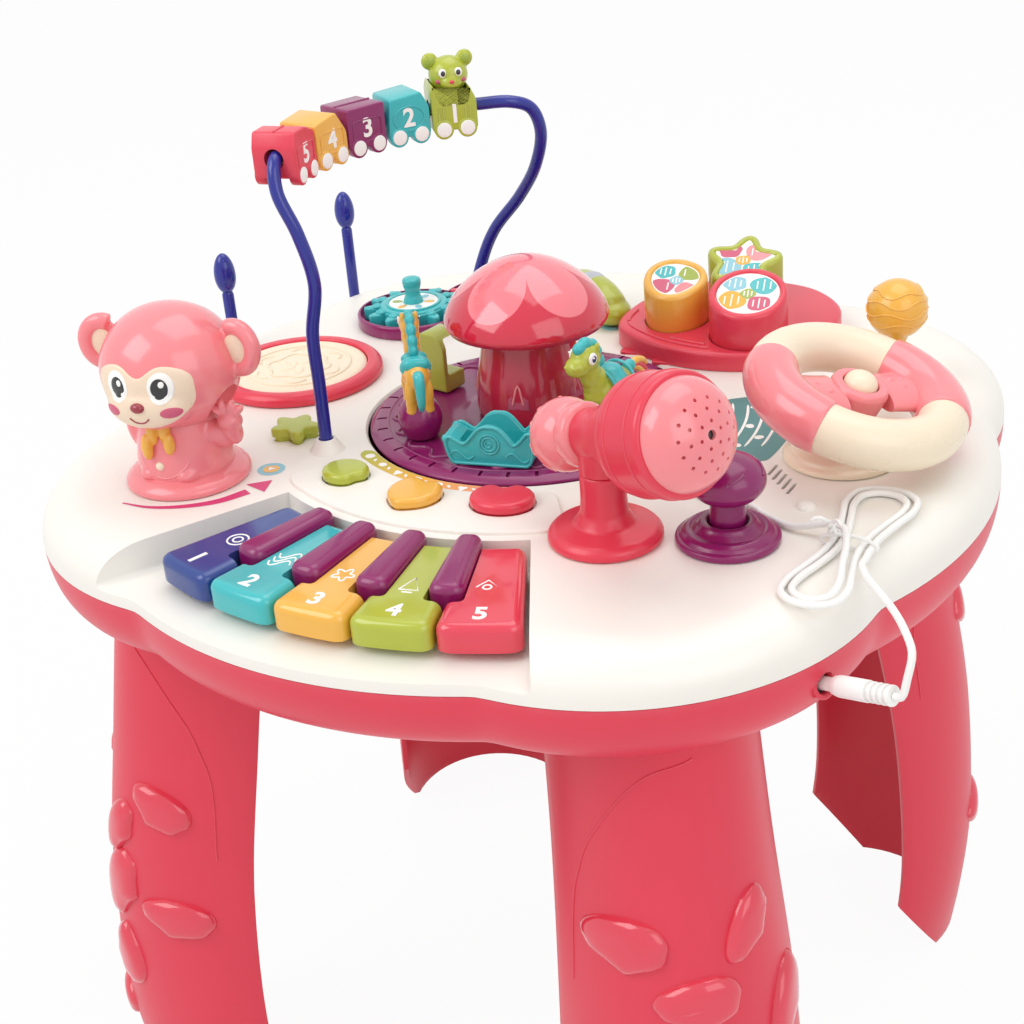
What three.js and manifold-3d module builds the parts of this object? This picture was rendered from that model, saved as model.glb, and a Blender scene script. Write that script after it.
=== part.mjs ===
// Musical activity table: a lobed play top on four moulded legs, with toys that turn, press and slide.
// Millimetres, +Z up. The origin is on the floor under the middle of the table.
// The piano faces -Y, the steering wheel +X, the shape board +Y and the drum -X; the legs stand on the diagonals.
import * as THREE from "three";
import { mergeVertices } from "three/addons/utils/BufferGeometryUtils.js";
import Module from "manifold-3d";

const wasm = await Module();
wasm.setup();

// Driving dimensions of the table
const partingHeight = 330;      // floor to the line between the white top and the red base
const topRise = 20;             // parting line to the flat play surface
const baseDrop = 30;            // parting line to the underside of the base
const kinkRadius = 215;         // middle of the table to the notch between two lobes
const legLobeBulge = 35;        // how far a lobe over a leg swells past its chord
const playLobeBulge = 18.5;     // the same for the four lobes between the legs
const shellWall = 2.6;          // wall of the moulded shells
const seam = 0.3;               // gap between pieces that touch
const running = 0.4;            // clearance round a piece that turns or slides
const overrun = 3;              // how far a cutting shape runs past what it cuts
const weldTolerance = 0.0001;   // corners closer than this are one corner

const topZ = partingHeight + topRise;
const baseZ = partingHeight - baseDrop;

const colours = {
  white: 0xf1ece4, red: 0xe0455c, pink: 0xf28a8c, cream: 0xf3ddbd, purple: 0x8a2a6d, teal: 0x35b5b8,
  blue: 0x2b3a9c, yellow: 0xf3b548, lime: 0xa9b93a, sky: 0x9fd0d8, steel: 0xb8bcc2, green: 0x2f7a4d,
    dark: 0x33343a,
};

// Helpers: places, outlines and solids
// A place on the top, given in shares of the kink radius
const spot = (xShare, yShare) => ({ x: xShare * kinkRadius, y: yShare * kinkRadius });
const turnShare = 2 * Math.PI;
const rad = (deg) => deg * Math.PI / 180;
const polar = (radius, deg) => [radius * Math.cos(rad(deg)), radius * Math.sin(rad(deg))];

// Signed volume of a closed mesh, which tells whether its faces look outwards
function enclosed(places, faces) {
  const corner = (i) => new THREE.Vector3().fromBufferAttribute(places, faces[i]);
  let volume = 0;
  for (let i = 0; i < faces.length; i += 3) volume += corner(i).dot(corner(i + 1).cross(corner(i + 2)));
  return volume;
}

function solidOf(geometry) {
  const plain = geometry.clone();
  plain.deleteAttribute("normal");
  plain.deleteAttribute("uv");
  const merged = mergeVertices(plain, weldTolerance);
  const source = merged.index.array;
  const faces = [];
  for (let i = 0; i < source.length; i += 3) {
    const [a, b, c] = [source[i], source[i + 1], source[i + 2]];
    if (a !== b && b !== c && c !== a) faces.push(a, b, c);
  }
  const flipped = enclosed(merged.attributes.position, faces) < 0;
  return new wasm.Manifold(new wasm.Mesh({
    numProp: 3,
    vertProperties: new Float32Array(merged.attributes.position.array),
    triVerts: new Uint32Array(flipped ? faces.reverse() : faces),
  }));
}

function geometryOf(solid) {
  const mesh = solid.getMesh();
  const geometry = new THREE.BufferGeometry();
  const places = new Float32Array(mesh.numVert * 3);
  for (let i = 0; i < mesh.numVert; i += 1) {
    for (let k = 0; k < 3; k += 1) places[3 * i + k] = mesh.vertProperties[mesh.numProp * i + k];
  }
  geometry.setAttribute("position", new THREE.BufferAttribute(places, 3));
  geometry.setIndex(new THREE.BufferAttribute(new Uint32Array(mesh.triVerts), 1));
  const loose = geometry.toNonIndexed();
  loose.computeVertexNormals();
  return loose;
}

const union = (...solids) => solids.reduce((a, b) => a.add(b));
const cut = (solid, ...tools) => tools.reduce((a, b) => a.subtract(b), solid);

// A closed body lofted through rings that all have the same number of points
function loft(rings) {
  const count = rings[0].length;
  const places = rings.flat().flatMap((p) => [p.x, p.y, p.z]);
  const lid = (ring) => THREE.ShapeUtils.triangulateShape(ring.map((p) => new THREE.Vector2(p.x, p.y)), []);
  const index = [];
  for (let r = 0; r + 1 < rings.length; r += 1) {
    for (let i = 0; i < count; i += 1) {
      const a = r * count + i;
      const b = r * count + (i + 1) % count;
      index.push(a, b, b + count, a, b + count, a + count);
    }
  }
  const last = (rings.length - 1) * count;
  for (const [a, b, c] of lid(rings[0])) index.push(a, c, b);
  for (const [a, b, c] of lid(rings[rings.length - 1])) index.push(last + a, last + b, last + c);
  const geometry = new THREE.BufferGeometry();
  geometry.setAttribute("position", new THREE.Float32BufferAttribute(places, 3));
  geometry.setIndex(index);
  return geometry;
}

function lathe(profile, segments = 24) {
  const points = profile.map(([r, z]) => new THREE.Vector2(r, z));
  const geometry = new THREE.LatheGeometry(points, segments);
  geometry.rotateX(Math.PI / 2);
  return geometry;
}

function prism(points, height, z = 0) {
  const shape = new THREE.Shape(points.map(([x, y]) => new THREE.Vector2(x, y)));
  const geometry = new THREE.ExtrudeGeometry(shape, { depth: height, bevelEnabled: false, steps: 1 });
  geometry.translate(0, 0, z);
  return geometry;
}

function drum(radius, height, z = 0, segments = 24) {
  return lathe([[0, z], [radius, z], [radius, z + height], [0, z + height]], segments);
}

function block(x, y, z, place = [0, 0, 0]) {
  const geometry = new THREE.BoxGeometry(x, y, z);
  geometry.translate(...place);
  return geometry;
}

function ball(rx, ry, rz, place = [0, 0, 0], wide = 16, high = 10) {
  const geometry = new THREE.SphereGeometry(1, wide, high);
  geometry.rotateX(Math.PI / 2);
  geometry.scale(rx, ry, rz);
  geometry.translate(...place);
  return geometry;
}

function tube(points, radius, sides, steps, closed = false) {
  const curve = new THREE.CatmullRomCurve3(points.map((p) => new THREE.Vector3(...p)), closed, "centripetal");
  const ring = Array.from({ length: sides }, (_, i) => {
    const a = turnShare * i / sides;
    return new THREE.Vector2(radius * Math.cos(a), radius * Math.sin(a));
  });
  return new THREE.ExtrudeGeometry(new THREE.Shape(ring), { steps, extrudePath: curve, bevelEnabled: false });
}

function moved(geometry, place, turnDeg = 0) {
  const copy = geometry.clone();
  copy.rotateZ(rad(turnDeg));
  copy.translate(...place);
  return copy;
}

const solidAt = (geometry, place, turnDeg = 0) => solidOf(moved(geometry, place, turnDeg));

// The whole table as one group of named meshes
const table = new THREE.Group();

const finishes = {
  plastic: { roughness: 0.35, metalness: 0 },
  glossy: { roughness: 0.18, metalness: 0 },
  dull: { roughness: 0.6, metalness: 0 },
  clear: { roughness: 0.15, metalness: 0, transparent: true, opacity: 0.8 },
};

function add(name, shape, colour, finish = finishes.plastic,
  { at = [0, 0, 0], turnDeg = 0, tiltDeg = 0 } = {}) {
  const solid = shape.isBufferGeometry ? solidOf(shape) : shape;
  const mesh = new THREE.Mesh(geometryOf(solid), new THREE.MeshStandardMaterial({ color: colour,
    ...finish }));
  mesh.name = name;
  mesh.rotation.set(0, rad(tiltDeg), rad(turnDeg), "ZYX");
  mesh.position.set(...at);
  table.add(mesh);
}

// The lobed outline: eight round lobes, seen from above, drawn in by an inset
const lobeCount = 8;
const lobeStepDeg = 360 / lobeCount;
const outlineSteps = 64;
const hollowSteps = 32;

function lobe(index) {
  const bulge = index % 2 ? legLobeBulge : playLobeBulge;
  const halfChord = kinkRadius * Math.sin(rad(lobeStepDeg / 2));
  const chordAway = kinkRadius * Math.cos(rad(lobeStepDeg / 2));
  const radius = (halfChord ** 2 + bulge ** 2) / (2 * bulge);
  return { radius, away: chordAway + bulge - radius, deg: lobeStepDeg * index };
}

const lobes = Array.from({ length: lobeCount }, (_, i) => lobe(i));

function outlineRadius(deg, inset) {
  let best = 0;
  for (const { radius, away, deg: middle } of lobes) {
    const side = away * Math.sin(rad(deg - middle));
    const inner = (radius - inset) ** 2 - side ** 2;
    if (inner > 0) best = Math.max(best, away * Math.cos(rad(deg - middle)) + Math.sqrt(inner));
  }
  return best;
}

function outlineRing(inset, z, steps) {
  return Array.from({ length: steps }, (_, i) => {
    const deg = 360 * i / steps;
    const [x, y] = polar(outlineRadius(deg, inset), deg);
    return new THREE.Vector3(x, y, z);
  });
}

const lobedBody = (profile, steps = outlineSteps) => solidOf(loft(profile.map(([inset,
  z]) => outlineRing(inset, z, steps))));

// White top: rounded edge, piano bay open to the front, and seats for every toy
const topRound = 24;            // how far in the top edge is rounded
const baseRound = 18;           // how far in the base edge is rounded
const topEdgeShares = [[0, 0], [0.03, 0.35], [0.25, 0.72], [0.55, 0.92], [1, 1]];
const baseEdgeShares = [[1, 1], [0.5, 0.9], [0.1, 0.6], [0, 0]];
const topEdge = topEdgeShares.map(([inset, rise]) => [inset * topRound, rise * topRise]);
const baseEdge = baseEdgeShares.map(([inset, drop]) => [inset * baseRound, drop * baseDrop]);

const bay = { halfDeg: 28.2, inner: 130, floorRise: 5, steps: 8, reach: 40 };
bay.floorZ = partingHeight + bay.floorRise;

// Gears under the top that let the monkey drive the carousel
const gearTrain = { module: 4, thick: 7, drop: 12, big: 36, idler: 12, small: 22, backlash: 0.86, post: 5 };
gearTrain.z = partingHeight - gearTrain.drop;
const pitch = (teeth) => gearTrain.module * teeth / 2;
gearTrain.idlerAway = pitch(gearTrain.big) + pitch(gearTrain.idler);
gearTrain.monkeyAway = gearTrain.idlerAway + pitch(gearTrain.idler) + pitch(gearTrain.small);

const carousel = { discRadius: 78, gap: 1.4, thick: 5, rise: 2.5, post: 9, hubRadius: 15 };
const drumToy = { ...spot(-0.63721, 0), ringOuter: 43, ringInner: 35.5, ringHeight: 6, padThick: 4,
  travel: 2, lip: 3 };
const monkey = { away: gearTrain.monkeyAway, deg: -135, faceDeg: -78, baseRadius: 28.5, baseHeight: 6,
  shaft: 9 };
const arch = { footRadius: 100, wire: 3, bossRadius: 8.5, bossTop: 4.5, bossHeight: 6, grip: 12,
  tailDeg: 135 };

// A flat sector between two radii, round the piano direction
function sector(inner, outer, halfDeg, steps, middleDeg = -90) {
  const arc = (radius, from, to) => Array.from({ length: steps + 1 }, (_, i) => (
    polar(radius, middleDeg + from + (to - from) * i / steps)
  ));
  return [...arc(outer, -halfDeg, halfDeg), ...arc(inner, halfDeg, -halfDeg)];
}

function baySolid(margin, low) {
  const marginDeg = THREE.MathUtils.radToDeg(margin / bay.inner);
  const outline = sector(bay.inner - margin, kinkRadius + bay.reach, bay.halfDeg + marginDeg, bay.steps);
  return solidOf(prism(outline, topRise + overrun, low));
}

const buttons = [
  { name: "button_clover", ...spot(-0.43721, -0.29302), size: 12.5, kind: "clover", deg: 20 },
  { name: "button_pear", ...spot(-0.2, -0.44186), size: 12, kind: "pear", deg: 150 },
  { name: "button_heart", ...spot(-0.01395, -0.46977), size: 15.5, kind: "heart", deg: -5 },
  { name: "button_cherry", ...spot(0.16744, -0.43256), size: 15, kind: "cherry", deg: 20 },
];
const buttonHeight = 4.2;
const buttonTravel = 2;
const buttonSkirt = 8;
const buttonLedge = 1.2;
const buttonSteps = 18;

// Closed outlines of the four buttons in shares of their half width
const buttonFlatShare = 0.92;
const cloverShares = { middle: 0.82, leaf: 0.18, leaves: 5 };
const pearShares = { middle: 0.9, deep: 0.16, spread: 0.12, lean: 0.06 };
const heartShares = { middle: 0.86, deep: 0.28, spread: 0.16, side: 0.1 };
const heartTipShares = { deep: 0.1, spread: 0.1 };
const cherryShares = { middle: 0.84, deep: 0.3, spread: 0.12, side: 0.12 };

// A dent of a rounded outline around one angle
function dent(shares, t, middle) {
  const away = Math.atan2(Math.sin(t - middle), Math.cos(t - middle));
  return shares.deep * Math.exp(-(away ** 2) / shares.spread);
}

const buttonOutline = {
  clover: (t) => cloverShares.middle + cloverShares.leaf * Math.cos(cloverShares.leaves * t),
  pear: (t) => pearShares.middle - dent(pearShares, t, Math.PI) + pearShares.lean * Math.cos(t),
  heart: (t) => heartShares.middle - dent(heartShares, t, Math.PI / 2) - heartShares.side * Math.cos(t) ** 2
    + dent(heartTipShares, t, -Math.PI / 2),
  cherry: (t) => cherryShares.middle - dent(cherryShares, t, Math.PI / 2)
    + cherryShares.side * Math.cos(t) ** 2,
};

function buttonShape({ size, kind, x, y, deg }, margin = 0) {
  return Array.from({ length: buttonSteps }, (_, i) => {
    const t = turnShare * i / buttonSteps;
    const r = size * buttonOutline[kind](t) + margin;
    const turned = t + rad(deg);
    return [x + r * Math.cos(turned), y + buttonFlatShare * r * Math.sin(turned)];
  });
}

const column = { ...spot(0.70698, 0.02326), baseRadius: 26, baseHeight: 5, neckRadius: 13, neckShare: 0.75 };
const shift = { ...spot(0.69767, 0.3907), neck: 4.5, ball: 14, ballZ: 40, slotY: 34 };
shift.slotX = 2 * (shift.neck + running);
const mic = { ...spot(0.41395, -0.46977), baseRadius: 23.8, baseHeight: 6 };
const stick = { ...spot(0.63256, -0.39535), baseRadius: 21.4, baseHeight: 7, ball: 15.8, rise: 23,
  footShares: [[1, 0.45], [0.8, 0.85]], collarShare: 1.5, flatShare: 0.86,
  post: 7.4 };
// Drumsticks: one stands in a sleeve in the top, the other in a clip outside the rear edge
const sticks = { radius: 3.1, length: 88, footDrop: 14, sleeve: 5.8, clip: 7.5, clipRise: 15, egg: 5.7,
  eggLong: 22, eggShares: [[0.7, 0.22], [1, 0.5], [0.88, 0.78], [0.5, 0.95]] };
const leftStick = Object.values(spot(-0.89767, 0.08837));
const rightStick = Object.values(spot(-0.90233, 0.61674));

// Speaker vents and the small dome beside them
const vents = { count: 5, wide: 1.6, long: 11, ...spot(0.6, -0.08837), stepX: 3.5, stepY: 3.5 };
const dome = { ...spot(0.72093, -0.2186), radius: 4.5, rise: 3 };

function topShell() {
  const outer = lobedBody(topEdge.map(([inset, rise]) => [inset, partingHeight + rise]));
  const innerEdge = topEdge.map(([inset, rise]) => [inset + shellWall, partingHeight + rise - shellWall]);
  innerEdge[0] = [shellWall, partingHeight - overrun];
  const hollow = lobedBody(innerEdge, hollowSteps).subtract(baySolid(shellWall, bay.floorZ - shellWall));
  let shell = cut(outer, hollow, baySolid(0, bay.floorZ));
  const holes = [drum(carousel.discRadius + carousel.gap, topRise + overrun, topZ - topRise, 36)];
  const drumSeat = drum(drumToy.ringInner - drumToy.lip, topRise + overrun, topZ - topRise, 20);
  holes.push(moved(drumSeat, [drumToy.x, drumToy.y, 0]));
  const [mx, my] = polar(monkey.away, monkey.deg);
  holes.push(moved(drum(monkey.shaft + running, topRise + overrun, topZ - topRise, 16), [mx, my, 0]));
  for (const b of buttons) holes.push(prism(buttonShape(b, -buttonLedge), topRise + overrun, topZ - topRise));
  const slot = block(shift.slotX, shift.slotY, topRise + overrun, [shift.x, shift.y, topZ - topRise / 2]);
  holes.push(slot);
  shell = cut(shell, ...holes.map(solidOf));
  const boss = lathe([[0, -arch.grip], [arch.bossRadius, -arch.grip], [arch.bossRadius, -shellWall],
    [arch.bossRadius, 0], [arch.bossTop, arch.bossHeight], [0, arch.bossHeight]], 12);
  for (const side of [-1, 1]) {
    const [x, y] = polar(arch.footRadius, side * arch.tailDeg);
    shell = shell.add(solidAt(boss, [x, y, topZ]));
    const bore = drum(arch.wire + running, arch.grip + arch.bossHeight, -arch.grip + shellWall, 10);
    shell = shell.subtract(solidAt(bore, [x, y, topZ]));
  }
  shell = withSleeve(shell, leftStick, sticks.sleeve, topRise + sticks.footDrop);
  for (let i = 0; i < vents.count; i += 1) {
    const slit = block(vents.wide, vents.long, topRise * 2,
      [vents.x + vents.stepX * i, vents.y - vents.stepY * i, topZ]);
    shell = shell.subtract(solidOf(slit));
  }
  const bump = ball(dome.radius, dome.radius, dome.rise, [dome.x, dome.y, topZ - seam], 10, 6);
  return shell.add(solidOf(bump));
}

// Adds an upright sleeve with a blind hole for a drumstick to a shell
function withSleeve(shell, [x, y], radius, height) {
  const low = partingHeight - sticks.footDrop - seam;
  const sleeve = drum(radius, height + shellWall, low - shellWall, 10);
  const hole = drum(sticks.radius + running, height + topRise, low, 10);
  return shell.add(solidAt(sleeve, [x, y, 0])).subtract(solidAt(hole, [x, y, 0]));
}

// Red base: a shallow tray with posts for the gears and a round seat for the speaker
const speaker = { ...spot(0.63256, -0.12093), radius: 20, depth: 12, seat: 8 };
const door = { ...spot(0, 0.44186), long: 75, wide: 62, thick: 2.4 };
const socket = { turnDeg: -20, tiltDeg: 15, radius: 4, barrel: 2.75, boss: 6.5, length: 13, depth: 8,
  drop: 12, inset: 1 };

// The charging socket stands square to the lobe over the front right leg and points a little upwards
function socketPlace() {
  const { radius, away, deg } = lobes[lobeCount - 1];
  const [lx, ly] = polar(away, deg);
  const [sx, sy] = polar(radius - socket.inset, socket.turnDeg);
  return { at: [lx + sx, ly + sy, partingHeight - socket.drop], turnDeg: socket.turnDeg,
    tiltDeg: 90 - socket.tiltDeg };
}

// Turns and moves a geometry the same way as add() places a mesh
function settled(geometry, { at, turnDeg = 0, tiltDeg = 0 }) {
  const copy = geometry.clone();
  copy.rotateY(rad(tiltDeg));
  copy.rotateZ(rad(turnDeg));
  copy.translate(...at);
  return copy;
}

function baseShell() {
  const outer = lobedBody(baseEdge.map(([inset, drop]) => [inset, partingHeight - drop - (drop ? 0 : seam)]));
  const inner = baseEdge.map(([inset, drop]) => [inset + shellWall,
    partingHeight - drop + (drop ? shellWall : overrun)]);
  let shell = outer.subtract(lobedBody(inner, hollowSteps));
  const post = (height) => drum(gearTrain.post, height + shellWall / 2, baseZ + shellWall / 2, 14);
  const postHeight = gearTrain.z + gearTrain.thick - baseZ - shellWall + seam;
  const places = [[0, 0], polar(gearTrain.idlerAway, monkey.deg), polar(monkey.away, monkey.deg)];
  for (const [x, y] of places) {
    const seat = drum(gearTrain.post * 2, gearTrain.z - seam - baseZ - shellWall / 2, baseZ + shellWall / 2,
      14);
    shell = union(shell, solidAt(post(postHeight), [x, y, 0]), solidAt(seat, [x, y, 0]));
  }
  const speakerLow = topZ - shellWall - seam * 2 - speaker.depth;
  const seat = drum(speaker.seat, speakerLow - baseZ - shellWall / 2, baseZ + shellWall / 2, 14);
  shell = shell.add(solidAt(seat, [speaker.x, speaker.y, 0]));
  shell = withSleeve(shell, rightStick, sticks.clip, sticks.footDrop - overrun);
  const place = socketPlace();
  const boss = solidOf(settled(drum(socket.boss, socket.length, -socket.length, 14), place));
  const bore = solidOf(settled(drum(socket.radius + seam, socket.length * 3, -socket.length * 2, 14), place));
  const doorHole = solidOf(block(door.long, door.wide, baseDrop * 2, [0, door.y, baseZ]));
  return cut(shell.add(boss), bore, doorHole);
}

// Legs: deep shells, open towards the middle, that swell below the base and draw in at the foot
const leg = { wall: 3, sweepSteps: 10, capThick: 3, depth: 64, heelDepth: 34, heelRise: 62 };
leg.topZ = baseZ - seam;
leg.face = 239;                 // middle of the table to the outermost bulge of a leg
leg.half = 57.5;                // half width of a leg at its widest
// Height, outer face and half width in shares of the leg's own sizes
const legShares = [[0, 0.967, 0.991], [0.08, 0.983, 1], [0.22, 1, 0.98], [0.5, 0.98, 0.91],
  [0.75, 0.925, 0.82],
  [1, 0.866, 0.765]];
const legRows = legShares.map(([rise, face, half]) => [rise * leg.topZ, face * leg.face, half * leg.half]);

function legRing(z, face, half, wall) {
  const points = [];
  for (let i = 0; i <= leg.sweepSteps; i += 1) {
    const a = Math.PI * (i / leg.sweepSteps - 0.5);
    points.push([face - leg.depth + leg.depth * Math.cos(a), half * Math.sin(a)]);
  }
  for (let i = leg.sweepSteps; i >= 0; i -= 1) {
    const a = Math.PI * (i / leg.sweepSteps - 0.5);
    points.push([face - leg.depth + (leg.depth - wall) * Math.cos(a), (half - wall) * Math.sin(a)]);
  }
  return points.map(([x, y]) => new THREE.Vector3(x, y, z));
}

function legBody() {
  const shell = solidOf(loft(legRows.map(([z, face, half]) => legRing(z, face, half, leg.wall))));
  const [, face, half] = legRows[legRows.length - 1];
  const outline = legRing(0, face, half, leg.wall).slice(0, leg.sweepSteps + 1).map((p) => [p.x, p.y]);
  const cap = solidOf(prism(outline, leg.capThick, leg.topZ - leg.capThick));
  const footHalf = leg.half + overrun;
  const inside = leg.face - leg.depth - leg.heelDepth / 2;
  const wedge = prism([[inside, -overrun], [leg.face - leg.heelDepth, -overrun], [inside, leg.heelRise]],
    2 * footHalf);
  wedge.rotateX(Math.PI / 2);
  wedge.translate(0, footHalf, 0);
  return cut(shell.add(cap), solidOf(wedge));
}

// Gears with involute teeth
const toothTipShare = 0.85;
const toothRootShare = 1.15;
const pressureDeg = 20;

function gearOutline(teeth, phaseDeg = 0) {
  const r = pitch(teeth);
  const base = r * Math.cos(rad(pressureDeg));
  const tip = r + toothTipShare * gearTrain.module;
  const root = r - toothRootShare * gearTrain.module;
  const involute = (radius) => {
    const t = Math.sqrt(Math.max((radius / base) ** 2 - 1, 0));
    return t - Math.atan(t);
  };
  const half = Math.PI / (2 * teeth) * gearTrain.backlash + involute(r);
  const radii = [Math.max(root, base), tip];
  const points = [];
  for (let i = 0; i < teeth; i += 1) {
    const middle = turnShare * i / teeth + rad(phaseDeg);
    const flank = radii.map((radius) => [radius, half - involute(radius)]);
    const side = base - root > seam ? [[root, half - involute(base)], ...flank] : flank;
    for (const [radius, a] of side) points.push([radius * Math.cos(middle - a),
      radius * Math.sin(middle - a)]);
    for (const [radius, a] of side.reverse()) points.push([radius * Math.cos(middle + a),
      radius * Math.sin(middle + a)]);
  }
  return points;
}

const gearSolid = (teeth, phaseDeg) => solidOf(prism(gearOutline(teeth, phaseDeg), gearTrain.thick,
  gearTrain.z));
const halfTooth = (teeth) => 180 / teeth;

// Carousel: a purple disc with its drive gear, the toadstool and four riders that go round
const rider = { away: 57, z: topZ + carousel.rise + seam };
const toadstool = {
  stemBase: 26, stemWaist: 21, stemHeight: 40, capRadius: 38.7, capRim: 6, capHeight: 35, peg: 8,
    pegHeight: 5,
  slopePower: 1.4, domePower: 1.6,
};

function turntable() {
  const { discRadius: r, thick, rise, hubRadius, post } = carousel;
  const boreTop = gearTrain.z + gearTrain.thick + overrun;
  const bore = gearTrain.post + running;
  const bottom = topZ + rise - thick;
  const disc = lathe([[0, boreTop], [bore, boreTop], [bore, gearTrain.z], [hubRadius, gearTrain.z],
    [hubRadius, bottom - post], [hubRadius + post, bottom], [r - rise, bottom], [r, bottom + rise / 2],
    [r, topZ], [r - rise * 2, topZ + rise], [0, topZ + rise]], 40);
  const eye = drum(gearTrain.post + running, gearTrain.thick + overrun * 2, gearTrain.z - overrun, 16);
  const gear = gearSolid(gearTrain.big, 0).subtract(solidOf(eye));
  return solidOf(disc).add(gear);
}

function toadstoolStem() {
  const t = toadstool;
  const z = rider.z;
  return lathe([[0, z], [t.stemBase, z], [t.stemBase - seam, z + t.capRim],
    [t.stemWaist + overrun, z + t.stemHeight / 2],
    [t.stemWaist, z + t.stemHeight], [t.peg, z + t.stemHeight], [t.peg, z + t.stemHeight + t.pegHeight],
    [0, z + t.stemHeight + t.pegHeight]], 28);
}

function toadstoolCap() {
  const t = toadstool;
  const z = rider.z + t.stemHeight + seam;
  const dome = Array.from({ length: 7 }, (_, i) => {
    const a = Math.PI / 2 * i / 6;
    const rise = (1 - Math.cos(a) ** t.slopePower) ** (1 / t.domePower);
    return [t.capRadius * Math.cos(a), z + t.capRim + (t.capHeight - t.capRim) * rise];
  });
  dome[6][0] = 0;
  const pegRoom = t.peg + running;
  return lathe([[0, z + t.pegHeight + seam], [pegRoom, z + t.pegHeight + seam], [pegRoom, z],
    [t.stemWaist, z],
    [t.capRadius - t.capRim, z + t.capRim / 2], ...dome], 26);
}

const riderPlace = (deg) => [...polar(rider.away, deg), rider.z];

// A toy horse along +X, standing at its own origin; sizes are half lengths of rounded lumps
const horse = { ball: 10.5, ballShare: 0.93, body: [13, 7, 8], bodyZ: 31, neck: [5, 4, 11],
  head: [8.5, 5, 5.5], headX: 13,
  headZ: 51,
  legX: 7, legY: 4, leg: 3.2, footZ: 13, tail: [3.4, 2.4, 9], tailX: -14, tailZ: 27, mane: [3.2, 2, 9] };

function carouselHorse() {
  const h = horse;
  const lumps = [
    ball(h.ball, h.ball, h.ball, [0, 0, h.ball * h.ballShare], 12, 7),
    ball(...h.body, [0, 0, h.bodyZ], 10, 6),
    ball(...h.neck, [h.headX - h.neck[0], 0, (h.headZ + h.bodyZ) / 2], 8, 5),
    ball(...h.head, [h.headX, 0, h.headZ], 8, 6),
    ball(...h.tail, [h.tailX, 0, h.tailZ], 6, 4),
    ball(...h.mane, [h.headX - h.head[0], 0, h.headZ - h.mane[0]], 6, 4),
  ];
  for (const sx of [-1, 1]) {
    for (const sy of [-1, 1]) {
      const height = (h.bodyZ - h.footZ) / 2;
      lumps.push(ball(h.leg, h.leg, height, [sx * h.legX, sy * h.legY, h.footZ + height], 6, 4));
    }
  }
  const solid = union(...lumps.map(solidOf));
  const flat = solidOf(block(h.ball * 2, h.ball * 2, h.ball, [0, 0, -h.ball / 2]));
  return solid.subtract(flat);
}

const pony = { body: [15, 8.5, 9], bodyZ: 27, neck: [5.5, 4.5, 13], head: [10, 6, 6.4], headX: 16, headZ: 46,
  legX: 8, legY: 4.6, leg: 3.8, tail: [8, 2.6, 4], tailX: -21, tailZ: 31, saddle: [7, 9, 4],
  saddleShare: 0.75 };

function carouselPony() {
  const p = pony;
  const lumps = [
    ball(...p.body, [0, 0, p.bodyZ], 10, 6),
    ball(...p.neck, [p.headX - p.neck[0], 0, (p.headZ + p.bodyZ) / 2], 8, 5),
    ball(...p.head, [p.headX, 0, p.headZ], 10, 6),
    ball(...p.tail, [p.tailX, 0, p.tailZ], 6, 4),
    ball(...p.saddle, [0, 0, p.bodyZ + p.body[2] * p.saddleShare], 8, 4),
  ];
  for (const sx of [-1, 1]) {
    for (const sy of [-1, 1]) {
      lumps.push(moved(drum(p.leg, p.bodyZ, 0, 7), [sx * p.legX, sy * p.legY, 0]));
    }
  }
  return union(...lumps.map(solidOf));
}

// The sleigh's side: a swan-backed outline in shares of its length and height
const sleigh = { length: 42, height: 19, width: 17, wall: 2.4, floor: 3, roomShare: 0.7 };
const sleighSideShares = [
  [-0.42, 0], [0.4, 0], [0.48, 0.28], [0.5, 0.6], [0.46, 0.68], [0.38, 0.6], [0.3, 0.52], [0.22, 0.66],
    [0.12, 0.9],
  [0, 1], [-0.12, 0.92], [-0.22, 0.68], [-0.28, 0.55], [-0.36, 0.68], [-0.44, 0.86], [-0.5, 0.84],
    [-0.5, 0.7],
];

function carouselSleigh() {
  const s = sleigh;
  const side = prism(sleighSideShares.map(([x, z]) => [x * s.length, z * s.height]), s.width);
  side.rotateX(Math.PI / 2);
  side.translate(0, s.width / 2, 0);
  const room = block(s.length * s.roomShare, s.width - 2 * s.wall, s.height * 2, [0, 0, s.floor + s.height]);
  return solidOf(side).subtract(solidOf(room));
}

const seatToy = { width: 20, depth: 15, height: 30, wall: 3, seatZ: 9 };

function carouselSeat() {
  const s = seatToy;
  const shell = [[-s.depth / 2, 0], [s.depth / 2, 0], [s.depth / 2, s.seatZ], [s.wall - s.depth / 2, s.seatZ],
    [s.wall - s.depth / 2, s.height - s.wall], [s.depth / 2, s.height - s.wall], [s.depth / 2, s.height],
    [-s.depth / 2, s.height]];
  const body = prism(shell, s.width);
  body.rotateX(Math.PI / 2);
  body.translate(0, s.width / 2, 0);
  return solidOf(body);
}

// Monkey: a turning figure whose shaft carries a gear under the top
const monkeyBody = { neck: 11, waist: 17, hip: 21, height: 48, handX: 4, handY: 22, handZ: 34, hand: 6,
  arm: 5.4, legOut: 18, legRadius: 7, waistShare: 0.7, legLongShare: 1.4, legSideShare: 1.2 };
const monkeyHead = { z: 74, rx: 31, ry: 33, rz: 28.5, ear: 14, earX: -2, earY: 34, earZ: 9, earThick: 6,
  muzzle: [9, 17, 10], muzzleX: 25, muzzleZ: -9 };

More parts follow.
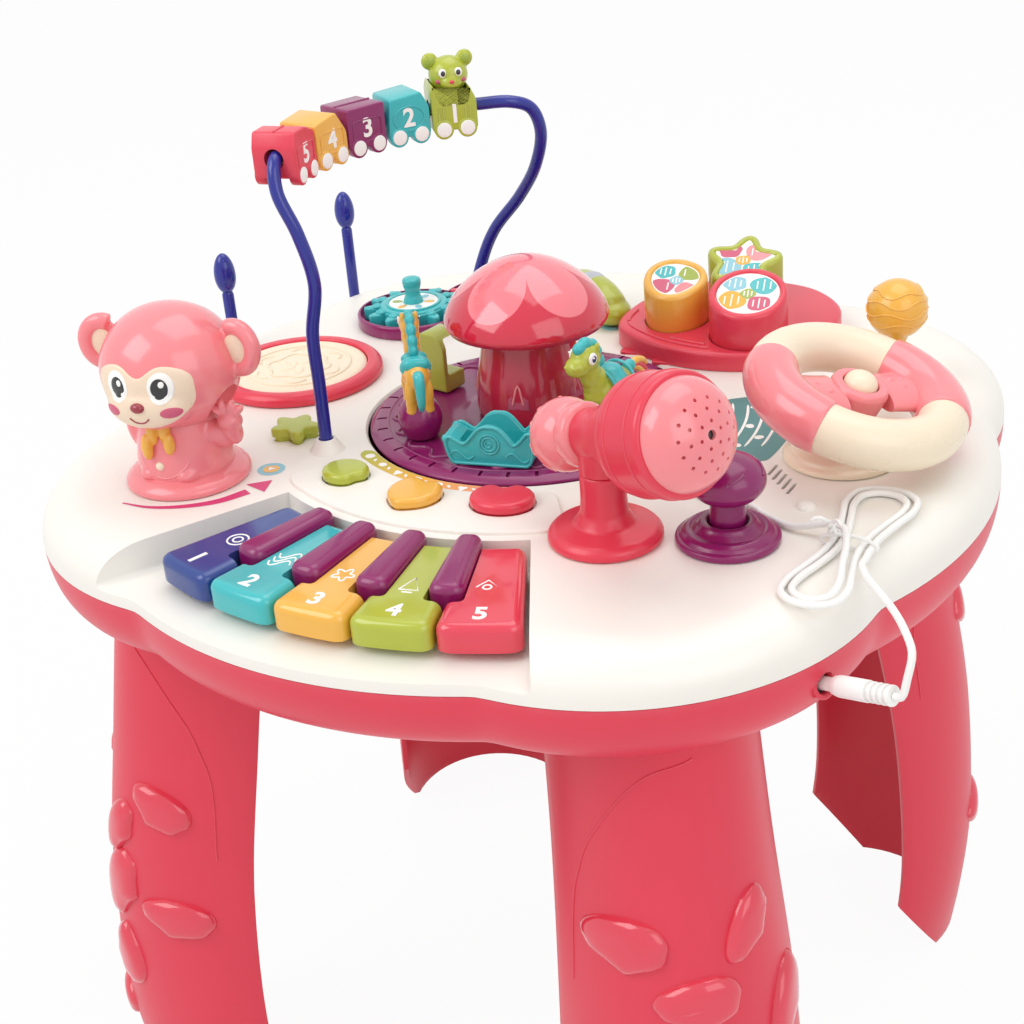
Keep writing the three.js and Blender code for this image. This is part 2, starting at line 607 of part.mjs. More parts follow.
// The figure's body and arms, grown by a margin where the head is hollowed to fit them
function monkeyFigure(margin) {
  const b = monkeyBody;
  const z = topZ + seam;
  const foot = z + monkey.baseHeight;
  const outline = [[0, foot - overrun], [b.hip - overrun, foot - overrun], [b.hip, foot + b.hip / 2],
    [b.waist, z + b.height * b.waistShare],
    [b.neck, z + b.height], [0, z + b.height]];
  const lumps = [lathe(outline.map(([r, high]) => [r ? r + margin : 0, high > foot ? high + margin : high]),
    14)];
  const lump = (sizes, place) => lumps.push(ball(...sizes.map((size) => size + margin), place, 8, 5));
  lump([b.hand, b.hand, b.hand], [b.handX, b.handY + b.arm, z + b.handZ]);
  for (const side of [-1, 1]) {
    const armZ = z + b.handZ - (side < 0 ? b.arm * 2 : 0);
    lump([b.arm, b.arm * 2, b.arm], [b.handX, side * (b.handY - b.arm), armZ]);
    lump([b.legRadius * b.legLongShare, b.legRadius, b.legRadius],
      [b.legOut - b.arm, side * b.legRadius * b.legSideShare, foot + b.legRadius * b.waistShare]);
  }
  return union(...lumps.map(solidOf));
}

function monkeyLow() {
  const z = topZ + seam;
  const bore = gearTrain.post + running;
  const boreTop = gearTrain.z + gearTrain.thick + overrun;
  const foot = z + monkey.baseHeight;
  const stand = lathe([[0, boreTop], [bore, boreTop], [bore, gearTrain.z], [monkey.shaft, gearTrain.z],
    [monkey.shaft, z],
    [monkey.baseRadius, z], [monkey.baseRadius, z + monkey.baseHeight / 2],
      [monkey.baseRadius - overrun, foot], [0, foot]], 24);
  const gearEye = drum(bore, gearTrain.thick + overrun * 2, gearTrain.z - overrun, 16);
  const phaseDeg = monkey.deg + 180 + halfTooth(gearTrain.small) - monkey.faceDeg;
  const gear = gearSolid(gearTrain.small, phaseDeg).subtract(solidOf(gearEye));
  return union(solidOf(stand), monkeyFigure(0), gear);
}

function monkeyTop() {
  const h = monkeyHead;
  const z = partingHeight + h.z;
  const lumps = [ball(h.rx, h.ry, h.rz, [0, 0, z], 16, 10),
    ball(...h.muzzle, [h.muzzleX, 0, z + h.muzzleZ], 10, 6)];
  for (const side of [-1, 1]) {
    lumps.push(ball(h.earThick, h.ear, h.ear, [h.earX, side * h.earY, z + h.earZ], 10, 6));
  }
  return cut(union(...lumps.map(solidOf)), monkeyFigure(running));
}

// Bead arch: a bent wire whose level stretch is a true arc, with five wagons threaded on it
const train = { ...spot(0.04651, -0.17674), radius: 96, rise: 135, fromDeg: 197, toDeg: 114, arcSteps: 9,
  sides: 8, steps: 44 };
train.z = topZ + train.rise;
const archUpShares = [[-0.71, -0.7, 0.24], [-0.71, -0.7, 0.42], [-0.67, -0.69, 0.6], [-0.71, -0.71, 0.77],
  [-0.785, -0.72, 0.91]];
const archDownShares = [[-0.23, 0.58, 0.965], [-0.21, 0.625, 0.88], [-0.28, 0.68, 0.74], [-0.42, 0.74, 0.6],
  [-0.585, 0.75, 0.46], [-0.67, 0.75, 0.34], [-0.71, 0.71, 0.2]];

function beadArch() {
  const spread = ([x, y, z]) => [x * arch.footRadius, y * arch.footRadius, topZ + z * train.rise];
  const foot = (side) => {
    const [x, y] = polar(arch.footRadius, side * arch.tailDeg);
    const low = topZ - arch.grip + shellWall + seam;
    return [[x, y, low], [x, y, topZ + arch.bossHeight]];
  };
  const level = Array.from({ length: train.arcSteps + 1 }, (_, i) => {
    const deg = train.fromDeg + (train.toDeg - train.fromDeg) * i / train.arcSteps;
    const [x, y] = polar(train.radius, deg);
    return [train.x + x, train.y + y, train.z];
  });
  const route = [...foot(-1), ...archUpShares.map(spread), ...level, ...archDownShares.map(spread),
    ...foot(1).reverse()];
  return tube(route, arch.wire, train.sides, train.steps);
}

const wagon = { length: 21.5, width: 21, height: 24, stepDeg: 14.9, firstDeg: 190.5, bore: 4.7,
  boreShare: 0.52, wheel: 4.6, axleShare: 0.26, bear: 9.5, ear: 4, earThick: 2.4, bearShare: 0.94,
  bearRiseShare: 0.4, earOutShare: 0.86, earUpShare: 0.72 };
// Side outlines of the wagon bodies in shares of length and height, wheels apart
const wagonShares = {
  wagon_5: [[-0.5, 0.16], [0.5, 0.16], [0.5, 0.85], [0.12, 1], [-0.38, 1], [-0.5, 0.72]],
  wagon_4: [[-0.5, 0.16], [0.5, 0.16], [0.5, 0.6], [0.2, 1], [-0.5, 0.9]],
  wagon_3: [[-0.5, 0.16], [0.5, 0.16], [0.5, 0.95], [-0.5, 0.95]],
  wagon_2: [[-0.5, 0.16], [0.5, 0.16], [0.5, 0.7], [0.32, 1], [-0.42, 0.94]],
  wagon_1: [[-0.5, 0.16], [0.5, 0.16], [0.5, 0.72], [0.36, 1], [0.28, 0.68], [-0.26, 0.68], [-0.44, 1.08],
    [-0.5, 0.92]],
};

function wagonBody(name) {
  const w = wagon;
  const across = (geometry) => {
    geometry.rotateX(Math.PI / 2);
    geometry.translate(0, w.width / 2, -w.height * w.boreShare);
    return solidOf(geometry);
  };
  let body = across(prism(wagonShares[name].map(([x, z]) => [x * w.length, z * w.height]), w.width));
  for (const side of [-1, 1]) {
    const wheel = drum(w.wheel, w.width, 0, 14);
    wheel.translate(side * w.length * w.axleShare, w.wheel, 0);
    body = body.add(across(wheel));
  }
  if (name === "wagon_1") {
    const z = w.height * (1 - w.boreShare) + w.bear * w.bearRiseShare;
    body = body.add(solidOf(ball(w.bear, w.bear * w.bearShare, w.bear * w.bearShare, [0, 0, z], 10, 6)));
    for (const side of [-1, 1]) {
      body = body.add(solidOf(ball(w.ear, w.earThick, w.ear,
        [side * w.bear * w.earOutShare, 0, z + w.bear * w.earUpShare],
        8, 5)));
    }
  }
  const bore = drum(w.bore, w.length * 2, -w.length, 14);
  bore.rotateY(Math.PI / 2);
  return body.subtract(solidOf(bore));
}

function wagonPlace(index) {
  const deg = wagon.firstDeg - index * wagon.stepDeg;
  const [x, y] = polar(train.radius, deg);
  return { at: [train.x + x, train.y + y, train.z], turnDeg: deg - 90 };
}

// Drum, gears and telephone
function drumRing() {
  const d = drumToy;
  const z = topZ + seam;
  return moved(lathe([[d.ringInner, z], [d.ringOuter, z], [d.ringOuter, z + d.ringHeight / 2],
    [d.ringOuter - d.lip, z + d.ringHeight], [d.ringInner, z + d.ringHeight], [d.ringInner, z]], 32), [d.x,
      d.y, 0]);
}

function drumPad() {
  const d = drumToy;
  const radius = d.ringInner - running;
  const neck = d.ringInner - d.lip - running;
  const z = topZ + d.travel + seam;
  return moved(lathe([[0, z - d.travel - buttonSkirt], [neck, z - d.travel - buttonSkirt], [neck, z],
    [radius, z],
    [radius, z + d.padThick / 2], [radius - d.lip, z + d.padThick], [0, z + d.padThick]], 32), [d.x, d.y, 0]);
}

const toyGears = { away: 151, midDeg: 135, trayRadius: 25.5, trayHeight: 7, floor: 2, wall: 1.8, peg: 4,
  pegRise: 6, thick: 7,
  knob: 5.2, knobRise: 16, hub: 12, hubRise: 3 };
const knobShares = [[0.8, 0.55], [1, 0.75], [0.7, 1]];
toyGears.gap = 2 * pitch(gearTrain.idler);
toyGears.halfDeg = THREE.MathUtils.radToDeg(Math.asin(toyGears.gap / 2 / toyGears.away));
const toyGearPlace = (side) => polar(toyGears.away, toyGears.midDeg + side * toyGears.halfDeg);

function gearTray() {
  const t = toyGears;
  const z = topZ + seam;
  const round = (radius, height, low) => [-1, 1].map((s) => solidAt(drum(radius, height, low, 24),
    [...toyGearPlace(s), 0]));
  const body = union(...round(t.trayRadius + t.wall + gearTrain.module, t.trayHeight, z));
  const room = union(...round(t.trayRadius + gearTrain.module, t.trayHeight, z + t.floor));
  return union(body.subtract(room), ...round(t.peg, t.pegRise + t.floor / 2, z + t.floor / 2));
}

function toyGear(side, phaseDeg) {
  const t = toyGears;
  const z = topZ + t.floor + seam * 2;
  const rim = solidOf(prism(gearOutline(gearTrain.idler, phaseDeg), t.thick, z));
  const top = z + t.thick;
  let crown = lathe([[0, z + overrun], [t.hub, z + overrun], [t.hub, top + t.hubRise],
    [0, top + t.hubRise]], 20);
  if (side > 0) {
    crown = lathe([[0, z + overrun], [t.hub, z + overrun], [t.hub, top + t.hubRise / 2],
      [t.knob, top + t.hubRise],
      ...knobShares.map(([out, rise]) => [t.knob * out, top + t.knobRise * rise]),
      [0, top + t.knobRise]], 20);
  }
  const bore = drum(t.peg + running, t.pegRise + running + overrun, z - overrun, 14);
  return cut(union(rim, solidOf(crown)), solidOf(bore));
}

const phone = { ...spot(-0.14884, 0.59535), deg: -35, length: 64, grip: 8.5, gripHigh: 7, cupLong: 13,
  cupWide: 11, cupHigh: 8, rise: 9 };

function handset() {
  const p = phone;
  const middle = ball(p.length / 2 - p.cupLong / 3, p.grip, p.gripHigh, [0, 0, p.cupHigh + p.rise], 12, 6);
  const lumps = [solidOf(middle)];
  for (const side of [-1, 1]) {
    const x = side * (p.length / 2 - p.cupLong);
    lumps.push(solidOf(ball(p.cupLong, p.cupWide, p.cupHigh, [x, 0, p.cupHigh], 12, 7)));
    lumps.push(solidOf(block(p.grip * 2, p.grip, p.rise, [x, 0, p.cupHigh + p.rise / 2])));
  }
  const flat = block(p.length * 2, p.cupWide * 3, p.cupHigh, [0, 0, -p.cupHigh / 2 + seam * 2]);
  return union(...lumps).subtract(solidOf(flat));
}

// Shape board: a sloped board with three shape blocks that lift out of their sockets
const board = { slopeDeg: 3, leanDeg: 15, faceDeg: -75, frontRise: 9.5, backRise: 60, socketDepth: 5,
  thick: 23.4,
  rim: 1.6 };
// The board's outline in shares of its half width, round its middle
const boardMiddle = spot(0.24186, 0.57674);
const boardFront = spot(0.24186, 0.34419);
const boardHalf = 56;
const boardShares = [
  [-0.92, -0.56], [-0.5, -0.82], [0.02, -0.9], [0.52, -0.76], [0.84, -0.4], [0.94, 0.06], [0.86, 0.44],
    [0.5, 0.76],
  [0.02, 0.82], [-0.48, 0.68], [-0.84, 0.34], [-0.98, -0.16],
];
const blocks = [
  { name: "block_egg", ...spot(0.13023, 0.49302), size: 18, shape: (t) => 0.9 + 0.12 * Math.cos(t) ** 3,
    deg: 150 },
  { name: "block_star", ...spot(0.23256, 0.65581), size: 20.5, shape: (t) => 0.84 + 0.16 * Math.cos(5 * t),
    deg: 100 },
  { name: "block_round", ...spot(0.32093, 0.46977), size: 20, shape: () => 0.98, deg: 0 },
];

// The place and the tilt of a piece that is built on the flat and sits on the board's sloping face
function slopePlace(x, y) {
  const b = board;
  const [leanX, leanY] = polar(1, b.faceDeg);
  const along = (x - boardFront.x) * leanX + (y - boardFront.y) * leanY;
  return { at: [x, y, topZ + b.frontRise - along * Math.tan(rad(b.slopeDeg))], turnDeg: b.faceDeg,
    tiltDeg: b.slopeDeg };
}

const onSlope = (geometry, x, y) => solidOf(settled(geometry, slopePlace(x, y)));

function blockShape({ size, shape, deg }, margin) {
  return Array.from({ length: 24 }, (_, i) => {
    const t = turnShare * i / 24;
    return polar(size * shape(t) + margin, THREE.MathUtils.radToDeg(t) + deg - board.faceDeg);
  });
}

function shapeBoard() {
  const b = board;
  const curve = new THREE.SplineCurve([...boardShares, boardShares[0]].map(([x, y]) => (
    new THREE.Vector2(boardMiddle.x + x * boardHalf, boardMiddle.y + y * boardHalf))));
  const outline = curve.getPoints(30).slice(0, -1).map((p) => [p.x, p.y]);
  let body = solidOf(prism(outline, b.backRise, topZ + seam));
  const above = block(boardHalf * 5, boardHalf * 5, b.backRise * 2, [0, 0, b.backRise]);
  body = body.subtract(onSlope(above, boardMiddle.x, boardMiddle.y));
  for (const piece of blocks) {
    const well = prism(blockShape(piece, running), b.backRise, -b.socketDepth);
    body = body.subtract(onSlope(well, piece.x, piece.y));
  }
  return body;
}

function shapeBlock(piece) {
  const b = board;
  const low = seam - b.socketDepth;
  const lean = Math.tan(rad(b.leanDeg));
  const rings = [[0, low, 0], [0, b.thick - b.rim, lean],
    [-b.rim, b.thick, lean]].map(([margin, z, fall]) => (
    blockShape(piece, margin).map(([x, y]) => new THREE.Vector3(x, y, z - x * fall))));
  return solidOf(loft(rings));
}

// Steering wheel on a tilted column, with a horn button in its hub
const wheel = { tiltDeg: 18, overhang: 6, z: 30, ring: 38, rim: 11, gripDeg: 51, hub: 13, hubThick: 10,
  spoke: 9, spokeThick: 7,
  button: 7.5, buttonHigh: 7, travel: 2, rimSides: 8, rimSteps: 26, gripHalfDeg: 38, gripOver: 1.2, neck: 9,
  hubTopShare: 0.6, hubFootShare: 0.8, hubRimShare: 0.9 };
const hornShares = [[1, 0], [0.85, 0.4], [0.45, 0.65], [0, 0.72]];

const wheelPlace = { at: [column.x + wheel.overhang, column.y, topZ + wheel.z], tiltDeg: wheel.tiltDeg };

function wheelBody() {
  const w = wheel;
  const profile = Array.from({ length: w.rimSides + 1 }, (_, i) => {
    const a = -turnShare * i / w.rimSides;
    return [w.ring + w.rim * Math.cos(a), w.rim * Math.sin(a)];
  });
  profile[w.rimSides] = profile[0];
  const rim = solidOf(lathe(profile.reverse(), w.rimSteps));
  const hubTop = w.hubThick * w.hubTopShare;
  const hub = solidOf(lathe([[0, -w.hubThick], [w.hub * w.hubFootShare, -w.hubThick],
    [w.hub, w.spokeThick / 2], [w.hub * w.hubRimShare, hubTop], [0, hubTop]], 24));
  const spoke = solidAt(block(w.ring * 2, w.spoke * 2, w.spokeThick), [0, 0, 0], w.gripDeg);
  const well = solidOf(drum(w.button + running, w.hubThick, hubTop - w.buttonHigh, 16));
  const axleRoom = solidOf(drum(w.neck / 2 + running, w.hubThick, -w.hubThick - overrun, 16));
  return cut(union(rim, hub, spoke), well, axleRoom);
}

function hornButton() {
  const w = wheel;
  const top = w.hubThick * w.hubTopShare;
  const low = top - w.buttonHigh + w.travel + seam;
  return lathe([[0, low], [w.button, low],
    ...hornShares.map(([out, rise]) => [w.button * out, top + w.buttonHigh * rise])], 18);
}

function steeringColumn() {
  const c = column;
  const w = wheel;
  const z = topZ + seam;
  const foot = solidAt(lathe([[0, z], [c.baseRadius, z], [c.baseRadius, z + c.baseHeight / 2],
    [c.baseRadius - overrun, z + c.baseHeight], [c.neckRadius, z + c.baseHeight + overrun],
      [0, z + c.baseHeight + overrun]], 28),
  [c.x, c.y, 0]);
  const neck = solidOf(settled(drum(c.neckRadius * c.neckShare, w.z - w.hubThick - seam, -w.z, 18),
    wheelPlace));
  const axle = solidOf(settled(drum(w.neck / 2, w.hubThick, -w.hubThick - overrun, 14), wheelPlace));
  const below = solidOf(block(kinkRadius, kinkRadius, topRise * 2, [c.x, c.y, z - topRise]));
  return cut(union(foot, neck, axle), below);
}

function shiftLever() {
  const s = shift;
  return lathe([[0, -topRise / 2], [s.neck, -topRise / 2], [s.neck, s.ballZ - s.ball],
    ...Array.from({ length: 9 }, (_, i) => {
      const a = -Math.PI / 2 + Math.asin(s.neck / s.ball) + (Math.PI - Math.asin(s.neck / s.ball)) * (i + 0.6) / 8.6;
      return [Math.max(s.ball * Math.cos(a), 0), s.ballZ + s.ball * Math.sin(a)];
    }).slice(0, -1), [0, s.ballZ + s.ball]], 18);
}

// Microphone on a round foot, and the stubby joystick
const micHead = { turnDeg: -22, riseDeg: 17, z: 46, postRadius: 11.5, postTop: 30, stub: 9.5, pin: 5,
  pinDeep: 8, knob: 15.5,
  knobX: -24, waist: 11.5, waistX: 4, flare: 24, flareX: 28, bell: 24.5, bellX: 51, dome: 22, domeRise: 15,
  baseShare: 0.8, flareShare: 1.1, domeShares: [[0.78, 0.6], [0.4, 0.92]] };

function micPost() {
  const h = micHead;
  const z = topZ + seam;
  const cone = lathe([[0, z], [mic.baseRadius, z], [mic.baseRadius, z + mic.baseHeight / 2],
    [mic.baseRadius * h.baseShare, z + mic.baseHeight],
    [h.postRadius * h.flareShare, z + mic.baseHeight + overrun / 2], [h.stub, topZ + h.postTop],
      [0, topZ + h.postTop]], 24);
  const bore = drum(h.pin + running, h.pinDeep + overrun, topZ + h.postTop - h.pinDeep, 12);
  return solidOf(cone).subtract(solidOf(bore));
}

// The head leans on its own stub, which turns in the post
function micBody() {
  const h = micHead;
  const knob = Array.from({ length: 6 }, (_, i) => {
    const a = rad(-90 + 130 * i / 5);
    return [h.knob * Math.cos(a) * (i ? 1 : 0), h.knobX + h.knob * Math.sin(a)];
  });
  const profile = [...knob, [h.waist, h.waistX], [h.flare, h.flareX], [h.bell, h.bellX], [h.dome, h.bellX],
    ...h.domeShares.map(([out, rise]) => [h.dome * out, h.bellX + h.domeRise * rise]),
      [0, h.bellX + h.domeRise]];
  const body = solidOf(settled(lathe(profile, 18), { at: [0, 0, topZ + h.z], tiltDeg: 90 - h.riseDeg }));
  const stub = lathe([[0, topZ + h.postTop + running - h.pinDeep],
    [h.pin, topZ + h.postTop + running - h.pinDeep],
    [h.pin, topZ + h.postTop + seam], [h.stub, topZ + h.postTop + seam], [h.stub, topZ + h.z],
      [0, topZ + h.z]], 16);
  return union(body, solidOf(stub));
}

const stickPivot = { floor: 2.2, lift: 10 };

function joystickBase() {
  const s = stick;
  const z = topZ + seam;
  const body = lathe([[0, z], [s.baseRadius, z], ...s.footShares.map(([out, rise]) => [s.baseRadius * out,
    z + s.baseHeight * rise]),
    [s.post * s.collarShare, z + s.baseHeight + stickPivot.floor],
      [0, z + s.baseHeight + stickPivot.floor]], 28);
  const bowl = ball(s.post + running, s.post + running, s.post + running, [0, 0, topZ + stickPivot.lift],
    14, 8);
  const mouth = drum(s.post + running * 3, s.baseHeight, topZ + stickPivot.lift, 20);
  return cut(solidOf(body), solidOf(bowl), solidOf(mouth));
}

function joystick() {
  const s = stick;
  const z = topZ + stickPivot.lift;
  const foot = ball(s.post, s.post, s.post, [0, 0, z], 14, 8);
  const neck = drum(s.post, s.rise - stickPivot.lift, z, 14);
  const knob = ball(s.ball, s.ball, s.ball * s.flatShare, [0, 0, topZ + s.rise + overrun], 16, 9);
  return union(solidOf(foot), solidOf(neck), solidOf(knob));
}

function pushButton(button) {
  const low = topZ + buttonTravel + seam;
  const skirt = -buttonLedge - running;
  const rows = [[skirt, topZ - buttonSkirt], [skirt, low], [0, low], [0, low + buttonHeight / 2],
    [-buttonHeight / 2, low + buttonHeight]];
  return solidOf(loft(rows.map(([margin, z]) => buttonShape(button,
    margin).map(([x, y]) => new THREE.Vector3(x, y, z)))));
}

// Piano: five long keys that press and a strip of short purple keys
const piano = { fromDeg: -113.4, toDeg: -62.3, count: 5, rear: 135.5, front: 200, gapDeg: 0.35, high: 12,
  lift: 4, heel: 3.5, crown: 2,
  shortFront: 181, shortHalfDeg: 2.3, shortRise: 16.5, strip: 4, stripHigh: 5, steps: 5,
  shortDegPerInset: 0.35, stripKeys: 3, crownShare: 0.4, frontShare: 1.6, keyDegPerInset: 0.28 };
piano.pitchDeg = (piano.toDeg - piano.fromDeg) / piano.count;
const pianoColours = [colours.blue, colours.teal, colours.yellow, colours.lime, colours.red];

function sectorRing(inner, outer, halfDeg, z, middleDeg) {
  return sector(inner, outer, halfDeg, piano.steps, middleDeg).map(([x, y]) => new THREE.Vector3(x, y, z));
}

// A short key's bar, or with a margin the straight room that a long key leaves for it as it dips
function shortKeyBar(index, margin) {
  const p = piano;
  const deg = p.fromDeg + p.pitchDeg * (index + 1);
  const marginDeg = THREE.MathUtils.radToDeg(margin / p.rear);
  const low = margin ? bay.floorZ - overrun : bay.floorZ + seam;
  const inset = margin ? 0 : p.crown / 2;
  const rings = [[0, low], [0, bay.floorZ + p.shortRise - p.crown], [inset, bay.floorZ + p.shortRise]];
  return solidOf(loft(rings.map(([inset, z]) => (
    sectorRing(p.rear - p.strip - margin, p.shortFront - inset + margin,
      p.shortHalfDeg - inset * p.shortDegPerInset + marginDeg, z, deg)))));
}

function shortKeys() {
  const p = piano;
  const middleDeg = (p.fromDeg + p.toDeg) / 2;
  const strip = solidOf(prism(sector(p.rear - p.strip, p.rear - running, p.pitchDeg * p.stripKeys / 2, 14,
    middleDeg),
    p.stripHigh, bay.floorZ + seam));
  return [0, 1, 2, 3].reduce((body, i) => body.add(shortKeyBar(i, 0)), strip);
}

function longKey(index) {
  const p = piano;
  const deg = p.fromDeg + p.pitchDeg * (index + 0.5);
  const half = p.pitchDeg / 2 - p.gapDeg / 2;
  const low = bay.floorZ + p.lift;
  const rows = [[0, low], [0, low + p.high - p.crown], [p.crown * p.crownShare,
    low + p.high - p.crown * p.crownShare],
    [p.crown * (1 + p.crownShare), low + p.high]];
  let body = solidOf(loft(rows.map(([inset, z]) => (
    sectorRing(p.rear, p.front - inset * p.frontShare, half - inset * p.keyDegPerInset, z, deg)))));
  const heel = prism(sector(p.rear, p.rear + p.heel, half, p.steps, deg), p.lift * 2, bay.floorZ + seam);
  body = body.add(solidOf(heel));
  for (const side of [index - 1, index]) {
    if (side >= 0 && side < p.count - 1) body = body.subtract(shortKeyBar(side, running));
  }
  return body;
}

function drumstick() {
  const { radius: r, length, egg, eggLong, eggShares } = sticks;
  const low = length - eggLong;
  const bulb = [[r, low], ...eggShares.map(([out, rise]) => [egg * out, low + eggLong * rise])];
  return lathe([[0, 0], [r, 0], ...bulb, [0, length]], 14);
}

// Electrics inside the base
const circuit = { long: 74, wide: 46, thick: 1.6, ...spot(0.13953, -0.55814), chip: 14, chipHigh: 3 };

function circuitBoard() {
  const c = circuit;
  const z = baseZ + shellWall + seam;
  const plate = block(c.long, c.wide, c.thick, [c.x, c.y, z + c.thick / 2]);
  const chip = block(c.chip, c.chip, c.chipHigh, [c.x, c.y, z + c.thick + c.chipHigh / 2 - seam]);
  return union(solidOf(plate), solidOf(chip));
}

function speakerBody() {
  const s = speaker;
  const top = topZ - shellWall - seam;
  return lathe([[0, top - s.depth], [s.radius / 2, top - s.depth], [s.radius / 2, top - s.depth / 2],
    [s.radius, top - s.depth / 4],
    [s.radius, top], [0, top]], 28);
}

function batteryDoor() {
  return block(door.long - 2 * seam, door.wide - 2 * seam, door.thick, [0, door.y, baseZ + door.thick / 2]);
}

// Charging socket, plug and cable
const plug = { ribShare: 0.95, out: 5, radius: 4.3, nose: 3.6, body: 17, ribs: 4, rib: 1.6, ribGap: 1.2,
  neck: 2.9,
  barrelIn: 5 };
const cable = { radius: 1.5, sides: 8, hankSides: 6, turnSteps: 20, slot: 4, waist: 10, half: 54, bulge: 26,
  bulgeLoss: 3.5,
  ...spot(0.85116, -0.34884), start: 0.22, end: 2.22, rise: 1.9, cross: 4.2, leadSteps: 18, straight: 3.2 };
const farPlug = { turnDeg: 158, long: 20, wide: 12, high: 5, tip: 12, tipWide: 9, tipHigh: 3, neck: 6,
  neckRadius: 2.2 };

function chargeSocket() {
  const s = socket;
  const hole = drum(s.barrel + running, s.depth * 2, -s.depth, 14);
  const recess = plug.out / 2;
  return solidOf(drum(s.radius, s.length - recess, -s.length, 16)).subtract(solidOf(hole));
}

function cablePlug() {
  const p = plug;
  const profile = [[0, -p.barrelIn], [socket.barrel, -p.barrelIn], [socket.barrel, p.out], [p.nose, p.out],
    [p.radius, p.out + overrun],
    [p.radius, p.out + p.body]];
  let z = p.out + p.body;
  for (let i = 0; i < p.ribs; i += 1) {
    profile.push([p.neck, z], [p.neck, z + p.ribGap], [p.radius * p.ribShare, z + p.ribGap],
      [p.radius * p.ribShare, z + p.ribGap + p.rib]);
    z += p.ribGap + p.rib;
  }
  return lathe([...profile, [0, z]], 12);
}
plug.length = plug.out + plug.body + plug.ribs * (plug.rib + plug.ribGap);

// One point of the tied hank: a flat spiral of pinched loops lying on the top
function hankPoint(turn) {
  const c = cable;
  const a = turnShare * turn;
  const inwards = c.slot * turn;
  const across = Math.sin(a) * (c.waist - inwards + (c.bulge - c.bulgeLoss * turn) * Math.cos(a) ** 2);
  return new THREE.Vector3(c.x + across, c.y - (c.half - inwards) * Math.cos(a), topZ + c.rise);
}

// Places along the free stretches, across and up, in shares of the kink radius and the rise of the top
const leadShares = [[1.051, -0.625, 0.3], [1.053, -0.612, 0.75], [1.031, -0.585, 1], [0.998, -0.544, 1.1],
  [0.956, -0.498, 1.14], [0.921, -0.455, 1.12]];
const strandShares = [[0.832, -0.325, 1.31], [0.802, -0.318, 1.31], [0.765, -0.321, 1.2],
  [0.73, -0.322, 1.11],
  [0.695, -0.308, 1.095], [0.655, -0.287, 1.095]];
const farPlugShares = [0.6, -0.264];

const atShares = ([x, y, up]) => new THREE.Vector3(x * kinkRadius, y * kinkRadius,
  partingHeight + up * topRise);

function farPlugPlace() {
  const [x, y] = farPlugShares;
  return { at: [x * kinkRadius, y * kinkRadius, topZ + seam], turnDeg: farPlug.turnDeg };
}

const climbShare = 0.1;

function hankRoute() {
  const c = cable;
  const count = Math.round((c.end - c.start) * c.turnSteps);
  const points = Array.from({ length: count + 1 }, (_, i) => hankPoint(c.start + i / c.turnSteps));
  const climb = Math.round(count * climbShare);
  for (let i = 0; i <= climb; i += 1) {
    points[count - climb + i].z += c.cross * THREE.MathUtils.smoothstep(i, 0, climb);
  }
  const [fx, fy] = farPlugPlace().at;
  const [ax, ay] = polar(1, farPlug.turnDeg);
  const z = topZ + seam + farPlug.high / 2;
  const back = (run) => new THREE.Vector3(fx - ax * run, fy - ay * run, z);
  const end = farPlug.neck + seam;
  return [...points, ...strandShares.map(atShares), back(end + c.straight), back(end)];
}

const curveOf = (points) => new THREE.CatmullRomCurve3(points, false, "centripetal");

function cableHank() {
  const points = hankRoute();
  const curve = curveOf(points);
  const steps = points.length;
  console.log("hank: least gap to itself", leastGap(curve).toFixed(2), "mm, length",
    curve.getLength().toFixed(0), "mm");
  return tube(points.map((p) => p.toArray()), cable.radius, cable.hankSides, steps);
}

// Least gap between two strands of one tube
function leastGap(curve) {
  const samples = 600;
  const places = curve.getSpacedPoints(samples);
  const apart = Math.ceil(samples * cable.radius * 8 / curve.getLength());
  let least = Infinity;
  for (let i = 0; i <= samples; i += 1) {
    for (let k = i + apart; k <= samples; k += 1) least = Math.min(least, places[i].distanceTo(places[k]));
  }
  return least - 2 * cable.radius;
}

function cableLead() {
  const c = cable;
  const place = socketPlace();
  const outwards = new THREE.Vector3(0, 0, 1).applyEuler(new THREE.Euler(0, rad(place.tiltDeg),
    rad(place.turnDeg), "ZYX"));
  const from = (run) => new THREE.Vector3(...place.at).addScaledVector(outwards, plug.length + run);
  const hank = curveOf(hankRoute());
  const tangent = hank.getTangentAt(0);
  const before = (run) => hank.getPointAt(0).addScaledVector(tangent, -run);
  const points = [from(seam), from(seam + c.straight), ...leadShares.map(atShares),
    before(seam + c.straight), before(seam)];
  console.log("lead: length", curveOf(points).getLength().toFixed(0), "mm");
  return tube(points.map((p) => p.toArray()), c.radius, c.sides, c.leadSteps);
}

function cableFarPlug() {
  const f = farPlug;
  const middleZ = f.high / 2;
  const body = block(f.long, f.wide, f.high, [f.long / 2, 0, middleZ]);
  const tip = block(f.tip, f.tipWide, f.tipHigh, [f.long + f.tip / 2 - seam, 0, middleZ]);
  const neck = drum(f.neckRadius, f.neck + seam, 0, 12);
  neck.rotateY(-Math.PI / 2);
  neck.translate(seam, 0, middleZ);
  return union(solidOf(body), solidOf(tip), solidOf(neck));
}

// Every piece, named and placed
const { white, red, pink, cream, purple, teal, blue, yellow, lime, sky, steel, green, dark } = colours;
const { plastic, glossy, dull, clear } = finishes;
const standing = ({ x, y }) => ({ at: [x, y, 0] });

